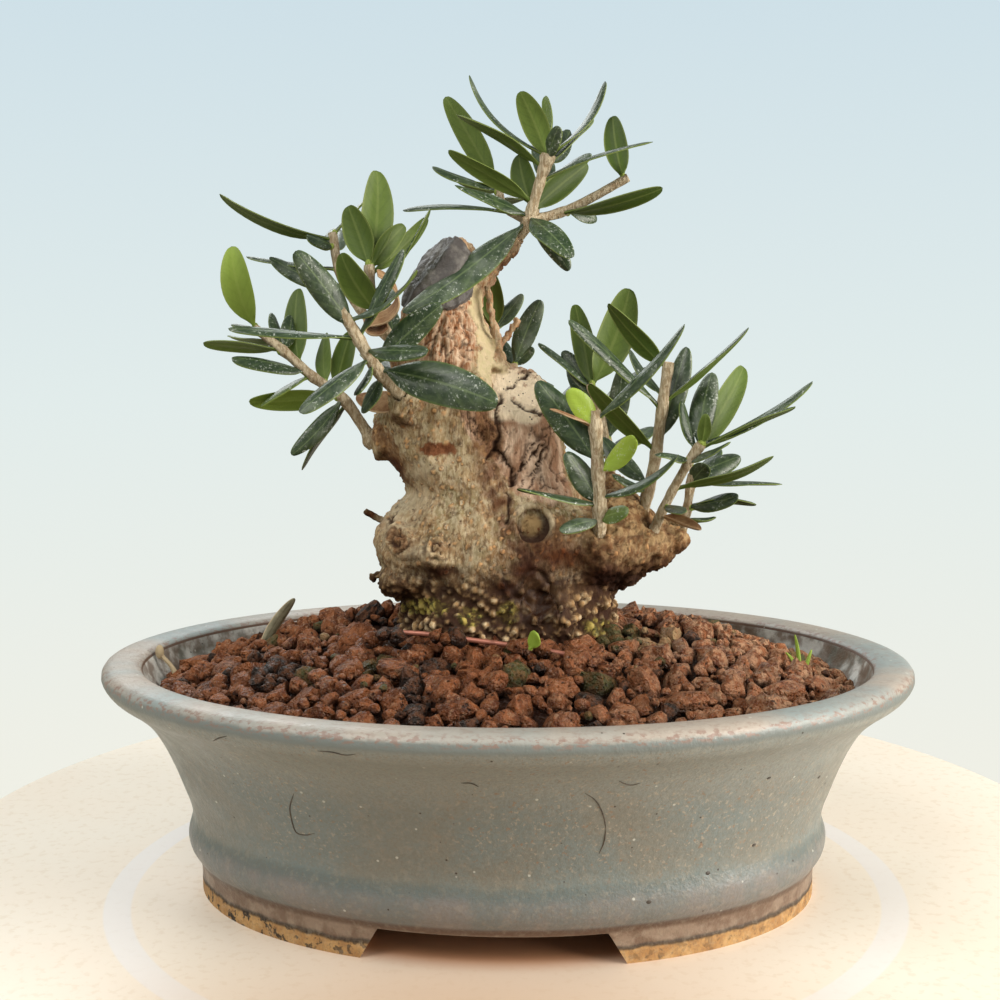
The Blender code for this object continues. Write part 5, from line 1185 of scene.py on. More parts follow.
# %% Table of leafy stems
SPRAYS = {
    "spray_top": ([
        ([(1.2, 0.0, 129.2), (4.2, 0.0, 132.2), (6.2, -1.0, 138.0), (9.0, -2.0, 146.5)], 1.0, 1.0),
        ([(5.4, 0.2, 135.0), (6.6, 3.0, 137.6), (9.0, 5.0, 141.2)], 0.9, 0.8),
        ([(5.0, 0.0, 134.0), (11.0, 1.0, 135.4), (17.0, 0.0, 138.0), (24.5, -1.0, 142.0)], 0.95, 0.8),
        ([(5.0, 0.0, 134.2), (0.5, 3.0, 136.4), (-2.0, 5.0, 142.0)], 0.8, 0.7),
    ], [
        (0, 0.98, (-7, 4, 163), 3.6, (0, 0, 1), -1.6),
        (0, 0.95, (3.5, -5, 158), 4.8, (0, 1, 0.2), 0.8),
        (0, 0.97, (8, 6, 159), 3.2, (1, 0.3, 0), 0.6),
        (0, 1.00, (20, 2, 161), 3.8, (0, 0.1, 1), -1.4),
        (0, 0.95, (11, -7, 151), 3.0, (0, -1, 0.6), 0.4),
        (0, 0.90, (13, 7, 152.5), 3.8, (0.3, -1, 0), 0.5),
        (0, 0.85, (17.5, 9, 155), 3.4, (-0.8, -0.6, 0.5), 0.8),
        (0, 0.72, (29, -6, 148), 4.2, (0, -0.1, 1), 1.2),
        (0, 0.40, (16.5, 8, 146), 4.6, (0, 1, 0.3), 0.8),
        (0, 0.34, (13.5, -9, 126), 5.4, (0.3, -1, 0.6), 1.5),
        (0, 0.32, (13, -2, 124), 3.6, (-0.8, -0.5, 0.5), 0.6),
        (0, 0.30, (-18.5, -14, 115.5), 6.4, (-0.4, -1, 0.3), 1.2),
        (0, 0.85, (-9, -3, 154), 4.0, (0, 0.1, 1), 1.0),
        (0, 0.50, (-10.5, -5, 147), 4.0, (0, 0.8, 1), 0.8),
        (0, 0.35, (-9, -8, 140), 3.8, (0, -1, 0.9), 0.6),
        (0, 0.45, (3, 1, 147), 4.6, (-0.1, 1, 0.2), 0.5),
        (1, 0.95, (6, 18, 152), 4.2, (0, -0.5, 1), 1.0),
        (1, 0.90, (17, 15, 149), 4.0, (0, -0.4, 1), 0.8),
        (1, 0.60, (-2, 16, 139), 4.0, (0, -0.3, 1), 0.8),
        (2, 0.95, (21.5, 3, 154.5), 4.3, (0, 1, 0), 0.8),
        (2, 0.30, (31, -5, 139.5), 4.6, (0, 0.35, 1), -1.2),
        (2, 0.35, (18.5, 5, 134.5), 3.2, (0, -1, 0.7), 0.4),
        (3, 0.90, (-12, 5, 159), 4.6, (0.3, 1, 0), 1.0),
        (3, 0.80, (-14.5, 3, 145), 3.4, (0, -0.4, 1), 0.6),
        (3, 0.80, (-10, 7, 142.5), 3.2, (0, 0.6, 1), 0.4),
        (3, 0.25, (-20.5, 3, 136.5), 3.4, (0, 0, 1), 1.0),
    ]),
    "spray_left_front": ([
        ([(-17.5, -9.5, 97.5), (-19.5, -12.0, 100.0), (-22.0, -14.5, 102.8), (-24.5, -17.0, 107.0),
          (-28.0, -19.0, 113.5), (-31.0, -20.0, 118.5)], 1.15, 1.0),
    ], [
        (0, 0.80, (-14.5, -25, 123), 3.8, (-0.3, -0.6, 1), -1.0),
        (0, 0.66, (-50, -23, 112.5), 4.0, (0, 0, 1), 0.6),
        (0, 0.72, (-37, -24, 126.5), 5.0, (0.3, -1, 0.3), 0.8),
        (0, 0.66, (-17.5, -20, 127), 3.8, (-0.9, -0.7, 0.2), 0.8),
        (0, 0.56, (-12.5, -26, 108), 4.4, (0, -0.8, 0.9), 0.5),
        (0, 0.40, (0, -22, 98.5), 7.6, (0.1, -1, 0.35), 0.8),
        (0, 0.50, (-36, -27, 97), 4.6, (-0.3, -0.7, 0.8), 1.2),
        (0, 0.46, (-27, -20, 100), 3.0, (-1, -0.6, 0), 0.3),
        (0, 0.34, (-26.5, -15, 96.5), 3.2, (-0.6, -1, 0), 0.4),
        (0, 0.44, (-11, -15, 117), 5.0, (0.2, -1, 0.2), 0.5),
        (0, 0.06, (-29.0, -6, 99.5), 4.6, (0.1, -1, 0.4), 0.3),
    ]),
    "spray_left_far": ([
        ([(-26.5, -1.8, 90.5), (-28.6, -2.6, 94.0), (-32.0, -4.0, 99.0), (-38.0, -6.0, 103.7),
          (-42.6, -7.0, 108.0), (-48.7, -8.0, 113.0)], 1.15, 0.8),
    ], [
        (0, 0.98, (-52, -11, 128.5), 5.6, (0.2, 1, 0.1), -0.8),
        (0, 0.98, (-53, -9, 113.5), 2.6, (0, -0.3, 1), 0.2),
        (0, 0.78, (-57.5, -13, 110), 4.4, (0, 0.1, 1), 0.6),
        (0, 0.85, (-55.5, -1, 111.5), 4.0, (0, 0.6, 1), 0.4),
        (0, 0.57, (-52, -13, 107), 4.5, (0, -0.5, 1), 0.6),
        (0, 0.65, (-42, 3, 121), 4.6, (0, 1, 0), 0.6),
        (0, 0.78, (-42.5, -2, 115.5), 3.2, (0.5, -1, 0), 0.3),
        (0, 0.80, (-47, 1, 116), 2.8, (0, 0.5, 1), 0.3),
        (0, 0.55, (-47.5, -9, 97.5), 4.0, (0.4, 0, 1), 0.8),
        (0, 0.34, (-50, -8, 98.5), 4.4, (0, 1, 0.5), 0.8),
        (0, 0.32, (-41.5, -9, 88), 3.4, (0.7, 0.2, 0.8), 0.5),
        (0, 0.28, (-42, 4, 84), 4.0, (0.8, -0.5, 0.7), 0.8),
        (0, 0.45, (-36.7, 4, 112), 3.8, (0.3, 1, 0), 0.5),
        (0, 0.38, (-31.5, 5, 112.5), 4.0, (-0.3, 1, 0), 0.5),
    ]),
    "spray_left_upper": ([
        ([(-20.0, 3.6, 107.5), (-23.0, 4.5, 110.0), (-30.0, 6.0, 117.0), (-34.0, 6.0, 124.0),
          (-35.4, 6.0, 132.5)], 0.95, 0.8),
    ], [
        (0, 0.95, (-57.5, 2, 140), 4.2, (0, 0.40, 1), -1.3),
        (0, 0.90, (-40, 2, 131.5), 4.0, (0, -0.7, 0.7), 0.3),
        (0, 0.75, (-54, 9, 128), 3.2, (0, 0, 1), 0.6),
        (0, 0.60, (-48.5, 6, 127.5), 4.0, (0, -1, 0.5), 0.6),
        (0, 0.85, (-38, 24, 135), 4.4, (0, -0.3, 1), 0.8),
        (0, 0.60, (-37, 26, 121), 4.4, (0, -0.2, 1), 1.0),
        (0, 0.45, (-25, 24, 122), 4.2, (0.2, -0.3, 1), 0.8),
        (0, 0.98, (-28, 13, 141), 4.0, (-0.7, 0, 0.7), 0.6),
    ]),
    "spray_left_inner": ([
        ([(-19.4, -4.6, 107.6), (-21.8, -6.2, 110.8), (-24.0, -8.0, 115.5), (-25.2, -8.0, 119.5),
          (-25.8, -8.0, 125.0)], 0.95, 0.8),
    ], [
        (0, 0.98, (-30, -6, 136.5), 5.6, (0.2, 1, 0), 0.6),
        (0, 0.95, (-25, -2, 143.7), 6.0, (-0.1, 1, 0.1), 0.8),
        (0, 0.50, (-30.5, -12, 127), 5.8, (0.2, 1, 0.1), 0.6),
        (0, 0.95, (-19.5, -3, 133), 4.0, (-0.6, 0.8, 0.2), 0.5),
        (0, 0.90, (-15.5, 3, 135), 3.0, (-0.5, 1, 0.4), 0.4),
        (0, 0.70, (-13.5, -11, 135.2), 4.0, (-0.8, -0.3, 0.6), -0.8),
        (0, 0.55, (-21, -14, 111.5), 4.4, (-0.4, -0.6, 0.6), 2.4),
    ]),
    "spray_right_front": ([
        ([(18.6, -10.5, 70.0), (19.0, -12.0, 73.5), (19.0, -13.0, 80.0), (18.7, -13.5, 86.0),
          (18.0, -14.0, 97.0)], 1.25, 1.15),
    ], [
        (0, 0.88, (13, -16, 101), 4.0, (0.1, -1, 0.2), 0.4),
        (0, 0.87, (9.5, -17, 97.3), 1.0, (0, -0.3, 1), 0.8),
        (0, 0.92, (34.5, -19, 113), 4.0, (-0.6, -0.5, 0.6), 0.6),
        (0, 0.56, (25.5, -20, 92), 4.2, (-0.2, -1, 0.6), -0.6),
        (0, 0.62, (7, -13, 102.5), 6.0, (0.1, -1, 0.1), 0.4),
        (0, 0.32, (12.5, -15, 89), 4.6, (0.4, -1, 0), 0.3),
        (0, 0.32, (3.5, -20, 82.5), 3.6, (0, -0.3, 1), 0.6),
        (0, 0.22, (11.5, -20, 74.5), 3.0, (0, -0.8, 0.8), 0.5),
        (0, 0.22, (24.5, -17, 78), 3.4, (-0.5, -0.8, 0.6), 0.5),
        (0, 0.38, (33.5, -20, 89), 3.8, (-0.4, -0.4, 1), -0.6),
    ]),
    "spray_right_tall": ([
        ([(26.6, -3.4, 72.8), (27.7, -4.2, 76.5), (29.7, -6.0, 85.7), (30.8, -7.0, 94.2),
          (32.3, -8.0, 106.0)], 1.15, 1.0),
    ], [
        (0, 0.96, (20.5, -6, 117.3), 4.6, (0.4, 0.8, 0.4), 0.5),
        (0, 0.72, (13, -14, 114), 4.0, (0.3, -0.5, 1), 1.0),
        (0, 0.76, (47, -12, 112.5), 4.4, (-0.5, 0.1, 0.9), 0.5),
        (0, 0.48, (17, -11, 102), 4.6, (0.4, 0.6, 0.7), 0.6),
        (0, 0.52, (36, -3, 109), 4.8, (-0.3, -1, 0.1), 0.5),
        (0, 0.80, (25, -3, 108.5), 3.0, (0.6, -0.6, 0.5), 0.3),
        (0, 0.28, (19.5, 0, 91), 4.0, (0.3, -0.8, 0.6), 0.4),
        (0, 0.24, (21.5, -9, 84.2), 3.0, (0, -0.6, 1), 0.2),
    ]),
    "spray_right_outer": ([
        ([(29.4, -6.6, 71.8), (30.6, -7.4, 75.2), (33.3, -9.0, 81.3), (36.4, -11.0, 87.3),
          (38.5, -12.0, 90.5)], 0.95, 0.8),
    ], [
        (0, 0.98, (59.5, -10, 102.3), 3.6, (-0.2, -0.1, 1), -1.0),
        (0, 0.92, (55.5, -15.5, 97.7), 4.2, (-0.2, 0.1, 1), 0.8),
        (0, 0.90, (35, -8, 98.5), 3.6, (0.8, -0.6, 0), 0.3),
        (0, 0.95, (41, -4, 104), 4.8, (-0.1, -1, 0.2), 0.4),
        (0, 0.85, (47.7, 2, 105), 5.0, (-0.1, 1, 0.2), 0.4),
        (0, 0.98, (39, -14.5, 96.3), 2.4, (0, 1, 0), 0.1),
        (0, 0.50, (51.7, -15, 88.3), 4.5, (-0.2, 0.5, 0.9), 0.6),
        (0, 0.32, (35, -15.5, 77.5), 3.0, (0.1, -0.8, 0.8), 0.2),
        (0, 0.80, (29.5, -15, 88.5), 3.2, (0, -0.6, 1), 0.5),
        (0, 0.78, (43.5, -16, 91), 3.0, (0, -0.6, 1), 0.4),
        (0, 0.22, (38.5, -13, 74), 3.0, (0, -0.5, 1), 0.5),
    ]),
    "spray_right_low": ([
        ([(34.6, -1.6, 70.6), (35.8, -2.0, 73.4), (36.7, -3.0, 78.5), (37.3, -4.0, 84.0)], 0.85, 0.75),
    ], [
        (0, 0.92, (47.2, 0, 87.2), 4.4, (-0.3, -0.8, 0.6), 0.4),
        (0, 0.85, (55, -4, 82), 3.6, (0, 0.1, 1), 0.6),
        (0, 0.50, (46, -8, 80), 3.6, (0, -0.7, 0.8), 0.4),
        (0, 0.50, (50, -4, 78), 4.0, (0, 0.2, 1), 1.2),
        (0, 0.30, (42, -5, 75.5), 3.4, (0, 0.3, 1), 0.3),
        (0, 0.85, (40, -7, 86), 3.6, (-0.3, -1, 0), 0.2),
        (0, 0.75, (44, 10, 88), 4.0, (0, -0.3, 1), 0.8),
        (0, 0.45, (45, 11, 78), 3.8, (0, -0.2, 1), 0.8),
    ]),
    "spray_right_back": ([
        ([(20.6, 4.6, 78.0), (21.5, 6.0, 82.0), (20.8, 8.0, 90.0), (18.5, 9.0, 98.0),
          (17.2, 9.5, 101.5)], 1.05, 0.8),
    ], [
        (0, 0.97, (25.3, 11, 121), 7.0, (-0.1, 1, 0.1), 0.6),
        (0, 0.95, (14, 15, 118), 4.4, (0, 1, 0), 0.5),
        (0, 0.50, (23.7, 6, 105), 4.2, (-0.2, -1, 0.1), 0.4),
        (0, 0.92, (6.5, 13, 110), 3.6, (0.2, 0, 1), 1.0),
        (0, 0.85, (11.5, 14, 108.3), 3.6, (0.4, -1, 0.2), 0.3),
        (0, 0.70, (30, 24, 105), 4.6, (0, -0.3, 1), 1.0),
        (0, 0.60, (13, 20, 106), 4.6, (0, -0.3, 1), 1.0),
        (0, 0.40, (31, 22, 92), 4.4, (0.1, -0.3, 1), 0.8),
        (0, 0.35, (15, 25, 88), 4.2, (0, -0.3, 1), 0.8),
    ]),
    "spray_back_middle": ([
        ([(2.4, 7.6, 98.6), (2.2, 9.6, 101.4), (1.2, 11.0, 105.5)], 0.85, 0.75),
    ], [
        (0, 0.95, (7, 10, 118.8), 4.4, (0.2, -1, 0), 0.4),
        (0, 0.95, (5.5, 11, 109), 2.8, (0.2, -1, 0.1), 0.1),
        (0, 0.92, (-6, 21, 113), 4.4, (0, -0.4, 1), 0.8),
        (0, 0.80, (-8, 25, 103), 4.4, (0, -0.3, 1), 1.0),
        (0, 0.75, (9, 27, 101), 4.4, (0, -0.3, 1), 1.0),
    ]),
    "spray_back_top": ([
        ([(-4.4, 5.8, 106.2), (-3.2, 7.4, 109.2), (-2.3, 8.6, 113.0)], 0.85, 0.7),
    ], [
        (0, 0.95, (-2.7, 8.5, 124), 4.4, (0, 1, 0), 0.3),
        (0, 0.95, (3.3, 9.5, 120), 3.0, (0.1, -1, 0.4), 0.2),
        (0, 0.92, (-6, 10.5, 122), 2.8, (0.3, 1, 0), 0.1),
        (0, 0.85, (-12, 20, 118), 4.2, (0, -0.4, 1), 0.8),
        (0, 0.80, (0, 22, 118), 4.2, (0, -0.4, 1), 0.8),
    ]),
    "spray_back_left": ([
        ([(-17.2, 10.0, 94.6), (-18.6, 12.2, 97.0), (-21.0, 16.0, 102.0), (-22.0, 18.0, 107.0)],
         1.05, 0.8),
    ], [
        (0, 0.97, (-27, 27, 119), 4.8, (0, -0.4, 1), -0.6),
        (0, 0.97, (-14, 26, 118), 4.8, (0, -0.4, 1), 0.8),
        (0, 0.75, (-33, 27, 108), 4.6, (0, -0.2, 1), 1.0),
        (0, 0.70, (-12, 31, 106), 4.6, (0, -0.2, 1), 1.0),
        (0, 0.50, (-31, 26, 98), 4.4, (0, -0.2, 1), 1.0),
        (0, 0.45, (-13, 30, 96), 4.4, (0, -0.2, 1), 1.0),
        (0, 0.30, (-24, 27, 90), 4.2, (0, -0.2, 1), 1.0),
    ]),
    "spray_back_low": ([
        ([(6.2, 15.0, 80.8), (6.8, 17.4, 83.6), (7.6, 20.0, 88.0), (8.0, 21.5, 94.0)], 1.0, 0.8),
    ], [
        (0, 0.97, (-2, 29, 106), 4.6, (0, -0.4, 1), 0.8),
        (0, 0.97, (19, 30, 106), 4.6, (0, -0.4, 1), 0.8),
        (0, 0.70, (-6, 34, 93), 4.4, (0, -0.2, 1), 1.0),
        (0, 0.70, (21, 34, 94), 4.4, (0, -0.2, 1), 1.0),
        (0, 0.40, (-3, 31, 82), 4.4, (0, -0.2, 1), 1.0),
        (0, 0.40, (19, 31, 81), 4.4, (0, -0.2, 1), 1.0),
    ]),
}
print("leafy stems:", len(SPRAYS), "with leaves:", sum(len(leaves) for _, leaves in SPRAYS.values()))

# %% [markdown]
# ## The trunk
#
# The wood grew as one piece: a swollen foot full of corky warts, a grey bark with tan lenticels, a
# lobe to the right, a face of weathered deadwood and an upper part of cracked plates. The frame's
# trunk has that form in large facets. A copy of it is merged, remeshed evenly at less than half a
# millimetre and softened, so that it has enough points to carry the bark. Then each kind of bark
# moves the points along their normals, and leaves a mask behind for the material to colour.

# %% Trunk mesh
TRUNK_CUT_HEIGHT = 46.0
TRUNK_VOXEL = 0.44
COLLAR_REACH = 2.5
COLLAR_SIZE = (1.6, 1.6, 1.25)
COLLAR_SINK = 0.3


def merged_copy(node_name):
    """A copy of one of the frame's solids in millimetres, with its loose triangles merged."""
    bm = bmesh.new()
    bm.from_mesh(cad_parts[node_name].data)
    bmesh.ops.remove_doubles(bm, verts=bm.verts, dist=1e-6)
    bmesh.ops.scale(bm, vec=(1 / MM, 1 / MM, 1 / MM), verts=bm.verts)
    return bm


def remeshed(obj, voxel, soften_times):
    remesh = obj.modifiers.new("even_mesh", "REMESH")
    remesh.mode = "VOXEL"
    remesh.voxel_size = voxel * MM
    soften = obj.modifiers.new("soften", "SMOOTH")
    soften.factor = 0.5
    soften.iterations = soften_times
    return apply_modifiers(obj)


def add_collars(bm):
    """Swell the bark where a leafy stem leaves the trunk."""
    wood = BVHTree.FromBMesh(bm)
    made = 0
    for stems, _ in SPRAYS.values():
        for path, foot, _ in stems:
            start = Vector(path[0])
            if wood.find_nearest(start)[3] < COLLAR_REACH:
                out = (Vector(path[1]) - start).normalized()
                turn = out.to_track_quat("Z", "Y").to_matrix().to_4x4()
                size = Matrix.Diagonal((*(foot * part for part in COLLAR_SIZE), 1.0))
                sunk = Matrix.Translation(start - out * COLLAR_SINK)
                bmesh.ops.create_icosphere(bm, subdivisions=3, radius=1.0, matrix=sunk @ turn @ size)
                made += 1
    return made


def make_trunk_mesh():
    bm = merged_copy("trunk")
    bmesh.ops.bisect_plane(bm, geom=bm.verts[:] + bm.edges[:] + bm.faces[:], dist=1e-4,
                           plane_co=(0.0, 0.0, TRUNK_CUT_HEIGHT), plane_no=(0.0, 0.0, 1.0), clear_inner=True)
    bmesh.ops.holes_fill(bm, edges=[edge for edge in bm.edges if edge.is_boundary])
    print("stems with a collar of bark:", add_collars(bm))
    return remeshed(object_from(bm, "olive_trunk"), TRUNK_VOXEL, 4)


trunk = make_trunk_mesh()
print("points in the trunk:", len(trunk.data.vertices))

# %% [markdown]
# ### Where each kind of bark is
#
# The zones of the front were read from the photograph, as outlines in its pixels. A point of the
# wood belongs to a zone where its line of sight falls inside the outline and the wood faces the
# camera there. The outlines are shaken by noise, because no edge on bark is straight. The back
# follows rules instead: warts near the soil, plates near the top, lenticels in between.

# %% Bark zones
PLATES_OUTLINE = [(438, 300), (474, 296), (478, 330), (472, 366), (458, 372), (436, 364), (416, 364)]
DEADWOOD_OUTLINE = [(460, 412), (488, 372), (512, 366), (534, 366), (556, 412), (560, 440), (572, 500),
                    (552, 504), (516, 494), (500, 466), (480, 444), (466, 432)]
CREAM_STRIP = [(474, 290), (480, 322), (489, 350), (484, 366)]
PALE_BURL = ((494, 374), 18.0, 13.0)
SCAR = ((437, 449), 21.0, 7.5)
SIDE_HOLLOW = ((393, 470), 9.0, 14.0)
# The line of the fold down the front, where painted shade lies with the mauve-brown tint of the streak there
FOLD_SHADE_LINE = [(486, 446), (494, 490), (506, 525), (522, 556), (540, 580)]
# Spots of painted shade in the hollows low on the front, under the knot and the lobe, and one spot that
# darkens the dark, flaky stub at the left
SHADED_HOLLOWS_AND_STUB = [((560, 556), 54.0, 20.0), ((604, 576), 34.0, 15.0), ((505, 588), 20.0, 12.0),
           ((368, 514), 13.0, 12.0), ((524, 570), 26.0, 16.0), ((440, 572), 24.0, 7.0)]
PALE_PATCHES = [((410, 500), 22.0, 15.0), ((398, 520), 16.0, 15.0), ((420, 470), 12.0, 12.0),
                ((420, 550), 15.0, 10.0)]
# A crevice at the trunk's foot, carved in and darkened almost to black as painted shade
CREVICE = ((540, 602), 29.0, 30.0)
LICHEN_PATCHES = [((425, 606), 25.0, 9.0), ((470, 618), 14.0, 9.0), ((508, 614), 11.0, 13.0),
                  ((597, 628), 16.0, 9.0)]
STAINED_EDGES = [([(378, 430), (392, 455), (400, 480)], 12.0), ([(472, 404), (484, 424), (491, 446)], 22.0),
                 ([(394, 534), (402, 546)], 11.0), ([(560, 520), (556, 540), (536, 546)], 9.0)]
BURLS = [((398, 541), 15.0, 0.0), ((436, 548), 15.0, 1.4), ((392, 520), 7.0, 2.2)]
DEADWOOD_CRACKS = [
    ([(500, 394), (498, 415), (497, 437), (495, 450), (485, 460)], 2.0),
    ([(497, 449), (505, 458), (510, 470), (511, 484)], 1.8),
    ([(512, 480), (520, 467), (531, 459), (540, 446), (548, 444)], 1.1),
    ([(520, 467), (525, 455), (535, 443), (545, 437)], 0.9),
    ([(470, 418), (480, 424), (474, 432)], 0.9),
    ([(516, 492), (526, 478), (537, 466), (546, 452)], 0.8),
    ([(508, 494), (509, 508), (506, 522)], 1.4),
    ([(530, 490), (536, 476), (541, 462)], 0.7),
    ([(507, 392), (520, 380), (531, 369)], 1.3),
    ([(511, 400), (530, 411), (551, 419)], 1.2),
    ([(551, 420), (549, 442), (540, 462)], 1.0),
]
# Places where the wood is pressed in, in pixels, and how far in mm towards the right
PINCHES = [((362, 446), 26.0, 26.0, 2.4)]
KNOT_CENTRE = (6.2, -15.0, 75.1)
KNOT_RADIUS = 2.2
SAWN_FACE = ((4.4, -7.0, 98.9), (0.24, -0.74, 0.62), 6.4)
SEALANT_CENTRE = (-13.6, -4.5, 123.0)
SEALANT_HALF_SIZE = (8.8, 7.5, 9.4)
WART_TOP = 72.0
WART_FADE = 15.0
BURL_ZONE = ((414, 544), 42.0, 40.0)
PLATES_FROM = 99.0


def distance_to_line(pixels, corners):
    """Distance in pixels from many points to a line through some corners."""
    nearest = np.full(len(pixels), 1e9)
    for start, end in zip(corners, corners[1:]):
        start = np.array(start, dtype=float)
        way = np.array(end, dtype=float) - start
        share = np.clip((pixels - start) @ way / (way @ way), 0.0, 1.0)
        nearest = np.minimum(nearest, np.linalg.norm(pixels - start - share[:, None] * way, axis=1))
    return nearest


def inside_outline(pixels, corners, soft):
    """1 inside a closed outline, 0 outside, with a soft edge of so many pixels."""
    crossings = np.zeros(len(pixels), dtype=int)
    closed = list(corners) + [corners[0]]
    for (x1, y1), (x2, y2) in zip(closed, closed[1:]):
        if y1 == y2:
            continue
        between = (pixels[:, 1] > min(y1, y2)) & (pixels[:, 1] <= max(y1, y2))
        at_x = x1 + (pixels[:, 1] - y1) * (x2 - x1) / (y2 - y1)
        crossings += between & (at_x > pixels[:, 0])
    away = distance_to_line(pixels, closed) * np.where(crossings % 2 == 1, 1.0, -1.0)
    return step_between(away, -soft, soft)


def inside_spot(pixels, spot, power=2.0):
    """1 in the middle of an oval spot, falling smoothly to 0 past its edge."""
    (middle_x, middle_y), half_x, half_y = spot
    out = np.hypot((pixels[:, 0] - middle_x) / half_x, (pixels[:, 1] - middle_y) / half_y)
    return np.exp(-out ** (2.0 * power))


class Bark:
    """The points of the trunk with the zones that they belong to."""

    def __init__(self, mesh):
        self.places, self.normals = points_of(mesh)
        places, normals = self.places, self.normals
        for middle, half_x, half_y, push in PINCHES:
            near = inside_spot(photo_pixels(places), (middle, half_x, half_y), 1.0)
            places[:, 0] += push * near * (places[:, 0] < 0.0)
        self.front = step_between(-normals @ np.array(forward), -0.05, 0.25) * (places[:, 1] < 4.0)
        shake = np.stack([noise_of(places, 0.45, 3, 5.0), noise_of(places, 0.45, 3, 90.0)], axis=1)
        self.pixels = photo_pixels(places) + 4.0 * shake
        self.swirl = shake[:, 0]
        above_soil = step_between(places[:, 2], 47.0, 52.0)
        sealed = np.linalg.norm((places - SEALANT_CENTRE) / np.array(SEALANT_HALF_SIZE), axis=1)
        self.free = above_soil * step_between(sealed, 0.85, 1.05)
        self.sawn = self.sawn_face()
        self.deadwood = self.front * inside_outline(self.pixels, DEADWOOD_OUTLINE, 5.0)
        self.deadwood = np.maximum(self.deadwood, self.sawn)
        high = step_between(places[:, 2], PLATES_FROM, PLATES_FROM + 9.0)
        self.plates = np.maximum(self.front * inside_outline(self.pixels, PLATES_OUTLINE, 5.0),
                                 high * (1.0 - self.front * 0.6)) * (1.0 - self.deadwood)
        self.cream = self.front * step_between(distance_to_line(self.pixels, CREAM_STRIP), 9.0, 4.0)
        self.cream = np.maximum(self.cream, 0.8 * self.front * inside_spot(self.pixels, PALE_BURL))
        self.plates *= 1.0 - self.cream
        self.deadwood *= 1.0 - 0.7 * self.cream
        self.scar = self.front * np.maximum(inside_spot(self.pixels, SCAR, 2.0),
                                            0.8 * inside_spot(self.pixels, SIDE_HOLLOW, 1.5))
        near_soil = step_between(places[:, 2], WART_TOP, WART_TOP - WART_FADE)
        self.warts = near_soil * (1.0 - self.deadwood)
        self.crevice = self.front * inside_spot(self.pixels, CREVICE, 1.4)
        self.burls = 0.8 * self.front * inside_spot(self.pixels, BURL_ZONE, 2.0)
        lobe = step_between(places[:, 0], 13.0, 20.0) * step_between(places[:, 2], 92.0, 84.0)
        self.lobe = lobe * (1.0 - self.deadwood)
        self.bark = (1.0 - self.deadwood) * (1.0 - self.plates) * (1.0 - self.cream) * (1.0 - self.scar)

    def sawn_face(self):
        """1 on the flat face that a saw left at the top of the deadwood."""
        place, towards, half = SAWN_FACE
        towards = np.array(towards) / np.linalg.norm(towards)
        from_face = self.places - np.array(place)
        height = np.abs(from_face @ towards)
        along = np.linalg.norm(from_face - np.outer(from_face @ towards, towards), axis=1)
        facing = step_between(self.normals @ towards, 0.75, 0.95)
        return step_between(height, 0.9, 0.5) * step_between(along, half * 1.4, half * 1.2) * facing


bark = Bark(trunk.data)
print("shares of the wood: deadwood %.2f, plates %.2f, warts %.2f"
      % (bark.deadwood.mean(), bark.plates.mean(), bark.warts.mean()))

# %% [markdown]
# ### Relief of the bark
#
# Each kind of bark has its own relief, in tenths of a millimetre. Warts and lenticels are domes on
# the centres of cells. Plates are cells drawn out upwards, with cracks where two cells meet.
# Deadwood has fibres that run up the trunk and deep shrinkage cracks along given lines. The knot
# has a groove round it and growth rings on it. Nothing is raised under the sealant or the soil.

# %% Bark relief
WARTS_PER_MM = 0.46
WART_RISE = 0.95
LENTICELS_PER_MM = 0.50
LENTICEL_RISE = 0.42
PLATES_PER_MM = (0.42, 0.42, 0.24)
FIBRES_PER_MM = (1.2, 1.2, 0.16)


def dome(distance, reach):
    return np.sqrt(np.clip(1.0 - (distance / reach) ** 2, 0.0, 1.0))


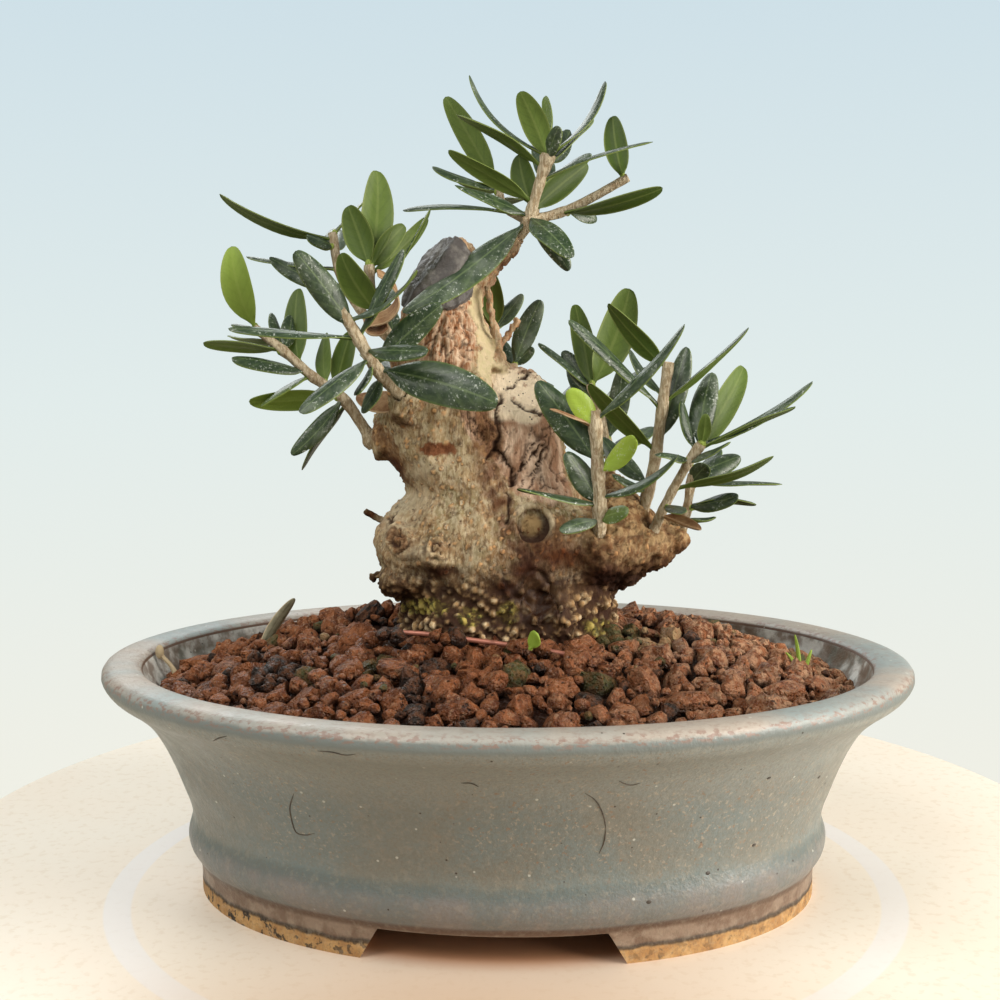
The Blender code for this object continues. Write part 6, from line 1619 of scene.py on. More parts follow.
def dress_bark(bark, mesh):
    places = bark.places
    relief = 0.30 * noise_of(places, 0.34, 4) * (1.0 - bark.sawn)
    relief += 0.10 * noise_of(places, (1.2, 1.2, 0.5), 2, 40.0)
    # dark: cracks, and painted shade in the gaps, troughs, grooves and crevice of the relief
    dark = np.zeros(len(places))

    warts = cells_of(places, WARTS_PER_MM)
    small = cells_of(places, WARTS_PER_MM * 1.6, 70.0)
    wart = np.maximum(dome(warts[:, 0], 0.40), 0.7 * dome(small[:, 0], 0.42))
    relief += bark.warts * WART_RISE * (wart - 0.45)
    # painted shade: the gaps between the warts are darkened
    dark = np.maximum(dark, bark.warts * step_between(wart, 0.42, 0.1) * 0.9)
    store(mesh, "wart", bark.warts * step_between(wart, 0.45, 0.88))

    spots = cells_of(places, LENTICELS_PER_MM, 12.0)
    size = np.clip(0.21 + 0.14 * noise_of(places, 0.2, 1, 3.0), 0.05, 0.4)
    lenticel = dome(spots[:, 0], size) * bark.bark * (1.0 - 0.7 * bark.warts)
    relief += LENTICEL_RISE * lenticel
    store(mesh, "lenticel", step_between(lenticel, 0.05, 0.6))
    halo = step_between(np.abs(spots[:, 0] / size - 1.2), 0.25, 0.05) * bark.bark * (1.0 - bark.warts)
    # painted shade: a dark ring round the larger lenticels
    dark = np.maximum(dark, 0.6 * halo * step_between(size, 0.12, 0.2))

    plates = cells_of(places + 2.6 * noise_of(places, 0.16, 2, 34.0)[:, None], PLATES_PER_MM, 33.0)
    seam = plates[:, 1] - plates[:, 0]
    relief += bark.plates * (0.55 * step_between(seam, 0.02, 0.28) - 0.35)
    fibre = noise_of(places, FIBRES_PER_MM, 3, 8.0)
    woody = np.maximum(bark.deadwood, 0.6 * bark.plates)
    relief += 0.30 * fibre * woody * (1.0 - 0.85 * bark.sawn) * (1.0 - 0.75 * bark.deadwood)
    relief += 0.50 * noise_of(places, (0.22, 0.22, 0.09), 2, 61.0) * bark.deadwood * (1.0 - bark.sawn)
    split = cells_of(places, (0.36, 0.36, 0.16), 51.0)
    split_seam = split[:, 1] - split[:, 0]
    crack = step_between(split_seam, 0.05, 0.01) * bark.deadwood * (1.0 - bark.sawn)
    relief -= 0.30 * crack
    dark = np.maximum(dark, np.maximum(0.75 * crack, bark.plates * step_between(seam, 0.10, 0.02) * 0.8))
    for line, width in DEADWOOD_CRACKS:
        near = distance_to_line(bark.pixels, line)
        here = np.exp(-(near / (width * 1.25)) ** 2) * step_between(bark.front, 0.0, 0.5)
        relief -= 0.55 * width * here
        dark = np.maximum(dark, step_between(here, 0.25, 0.8))

    crumb = cells_of(places + 0.7 * bark.swirl[:, None], 0.36, 77.0)
    crumb_seam = crumb[:, 1] - crumb[:, 0]
    ridge = 1.0 - 2.0 * np.abs(noise_of(places, 0.26, 3, 25.0))
    crumbly = np.maximum(bark.lobe, 0.8 * bark.burls)
    crumbs = 0.20 * step_between(crumb_seam, 0.02, 0.30) - 0.15
    relief += crumbly * (crumbs + 0.50 * np.clip(ridge, -0.6, 1.0))
    relief += crumbly * 0.30 * noise_of(places, 0.9, 3, 14.0)
    dark = np.maximum(dark, crumbly * step_between(crumb_seam, 0.09, 0.02) * 0.6)
    # painted shade: the troughs of the ridged relief on the lobe and the burls
    dark = np.maximum(dark, crumbly * step_between(ridge, 0.30, -0.30) * 0.5)
    relief -= 0.45 * bark.scar
    for (middle_x, middle_y), reach, turn in BURLS:
        off_x = bark.pixels[:, 0] - middle_x
        off_y = bark.pixels[:, 1] - middle_y
        out = np.hypot(off_x, off_y)
        here = np.exp(-(out / reach) ** 4) * bark.front
        curl = np.sin(0.8 * out + 3.2 * bark.swirl + turn)
        relief += here * (0.65 * curl + 0.25)
        # painted shade: the troughs of the curled burl relief
        dark = np.maximum(dark, here * step_between(curl, -0.25, -0.75))
        bark.burls = np.maximum(bark.burls, here)

    knot = np.linalg.norm(places - np.array(KNOT_CENTRE), axis=1)
    on_knot = step_between(knot, KNOT_RADIUS + 0.3, KNOT_RADIUS - 0.3) * bark.front
    low_right = (places - np.array(KNOT_CENTRE)) @ np.array((0.55, 0.0, -0.83))
    groove = np.exp(-((knot - KNOT_RADIUS - 0.40) / (0.38 + 0.13 * np.clip(low_right, 0.0, 3.0))) ** 2)
    groove *= np.clip(1.15 + 0.4 * bark.swirl + 0.3 * low_right, 0.45, 1.4) * bark.front
    relief += 0.10 * np.cos(knot * math.tau / 0.75) * on_knot - 0.70 * groove
    # painted shade: the groove round the knot is darkened, most at its lower right
    dark = np.maximum(dark, groove)
    collar = np.exp(-((knot - KNOT_RADIUS - 1.5) / 0.7) ** 2) * bark.front
    above = step_between((places - np.array(KNOT_CENTRE)) @ np.array((0.6, 0.0, 0.8)), -1.2, 1.2)
    collar *= step_between(noise_of(places, 0.45, 3, 31.0), -0.25, 0.35) * above
    relief += 0.30 * collar

    cave = cells_of(places, 0.33, 64.0)
    relief -= bark.crevice * (0.5 + 1.6 * step_between(cave[:, 0], 0.25, 0.75))
    # painted shade: the crevice is darkened almost to black
    dark = np.maximum(dark, bark.crevice * (0.80 + 0.20 * step_between(cave[:, 0], 0.3, 0.6)))

    # painted shade: wood that faces down is darkened
    underside = step_between(-bark.normals[:, 2], 0.15, 0.75)
    move_points(mesh, places + bark.normals * (np.clip(relief, -2.2, 1.2) * bark.free)[:, None])
    lichen = np.zeros(len(places))
    for patch in LICHEN_PATCHES:
        lichen = np.maximum(lichen, bark.front * inside_spot(bark.pixels, patch, 2.0))
    at_foot = step_between(places[:, 2], 59.0, 53.0) * step_between(bark.swirl, 0.0, 0.35)
    lichen = np.maximum(lichen, at_foot * (1.0 - bark.front) * 0.9)
    # painted shade down the fold, broken up by noise
    fold = step_between(distance_to_line(bark.pixels, FOLD_SHADE_LINE), 23.0, 3.0) * bark.front
    fold *= step_between(noise_of(places, 0.5, 4, 17.0), -0.75, 0.2)
    stain = np.max([step_between(distance_to_line(bark.pixels, line), reach, 0.3 * reach)
                    for line, reach in STAINED_EDGES], axis=0) * bark.front
    hollow_shade_and_stub = np.max([inside_spot(bark.pixels, spot, 1.3) for spot in SHADED_HOLLOWS_AND_STUB], axis=0) * bark.front
    pale = np.max([inside_spot(bark.pixels, spot, 1.0) for spot in PALE_PATCHES], axis=0) * bark.front
    for name, values in (("deadwood", bark.deadwood), ("sawn", bark.sawn), ("plates", bark.plates),
                         ("cream", bark.cream), ("scar", bark.scar), ("warty", bark.warts),
                         ("dark", dark), ("lichen", lichen), ("fold", fold), ("stain", stain),
                         ("lobe", np.maximum(bark.lobe, 0.45 * bark.burls)), ("under", underside),
                         ("collar", collar), ("hollow_shade_and_stub", hollow_shade_and_stub), ("pale", pale),
                         ("knot", on_knot), ("wet", bark.crevice)):
        store(mesh, name, np.clip(values, 0.0, 1.0))


dress_bark(bark, trunk.data)
print("bark relief is on")

# %% [markdown]
# ### The look of the wood
#
# One material covers the whole trunk. It starts from the grey-green bark and lays the zones over it
# one after another, each broken up by fine noise, so that no edge between two zones is clean.
# Cracks are darkened last, together with painted shade in the gaps between warts, in the troughs of
# the relief, round the lenticels and the knot and in the crevice at the foot. Painted shade also
# darkens the hollows, the fold and the faces that look down, and moss and yellow lichen lie near the soil.

# %% Bark material
BARK_GREY = (0.42, 0.30, 0.165)
BARK_GREEN = (0.255, 0.205, 0.10)
BARK_TAN = (0.36, 0.175, 0.075)
BARK_CREAM = (0.66, 0.55, 0.38)
BARK_SHADE = (0.10, 0.045, 0.018)
LENTICEL_TAN = (0.62, 0.35, 0.155)
WART_TAN = (0.42, 0.25, 0.11)
WART_PALE = (0.64, 0.49, 0.30)
WART_GAP_SHADE = (0.030, 0.012, 0.005)
WART_GAP_SHADE_PALE = (0.17, 0.095, 0.040)
PLATE_LIGHT = (0.72, 0.54, 0.38)
PLATE_BROWN = (0.30, 0.12, 0.05)
DEADWOOD_LIGHT = (0.76, 0.56, 0.41)
DEADWOOD_BROWN = (0.36, 0.20, 0.12)
SAWN_WOOD = (0.94, 0.77, 0.56)
CREAM_WOOD = (0.58, 0.49, 0.28)
SCAR_BROWN = (0.11, 0.036, 0.014)
SCAR_RED = (0.25, 0.10, 0.045)
STAIN_BROWN = (0.32, 0.17, 0.075)
FOLD_SHADE_TINT = (0.38, 0.27, 0.25)
SHADE_AND_STUB_TINT = (0.17, 0.068, 0.028)
LOBE_BROWN = (0.18, 0.080, 0.030)
LOBE_PALE = (0.39, 0.255, 0.125)
KNOT_YELLOW = (0.25, 0.165, 0.075)
LICHEN_YELLOW = (0.40, 0.32, 0.075)
MOSS_GREEN = (0.06, 0.065, 0.015)
CRACK_AND_SHADE_DARK = (0.035, 0.014, 0.008)


def make_bark():
    olive = Finish("olive_bark_fine", 0.75, 0.15)
    fine = olive.mottle(1.1, 0.32, 0.68, 6.0)
    fibres = olive.mottle(1.6, 0.35, 0.65, 5.0, olive.stretched((1.0, 1.0, 0.12)))
    drawn_up = olive.stretched((1.0, 1.0, 0.45))
    drawn_far = olive.stretched((1.0, 1.0, 0.35))

    def zone(top, mask, share=1.0):
        """Lay a colour where a mask of the trunk says so, with an edge that fine noise breaks up."""
        edge = olive.plus(olive.read(mask), olive.times(fine, 0.30))
        olive.lay(top, olive.ranged(edge, 0.32, 0.85), share)

    def blend(per_mm, low, high, first, second, detail=6.0, at=None):
        return olive.mixed(olive.mottle(per_mm, low, high, detail, at), first, second)

    olive.tone = blend(0.13, 0.38, 0.62, BARK_GREY, BARK_GREEN, 5.0)
    olive.lay(BARK_TAN, olive.mottle(0.5, 0.45, 0.62, 6.0), 0.45)
    speckle = olive.mottle(1.7, 0.44, 0.62, 4.0, drawn_up)
    olive.lay(BARK_CREAM, speckle, 0.50)
    olive.lay(BARK_CREAM, olive.mottle(0.26, 0.50, 0.66, 6.0), 0.5)
    ring = olive.maths("MAXIMUM", olive.specks(0.34, 0.32, 0.75), olive.specks(0.62, 0.30, 0.35))
    bump = olive.maths("MAXIMUM", olive.specks(0.34, 0.23, 0.75), olive.specks(0.62, 0.22, 0.35))
    olive.lay(BARK_SHADE, ring, 0.40)
    olive.lay(olive.mixed(speckle, LENTICEL_TAN, BARK_CREAM), bump, 0.85)
    olive.lay(BARK_SHADE, olive.mottle(1.3, 0.49, 0.62, 6.0, drawn_up), 0.58)
    olive.lay(BARK_CREAM, olive.read("pale"), 0.55)
    # painted shade in the fold, tinted mauve-brown
    olive.lay(FOLD_SHADE_TINT, olive.read("fold"), mode="MULTIPLY")
    zone(blend(0.7, 0.40, 0.60, LOBE_BROWN, LOBE_PALE), "lobe", 0.85)
    wood = blend(0.32, 0.40, 0.62, DEADWOOD_BROWN, DEADWOOD_LIGHT, 6.0, drawn_far)
    zone(olive.mixed(olive.times(fibres, 0.4), wood, DEADWOOD_BROWN), "deadwood")
    plate = olive.mixed(fibres, PLATE_BROWN, PLATE_LIGHT)
    zone(olive.mixed(olive.times(fine, 0.4), plate, BARK_TAN), "plates")
    zone(olive.mixed(olive.times(fine, 0.5), CREAM_WOOD, PLATE_LIGHT), "cream", 0.9)
    zone(olive.mixed(fine, STAIN_BROWN, SCAR_BROWN), "stain", 0.70)
    sawn = blend(0.5, 0.56, 0.74, SAWN_WOOD, DEADWOOD_BROWN, 4.0)
    olive.lay(olive.mixed(olive.specks(1.1, 0.22), sawn, CRACK_AND_SHADE_DARK), olive.read("sawn"))
    zone(olive.mixed(fine, SCAR_BROWN, SCAR_RED), "scar")
    olive.lay(LENTICEL_TAN, olive.read("lenticel"), 0.8)
    # painted shade: near-black gaps between the warts
    gap_shade = blend(0.3, 0.4, 0.6, WART_GAP_SHADE, WART_GAP_SHADE_PALE, 5.0)
    knobs = blend(0.9, 0.42, 0.6, WART_TAN, WART_PALE, 5.0)
    zone(olive.mixed(olive.read("wart"), gap_shade, knobs), "warty", 0.93)
    olive.lay(BARK_CREAM, olive.read("collar"), 0.5)
    # painted shade in the hollows, and the stub's own dark colour
    olive.lay(SHADE_AND_STUB_TINT, olive.read("hollow_shade_and_stub"), mode="MULTIPLY")
    olive.lay(blend(0.9, 0.5, 0.66, KNOT_YELLOW, SCAR_BROWN, 4.0), olive.read("knot"))
    zone(blend(0.8, 0.45, 0.6, LICHEN_YELLOW, MOSS_GREEN, 4.0), "lichen", 0.85)
    # painted shade on the faces that look down, in the lobe's brown
    olive.lay(LOBE_BROWN, olive.read("under"), 0.75, "MULTIPLY")
    # cracks, and painted shade in the gaps, troughs, grooves and crevice, are darkened last
    olive.lay(CRACK_AND_SHADE_DARK, olive.read("dark"), 0.95)
    olive.lay(CRACK_AND_SHADE_DARK, olive.specks(0.5, 0.12, 0.4), 0.7)
    shine = olive.mixed(olive.read("wet"), grey(0.78), grey(0.32))
    relief = olive.plus(olive.shaken(0.9, 6.0, 0.65, drawn_up),
                        olive.times(olive.times(fibres, olive.read("deadwood")), 0.9))
    return olive.done(olive.plus(relief, olive.times(bump, 0.55)), 0.42, 0.85, shine)


seat_piece(trunk, [make_bark()], ["trunk"], 180.0)

# %% [markdown]
# ### Wound sealant
#
# The grower sawed off the old top and brushed the cut with a dark paste, which dried to a wrinkled
# grey-violet skin. The frame's solid is that skin already, so its copy is only remeshed finely
# and wrinkled. The wrinkles are noise drawn out along the wood.

# %% Sealant
SEALANT_VOXEL = 0.3
SEALANT_INSIDE = (-13.0, -2.0, 118.0)
SEALANT_DARK = (0.072, 0.063, 0.060)
SEALANT_PALE = (0.140, 0.128, 0.115)
SEALANT_DUST = (0.22, 0.20, 0.17)


def make_sealant():
    sealant = remeshed(object_from(merged_copy("wound_sealant"), "sealant_skin"), SEALANT_VOXEL, 3)
    places, normals = points_of(sealant.data)
    outwards = places - np.array(SEALANT_INSIDE)
    outer = step_between(np.sum(outwards * normals, axis=1), 0.0, 2.0)
    folds = noise_of(places, (0.24, 0.24, 0.15), 2, 17.0)
    relief = 0.55 * (np.abs(folds) - 0.35) + 0.10 * noise_of(places, 1.1, 2)
    move_points(sealant.data, places + normals * (relief * outer)[:, None])
    return sealant


def make_sealant_surface():
    skin = Finish("sealant_dry", 0.5, 0.35)
    skin.tone = skin.mixed(skin.mottle(0.35, 0.4, 0.65, 6.0), SEALANT_DARK, SEALANT_PALE)
    skin.lay(SEALANT_DUST, skin.specks(0.8, 0.2, 0.25), 0.6)
    return skin.done(skin.shaken(1.2, 5.0), 0.3, 0.7)


seat_piece(make_sealant(), [make_sealant_surface()], ["wound_sealant"], 60.0)

# %% [markdown]
# ### Tie wire
#
# A copper-coloured wire holds the root ball. It comes up through the soil, passes the front of the
# trunk and goes down again through the pot's floor. It is a smooth round tube, half hidden
# between the grains, with a satin metal coat that has lost its shine here and there.

# %% Wire
WIRE_RADIUS = 0.5
WIRE_STEP = 1.4
WIRE_SIDES = 12
WIRE_TONES = ((0.42, 0.16, 0.11), (0.24, 0.09, 0.06))
WIRE_ROUTE = [
    (-5.0, 0.0, 5.4), (-11.6, 0.0, 5.4), (-13.0, 0.0, 7.0), (-13.0, 0.0, 14.0), (-15.0, -3.0, 22.0),
    (-22.0, -8.0, 30.0), (-27.0, -13.0, 42.0), *WIRE_TOP, (24.5, -16.0, 38.0), (21.0, -8.0, 28.0),
    (14.5, -2.5, 20.0), (13.0, 0.0, 13.0), (13.0, 0.0, 7.0), (11.6, 0.0, 5.4), (5.0, 0.0, 5.4),
]


def make_wire():
    bm = bmesh.new()
    tube_along(bm, smooth_route(WIRE_ROUTE, WIRE_STEP), lambda share, angle: WIRE_RADIUS, WIRE_SIDES)
    bmesh.ops.recalc_face_normals(bm, faces=bm.faces)
    return object_from(bm, "copper_wire")


def make_wire_surface():
    coat = Finish("copper_coat", 0.4)
    coat.tone = coat.mixed(coat.mottle(0.3, 0.45, 0.65), *WIRE_TONES)
    coat.shader.inputs["Metallic"].default_value = 0.35
    return coat.done(coat.shaken(1.0), 0.1, 0.4)


seat_piece(make_wire(), [make_wire_surface()], ["tie_wire"])

# %% [markdown]
# ### One leaf
#
# A wild olive leaf is a leathery blade on a short stalk: oblong, blunt at the tip, a little folded
# along its midrib, with rolled edges. The template is a flat grid that solidify turns into a thin
# closed shell, with its flat place kept as a UV map. Every leaf is a copy of that shell, bent by
# one formula from its foot to its tip, so the UV map still says where the midrib and the edge are.

# %% Leaf template
LEAF_ACROSS = 8
LEAF_ALONG = 18
PETIOLE_SHARE = 0.08
PETIOLE_HALF_WIDTH = 0.42
LEAF_HALF_THICKNESS = 0.25
LEAF_LEAN = 0.9
LEAF_FOLD = 0.09
LEAF_ROLL = 0.30
MIDRIB_GROOVE = 0.10
MIDRIB_RIDGE = 0.20
LEAST_FACING = 0.28
LEAF_TWIST = 0.34
LEAF_SWAY = 0.045
UPPER, UNDER, TWIG, CUT, DRY = range(5)
# A dead leaf that rolled up: x and z of its near edge, the depth of that edge, and the way to its far edge
ROLLED_EDGE = [(-23.5, 122.4), (-21.9, 121.3), (-20.2, 119.5), (-19.5, 117.3), (-20.1, 115.4), (-21.6, 114.0),
               (-23.6, 113.3), (-25.3, 113.1), (-26.1, 112.2), (-25.0, 111.2), (-22.8, 111.2), (-21.5, 112.2)]
ROLLED_DEPTH = -12.5
ROLLED_ACROSS = (-0.9, 3.6, 2.4)


def keep_flat_place(face, layer):
    """Keep where a face lies on the flat leaf: across from -1 to 1, and along from 0 to 1."""
    for loop in face.loops:
        loop[layer].uv = (loop.vert.co.x, (loop.vert.co.y + 1.0) / 2.0)


def make_leaf_template():
    bm = bmesh.new()
    bmesh.ops.create_grid(bm, x_segments=LEAF_ACROSS, y_segments=LEAF_ALONG, size=1.0)
    bmesh.ops.solidify(bm, geom=bm.faces[:], thickness=0.5)
    bmesh.ops.recalc_face_normals(bm, faces=bm.faces)
    middle = sum(vert.co.z for vert in bm.verts) / len(bm.verts)
    for vert in bm.verts:
        vert.co.z = 1.0 if vert.co.z > middle else -1.0
    bm.normal_update()
    layer = bm.loops.layers.uv.new("leaf_uv")
    for face in bm.faces:
        face.material_index = UPPER if face.normal.z > 0.5 else UNDER
        keep_flat_place(face, layer)
    mesh = bpy.data.meshes.new("leaf_template")
    bm.to_mesh(mesh)
    bm.free()
    return mesh


def leaf_half_width(share, width):
    """Half width of the blade at a share of its length, with the stalk before it."""
    if share <= PETIOLE_SHARE:
        return PETIOLE_HALF_WIDTH
    along = (share - PETIOLE_SHARE) / (1.0 - PETIOLE_SHARE)
    blunt = 0.78 - 0.36 * min(1.0, along * 1.6)
    blade = 0.54 * width * max(0.0, math.sin(math.pi * along ** LEAF_LEAN)) ** blunt
    stalk = PETIOLE_HALF_WIDTH * max(0.0, 1.0 - along * 5.0)
    return max(blade, stalk)


def tilted_to_view(up_way, axis):
    """Turn a leaf that would be seen exactly from its edge a little, as the leaves in the photo are."""
    towards = (-forward - axis * -forward.dot(axis)).normalized()
    facing = up_way.dot(towards)
    if abs(facing) >= LEAST_FACING:
        return up_way
    across = (up_way - towards * facing).normalized()
    sign = 1.0 if facing > 0.0 else -1.0
    return across * math.sqrt(1.0 - LEAST_FACING ** 2) + towards * (LEAST_FACING * sign)


def step_smooth(value, low, high):
    share = min(1.0, max(0.0, (value - low) / (high - low)))
    return share * share * (3.0 - 2.0 * share)


def add_leaf(bm, layers, blade, look, draw):
    """Bend a copy of the template from a leaf's foot to its tip."""
    base, tip, width, facing, arch = blade
    base = Vector(base)
    tip = Vector(tip)
    length = (tip - base).length
    axis = (tip - base) / length
    up_way = (Vector(facing) - axis * Vector(facing).dot(axis)).normalized()
    up_way = tilted_to_view(up_way, axis)
    side = axis.cross(up_way)
    twist = draw.uniform(-LEAF_TWIST, LEAF_TWIST)
    sway = draw.uniform(-LEAF_SWAY, LEAF_SWAY) * length
    hook = draw.uniform(-0.04, 0.16) * length
    fold = LEAF_FOLD * draw.uniform(0.4, 1.7)
    roll = LEAF_ROLL * draw.uniform(0.6, 1.35)
    wave = draw.uniform(0.03, 0.12)
    swing = draw.uniform(0.0, math.tau)
    curl = look.get("curl", 0.0)
    before = len(bm.verts)
    faces_before = len(bm.faces)
    bm.from_mesh(leaf_template)
    bm.verts.ensure_lookup_table()
    bm.faces.ensure_lookup_table()
    for vert in bm.verts[before:]:
        across = vert.co.x
        run = (vert.co.y + 1.0) / 2.0
        share = 0.1 * run + 0.9 * (1.0 - math.cos(math.pi * run)) / 2.0
        half = leaf_half_width(share, width)
        blade_part = step_smooth(share, PETIOLE_SHARE, PETIOLE_SHARE + 0.1)
        thick = LEAF_HALF_THICKNESS * math.sqrt(max(0.05, 1.0 - 0.85 * across ** 2))
        thick = thick * blade_part + PETIOLE_HALF_WIDTH * (1.0 - blade_part) * math.sqrt(1.02 - across ** 2)
        thick *= min(1.0, (1.0 - share) * 14.0 + 0.15)
        lift = half * (fold * abs(across) ** 1.2 - roll * across ** 2) * blade_part
        lift += wave * math.sin(share * 9.0 + swing) * abs(across) * blade_part
        aside = half * across
        if curl:
            turn = across * curl
            aside = half * math.sin(turn) / curl
            lift = half * (1.0 - math.cos(turn)) / curl
        rib = math.exp(-(across / 0.16) ** 2) * blade_part * min(1.0, 3.0 * (1.0 - share))
        lift -= (MIDRIB_GROOVE if vert.co.z > 0.0 else MIDRIB_RIDGE) * rib
        lean = twist * (2.0 * share - 0.6)
        side_here = side * math.cos(lean) + up_way * math.sin(lean)
        up_here = up_way * math.cos(lean) - side * math.sin(lean)
        spot = base + axis * length * share + up_way * arch * 4.0 * share * (1.0 - share)
        spot += side * sway * 4.0 * share * (1.0 - share) + up_way * hook * (share ** 3 - share)
        vert.co = spot + side_here * aside + up_here * (lift + thick * vert.co.z)
        vert[layers["age"]] = look.get("age", 0.0)
        vert[layers["tint"]] = look.get("tint", 0.5)
    if look.get("dry"):
        for face in bm.faces[faces_before:]:
            face.material_index = DRY


def add_rolled_leaf(bm, layers):
    """The dead leaf in the left of the crown, which rolled up along its length."""
    route = smooth_route([(x, ROLLED_DEPTH, z) for x, z in ROLLED_EDGE], 0.5)
    steps = len(route) - 1
    made = bmesh.ops.create_grid(bm, x_segments=6, y_segments=steps, size=1.0)["verts"]
    faces = list(dict.fromkeys(face for vert in made for face in vert.link_faces))
    for face in faces:
        face.material_index = DRY
        keep_flat_place(face, bm.loops.layers.uv["leaf_uv"])
    for vert in made:
        along = (vert.co.y + 1.0) / 2.0
        out = (vert.co.x + 1.0) / 2.0 * (0.55 + 0.45 * math.sin(math.pi * along) ** 0.5)
        vert.co = route[round(along * steps)] + Vector(ROLLED_ACROSS) * out
        vert[layers["age"]] = 0.0
        vert[layers["tint"]] = 0.8
    bm.normal_update()
    bmesh.ops.solidify(bm, geom=faces, thickness=0.28)


leaf_template = make_leaf_template()
print("faces in one leaf:", len(leaf_template.polygons))

# %% [markdown]
# ### Twigs
#
# The young wood is grey-beige, ribbed along its length, with a swollen joint wherever a leaf
# stands, and a pale face where it was cut. A twig is a tube along a smooth curve whose radius
# wavers with the angle for the ribs. Its foot flares where it comes out of the trunk, and a small
# green bud sits in the joint of each leaf.

# %% Leafy stems
LEAF_SEED = 5
TWIG_STEP = 0.9
TWIG_SIDES = 14
TWIG_SINK = 1.3
RIB_SHARE = 0.09
FLARE_SHARE = 0.75
FLARE_REACH = 1.5
JOINT_SWELL = 0.11
JOINT_REACH = 0.9
BUD_RADIUS = 0.62
WELD_REACH = 0.0005
# Leaves that look unlike the rest: young ones, a fresh tip, dead ones, and an upright leaf made paler and
# yellower as painted light, by stem and number
LEAF_LOOKS = {
    ("spray_right_front", 0): {"age": 1.0},
    ("spray_right_front", 3): {"age": 0.85},
    ("spray_right_front", 1): {"dry": True, "tint": 0.8},
    ("spray_right_front", 8): {"age": 0.2},
    ("spray_left_inner", 6): {"dry": True, "rolled": True},
    ("spray_right_outer", 10): {"dry": True, "curl": 1.5, "tint": 0.3},
    ("spray_left_front", 10): {"dry": True, "tint": 0.5},
    ("spray_left_far", 8): {"age": 0.2},
    ("spray_left_far", 9): {"age": 0.2},
    # painted light: this upright leaf is made paler and yellower where it catches the light
    ("spray_left_far", 0): {"age": 0.3, "tint": 1.0},
}


def place_along(path, share):
    """The point at a share of a path's length."""
    points = [Vector(point) for point in path]
    lengths = [(b - a).length for a, b in zip(points, points[1:])]
    left = share * sum(lengths)
    for start, end, length in zip(points, points[1:], lengths):
        if left <= length or end is points[-1]:
            return start.lerp(end, min(1.0, left / length))
        left -= length
    return points[-1]


def add_twig(bm, layers, path, foot, end, joints, draw):
    """One ribbed twig with swollen joints, a flared foot and a pale cut end."""
    start = Vector(path[0])
    out = (Vector(path[1]) - start).normalized()
    route = smooth_route([start - out * TWIG_SINK] + list(path), TWIG_STEP)
    length = TWIG_STEP * (len(route) - 1)
    phase = draw.uniform(0.0, math.tau)
    before = len(bm.verts)

    def radius_at(share, angle):
        radius = foot + (end - foot) * share
        radius *= 1.0 + RIB_SHARE * math.cos(5.0 * angle + phase + 0.7 * share)
        radius *= 1.0 + 0.05 * noise.noise(Vector((share * length * 0.8, angle, phase)))
        radius *= 1.0 + FLARE_SHARE * math.exp(-((share * length - TWIG_SINK) / FLARE_REACH) ** 2)
        for joint in joints:
            radius *= 1.0 + JOINT_SWELL * math.exp(-((share - joint) * length / JOINT_REACH) ** 2)
        return radius

    last = tube_along(bm, route, radius_at, TWIG_SIDES)
    bm.verts.ensure_lookup_table()
    for vert in bm.verts[before:]:
        for face in vert.link_faces:
            face.material_index = TWIG
        vert[layers["age"]] = 0.0
        vert[layers["tint"]] = draw.random() * 0.2 + 0.4
    rim = bmesh.ops.inset_region(bm, faces=last, thickness=end * 0.25, depth=-0.08)["faces"]
    for face in last + rim:
        face.material_index = CUT


def add_bud(bm, layers, place, draw):
    made = bmesh.ops.create_icosphere(bm, subdivisions=2, radius=BUD_RADIUS * draw.uniform(0.8, 1.2))["verts"]
    for vert in made:
        vert.co.z *= 1.4
        vert.co += place
        vert[layers["age"]] = 0.7
        for face in vert.link_faces:
            face.material_index = TWIG


def start_leaves():
    """A bmesh with the age and the tint that the finishes read."""
    bm = bmesh.new()
    return bm, {name: bm.verts.layers.float.new(name) for name in ("age", "tint")}


def make_spray(name, stems, leaves, number):
    draw = random.Random(LEAF_SEED + number)
    bm, layers = start_leaves()
    for index, (path, foot, end) in enumerate(stems):
        joints = [share for stem, share, *_ in leaves if stem == index]
        add_twig(bm, layers, path, foot, end, joints, draw)
    for index, (stem, share, tip, width, facing, arch) in enumerate(leaves):
        base = place_along(stems[stem][0], share)
        look = dict({"tint": draw.random()}, **LEAF_LOOKS.get((name, index), {}))
        if look.get("rolled"):
            add_rolled_leaf(bm, layers)
            continue
        add_leaf(bm, layers, (base, tip, width, facing, arch), look, draw)
        if not look.get("dry"):
            towards = (Vector(tip) - base).normalized()
            add_bud(bm, layers, base + towards * 0.6, draw)
    bmesh.ops.remove_doubles(bm, verts=bm.verts, dist=WELD_REACH)
    return object_from(bm, name + "_leaves")


print("looks of their own:", len(LEAF_LOOKS))

# %% [markdown]
# ### The look of leaves and twigs
#
# The upper side is dark blue-green with a thin pale midrib, faint side veins and white dust that
# has settled in specks. The underside is a paler olive green with pale edges, and its tint runs from
# a shaded green to a brighter one, painted light that stands in for light shining through a backlit
# leaf. The UV map places the midrib and the edge, the age turns a leaf yellow-green, and the tint
# sets each leaf a little apart from its neighbours. Dead leaves and cut wood have materials of their own.

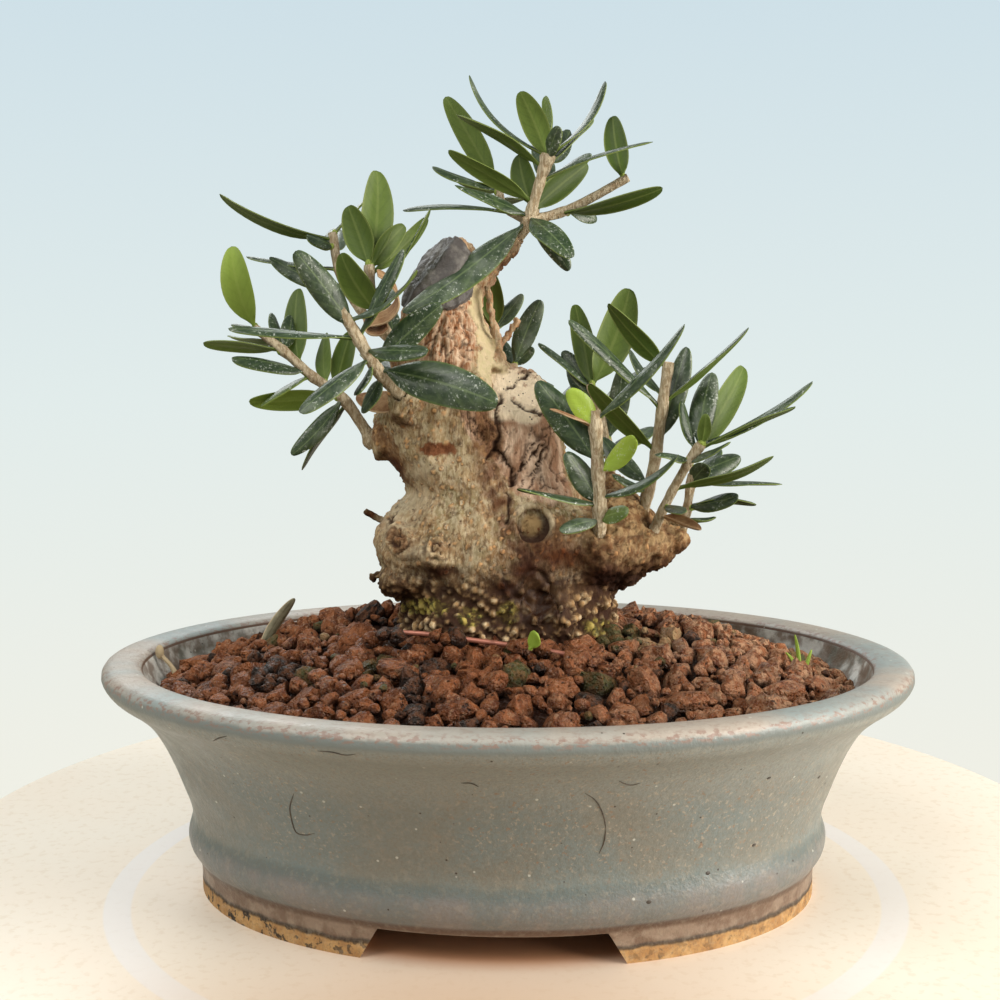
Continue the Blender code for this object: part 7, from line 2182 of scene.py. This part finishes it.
# %% Leaf materials
LEAF_DARK = (0.016, 0.036, 0.012)
LEAF_BLUE = (0.027, 0.047, 0.022)
LEAF_RIB = (0.12, 0.17, 0.07)
LEAF_DUST = (0.42, 0.47, 0.40)
DUST_SPECK = (0.60, 0.64, 0.58)
UNDER_SHADED_GREEN = (0.045, 0.080, 0.007)
UNDER_PALE_AND_BACKLIT = (0.135, 0.195, 0.038)
UNDER_EDGE = (0.18, 0.225, 0.06)
YOUNG_GREEN = (0.33, 0.46, 0.050)
TWIG_GREY = (0.33, 0.245, 0.145)
TWIG_PALE = (0.56, 0.47, 0.33)
TWIG_RED = (0.26, 0.12, 0.055)
TWIG_SPECK = (0.52, 0.43, 0.31)
CUT_WOOD_TONES = ((0.56, 0.43, 0.29), (0.38, 0.24, 0.13))
JOINT_GREEN = (0.27, 0.34, 0.07)
DRY_EDGE = (0.66, 0.49, 0.31)
DEAD_LEAF_TONES = ((0.40, 0.25, 0.13), (0.21, 0.105, 0.05))


class LeafFinish(Finish):
    """A finish that also knows where the midrib and the edge of a leaf are, from the UV map."""

    def __init__(self, name, roughness, gloss=0.5):
        super().__init__(name, roughness, gloss)
        flat = self.put("UVMap", uv_map="leaf_uv").outputs["UV"]
        self.across = self.maths("ABSOLUTE", self.part_of(flat, "X"))
        self.along = self.part_of(flat, "Y")

    def side_veins(self):
        """Faint veins that leave the midrib at a slant."""
        slant = self.maths("SUBTRACT", self.times(self.along, 60.0), self.times(self.across, 9.0))
        return self.ranged(self.maths("SINE", slant), 0.55, 1.0)

    def lay_across(self, top, low, high, share):
        """Lay a colour over the midrib or the edge: full where the way across the leaf reaches high."""
        self.lay(top, self.ranged(self.across, low, high), share)


def make_leaf_top():
    leaf = LeafFinish("olive_leaf_top", 0.38)
    tint = leaf.read("tint")
    leaf.tone = leaf.mixed(tint, LEAF_DARK, LEAF_BLUE)
    leaf.lay(LEAF_RIB, leaf.mottle(0.5, 0.4, 0.7), 0.35)
    veins = leaf.times(leaf.side_veins(), 0.14)
    leaf.lay(LEAF_RIB, veins)
    leaf.lay_across(LEAF_RIB, 0.09, 0.03, 0.7)
    leaf.lay_across(UNDER_PALE_AND_BACKLIT, 0.88, 0.99, 0.45)
    leaf.lay(YOUNG_GREEN, leaf.read("age"))
    film = leaf.times(leaf.mottle(0.22, 0.45, 0.72, 5.0), leaf.ranged(tint, 0.1, 0.9))
    leaf.lay(LEAF_DUST, film, 0.18)
    dust = leaf.times(leaf.mottle(1.9, 0.56, 0.68, 4.0), leaf.mottle(0.28, 0.42, 0.60))
    leaf.lay(DUST_SPECK, dust, leaf.ranged(leaf.across, 0.3, 0.9, 0.45, 0.9))
    relief = leaf.maths("SUBTRACT", leaf.shaken(1.4), leaf.times(veins, 2.0))
    return leaf.done(relief, 0.10, 0.5, leaf.mixed(film, grey(0.34), grey(0.62)))


def make_leaf_under():
    leaf = LeafFinish("olive_leaf_under", 0.55, 0.3)
    # painted light: each underside lies between a shaded green and a brighter, backlit green
    leaf.tone = leaf.mixed(leaf.read("tint"), UNDER_SHADED_GREEN, UNDER_PALE_AND_BACKLIT)
    leaf.lay(UNDER_SHADED_GREEN, leaf.mottle(0.3, 0.4, 0.65), 0.25)
    leaf.lay(LEAF_DARK, leaf.side_veins(), 0.12)
    leaf.lay_across(UNDER_EDGE, 0.82, 0.97, 0.75)
    leaf.lay_across(UNDER_EDGE, 0.14, 0.03, 0.40)
    leaf.lay(YOUNG_GREEN, leaf.read("age"))
    return leaf.done(leaf.shaken(1.8), 0.10, 0.5)


def make_twig_surface():
    twig = Finish("olive_twig", 0.7, 0.2)
    grain = twig.mottle(1.9, 0.38, 0.60, 6.0, twig.stretched((1.0, 1.0, 0.35)))
    twig.tone = twig.mixed(grain, TWIG_GREY, TWIG_PALE)
    twig.lay(TWIG_RED, twig.mottle(0.35, 0.5, 0.7), 0.28)
    twig.lay(TWIG_SPECK, twig.specks(0.9, 0.2, 0.4))
    twig.lay(JOINT_GREEN, twig.ranged(twig.read("age"), 0.2, 0.6))
    return twig.done(twig.plus(grain, twig.shaken(1.3)), 0.22, 0.7)


def make_cut_wood():
    cut_face = Finish("cut_twig", 0.7)
    cut_face.tone = cut_face.mixed(cut_face.mottle(1.2), *CUT_WOOD_TONES)
    return cut_face.done()


def make_dry_leaf(name, light, dark):
    leaf = LeafFinish(name, 0.7, 0.25)
    leaf.tone = leaf.mixed(leaf.mottle(0.3, 0.35, 0.65, 6.0), light, dark)
    leaf.lay(dark, leaf.side_veins(), 0.3)
    leaf.lay_across(light, 0.12, 0.04, 0.5)
    leaf.lay_across(DRY_EDGE, 0.86, 0.96, 0.6)
    return leaf.done(leaf.shaken(1.0, 5.0), 0.25, 0.6)


leaf_under = make_leaf_under()
dead_leaf = make_dry_leaf("dead_leaf", *DEAD_LEAF_TONES)
leaf_materials = [make_leaf_top(), leaf_under, make_twig_surface(), make_cut_wood(), dead_leaf]
for number, (spray_name, (stems, leaves)) in enumerate(SPRAYS.items()):
    spray = make_spray(spray_name, stems, leaves, number)
    seat_piece(spray, leaf_materials, [spray_name], 60.0)

# %% [markdown]
# ## Small things on the soil
#
# A dry olive leaf has fallen and stands in the grit on the left, a scrap of green leaf lies before
# the trunk, a tuft of grass grows on the right, and a dry sprout stands at the left end. The leaf,
# the scrap and the grass use the same leaf template, with narrow blades for the grass, and the sprout
# is a twig with a bud.

# %% Small things
FALLEN_LEAF = ((-52.4, 3.0, 44.6), (-44.3, 5.0, 57.0), 2.3, (0.6, -0.6, 0.3), -1.2)
GREEN_SCRAP = ((6.15, -27.0, 53.4), (7.2, -28.2, 57.0), 2.6, (-0.4, -1.0, 0.5), 0.2)
GRASS_FOOT = (59.6, -2.0, 43.0)
GRASS_BLADES = [
    ((58.3, -2.0, 51.6), 0.75, (0, -1, 0.1), 0.3),
    ((56.4, -3.0, 48.2), 0.7, (0.4, -1, 0.5), 0.5),
    ((61.8, -1.0, 48.4), 0.7, (0.4, -1, 0.3), 0.4),
]
FALLEN_LEAF_TONES = ((0.34, 0.31, 0.21), (0.20, 0.18, 0.115))
SPROUT_TONES = ((0.52, 0.42, 0.27), (0.34, 0.25, 0.14))
SPROUT_STEM = [(-67.6, 0.0, 40.0), (-69.4, 0.0, 43.4), (-71.0, 0.0, 45.2), (-71.8, 0.0, 46.4)]
SPROUT_RADIUS = 0.5
SPROUT_SEED = 2
SPROUT_BUD_HALF_SIZE = (0.9, 0.8, 1.5)


def make_blades(name, blades, look):
    """A piece of one or more leaves that stand by themselves."""
    draw = random.Random(LEAF_SEED)
    bm, layers = start_leaves()
    for blade in blades:
        add_leaf(bm, layers, blade, look, draw)
    bmesh.ops.remove_doubles(bm, verts=bm.verts, dist=WELD_REACH)
    return object_from(bm, name)


def make_sprout():
    bm, layers = start_leaves()
    add_twig(bm, layers, SPROUT_STEM, SPROUT_RADIUS, SPROUT_RADIUS * 0.8, [0.4], random.Random(SPROUT_SEED))
    bud = bmesh.ops.create_icosphere(bm, subdivisions=3, radius=1.0)["verts"]
    bmesh.ops.scale(bm, vec=SPROUT_BUD_HALF_SIZE, verts=bud)
    bmesh.ops.translate(bm, vec=SPROUT_STEM[-1], verts=bud)
    return object_from(bm, "dry_sprout_fine")


fallen_skin = make_dry_leaf("fallen_leaf_skin", *FALLEN_LEAF_TONES)
sprout_skin = make_dry_leaf("sprout_skin", *SPROUT_TONES)
grass_blades = [(GRASS_FOOT, *blade) for blade in GRASS_BLADES]
for blades_name, blades, look, skin, slot, solid in (
        ("fallen_leaf_fine", [FALLEN_LEAF], {"tint": 0.5}, fallen_skin, "dry_leaf", "fallen_leaf"),
        ("green_scrap_fine", [GREEN_SCRAP], {"age": 0.65}, leaf_under, "fresh_green", "green_scrap"),
        ("grass_fine", grass_blades, {"age": 0.55}, leaf_under, "fresh_green", "grass")):
    seat_piece(make_blades(blades_name, blades, look), [skin, skin], [solid])
seat_piece(make_sprout(), [sprout_skin], ["dry_sprout"])

# %% [markdown]
# ## Drain mesh
#
# Two squares of black plastic mesh lie over the drain holes under the soil. The frame's solids
# have their shape already, so they only get a moulded plastic finish.

# %% Drain mesh
PLASTIC_TONES = ((0.018, 0.018, 0.019), (0.035, 0.033, 0.031))


def make_plastic():
    plastic = Finish("black_mesh", 0.45)
    plastic.tone = plastic.mixed(plastic.mottle(0.4), *PLASTIC_TONES)
    return plastic.done(plastic.shaken(1.5), 0.08, 0.4)


plastic = make_plastic()
for mesh_name in ("drain_mesh_left", "drain_mesh_right"):
    drain_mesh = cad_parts[mesh_name]
    for held in drain_mesh.material_slots:
        held.material = plastic
print("drain meshes finished")
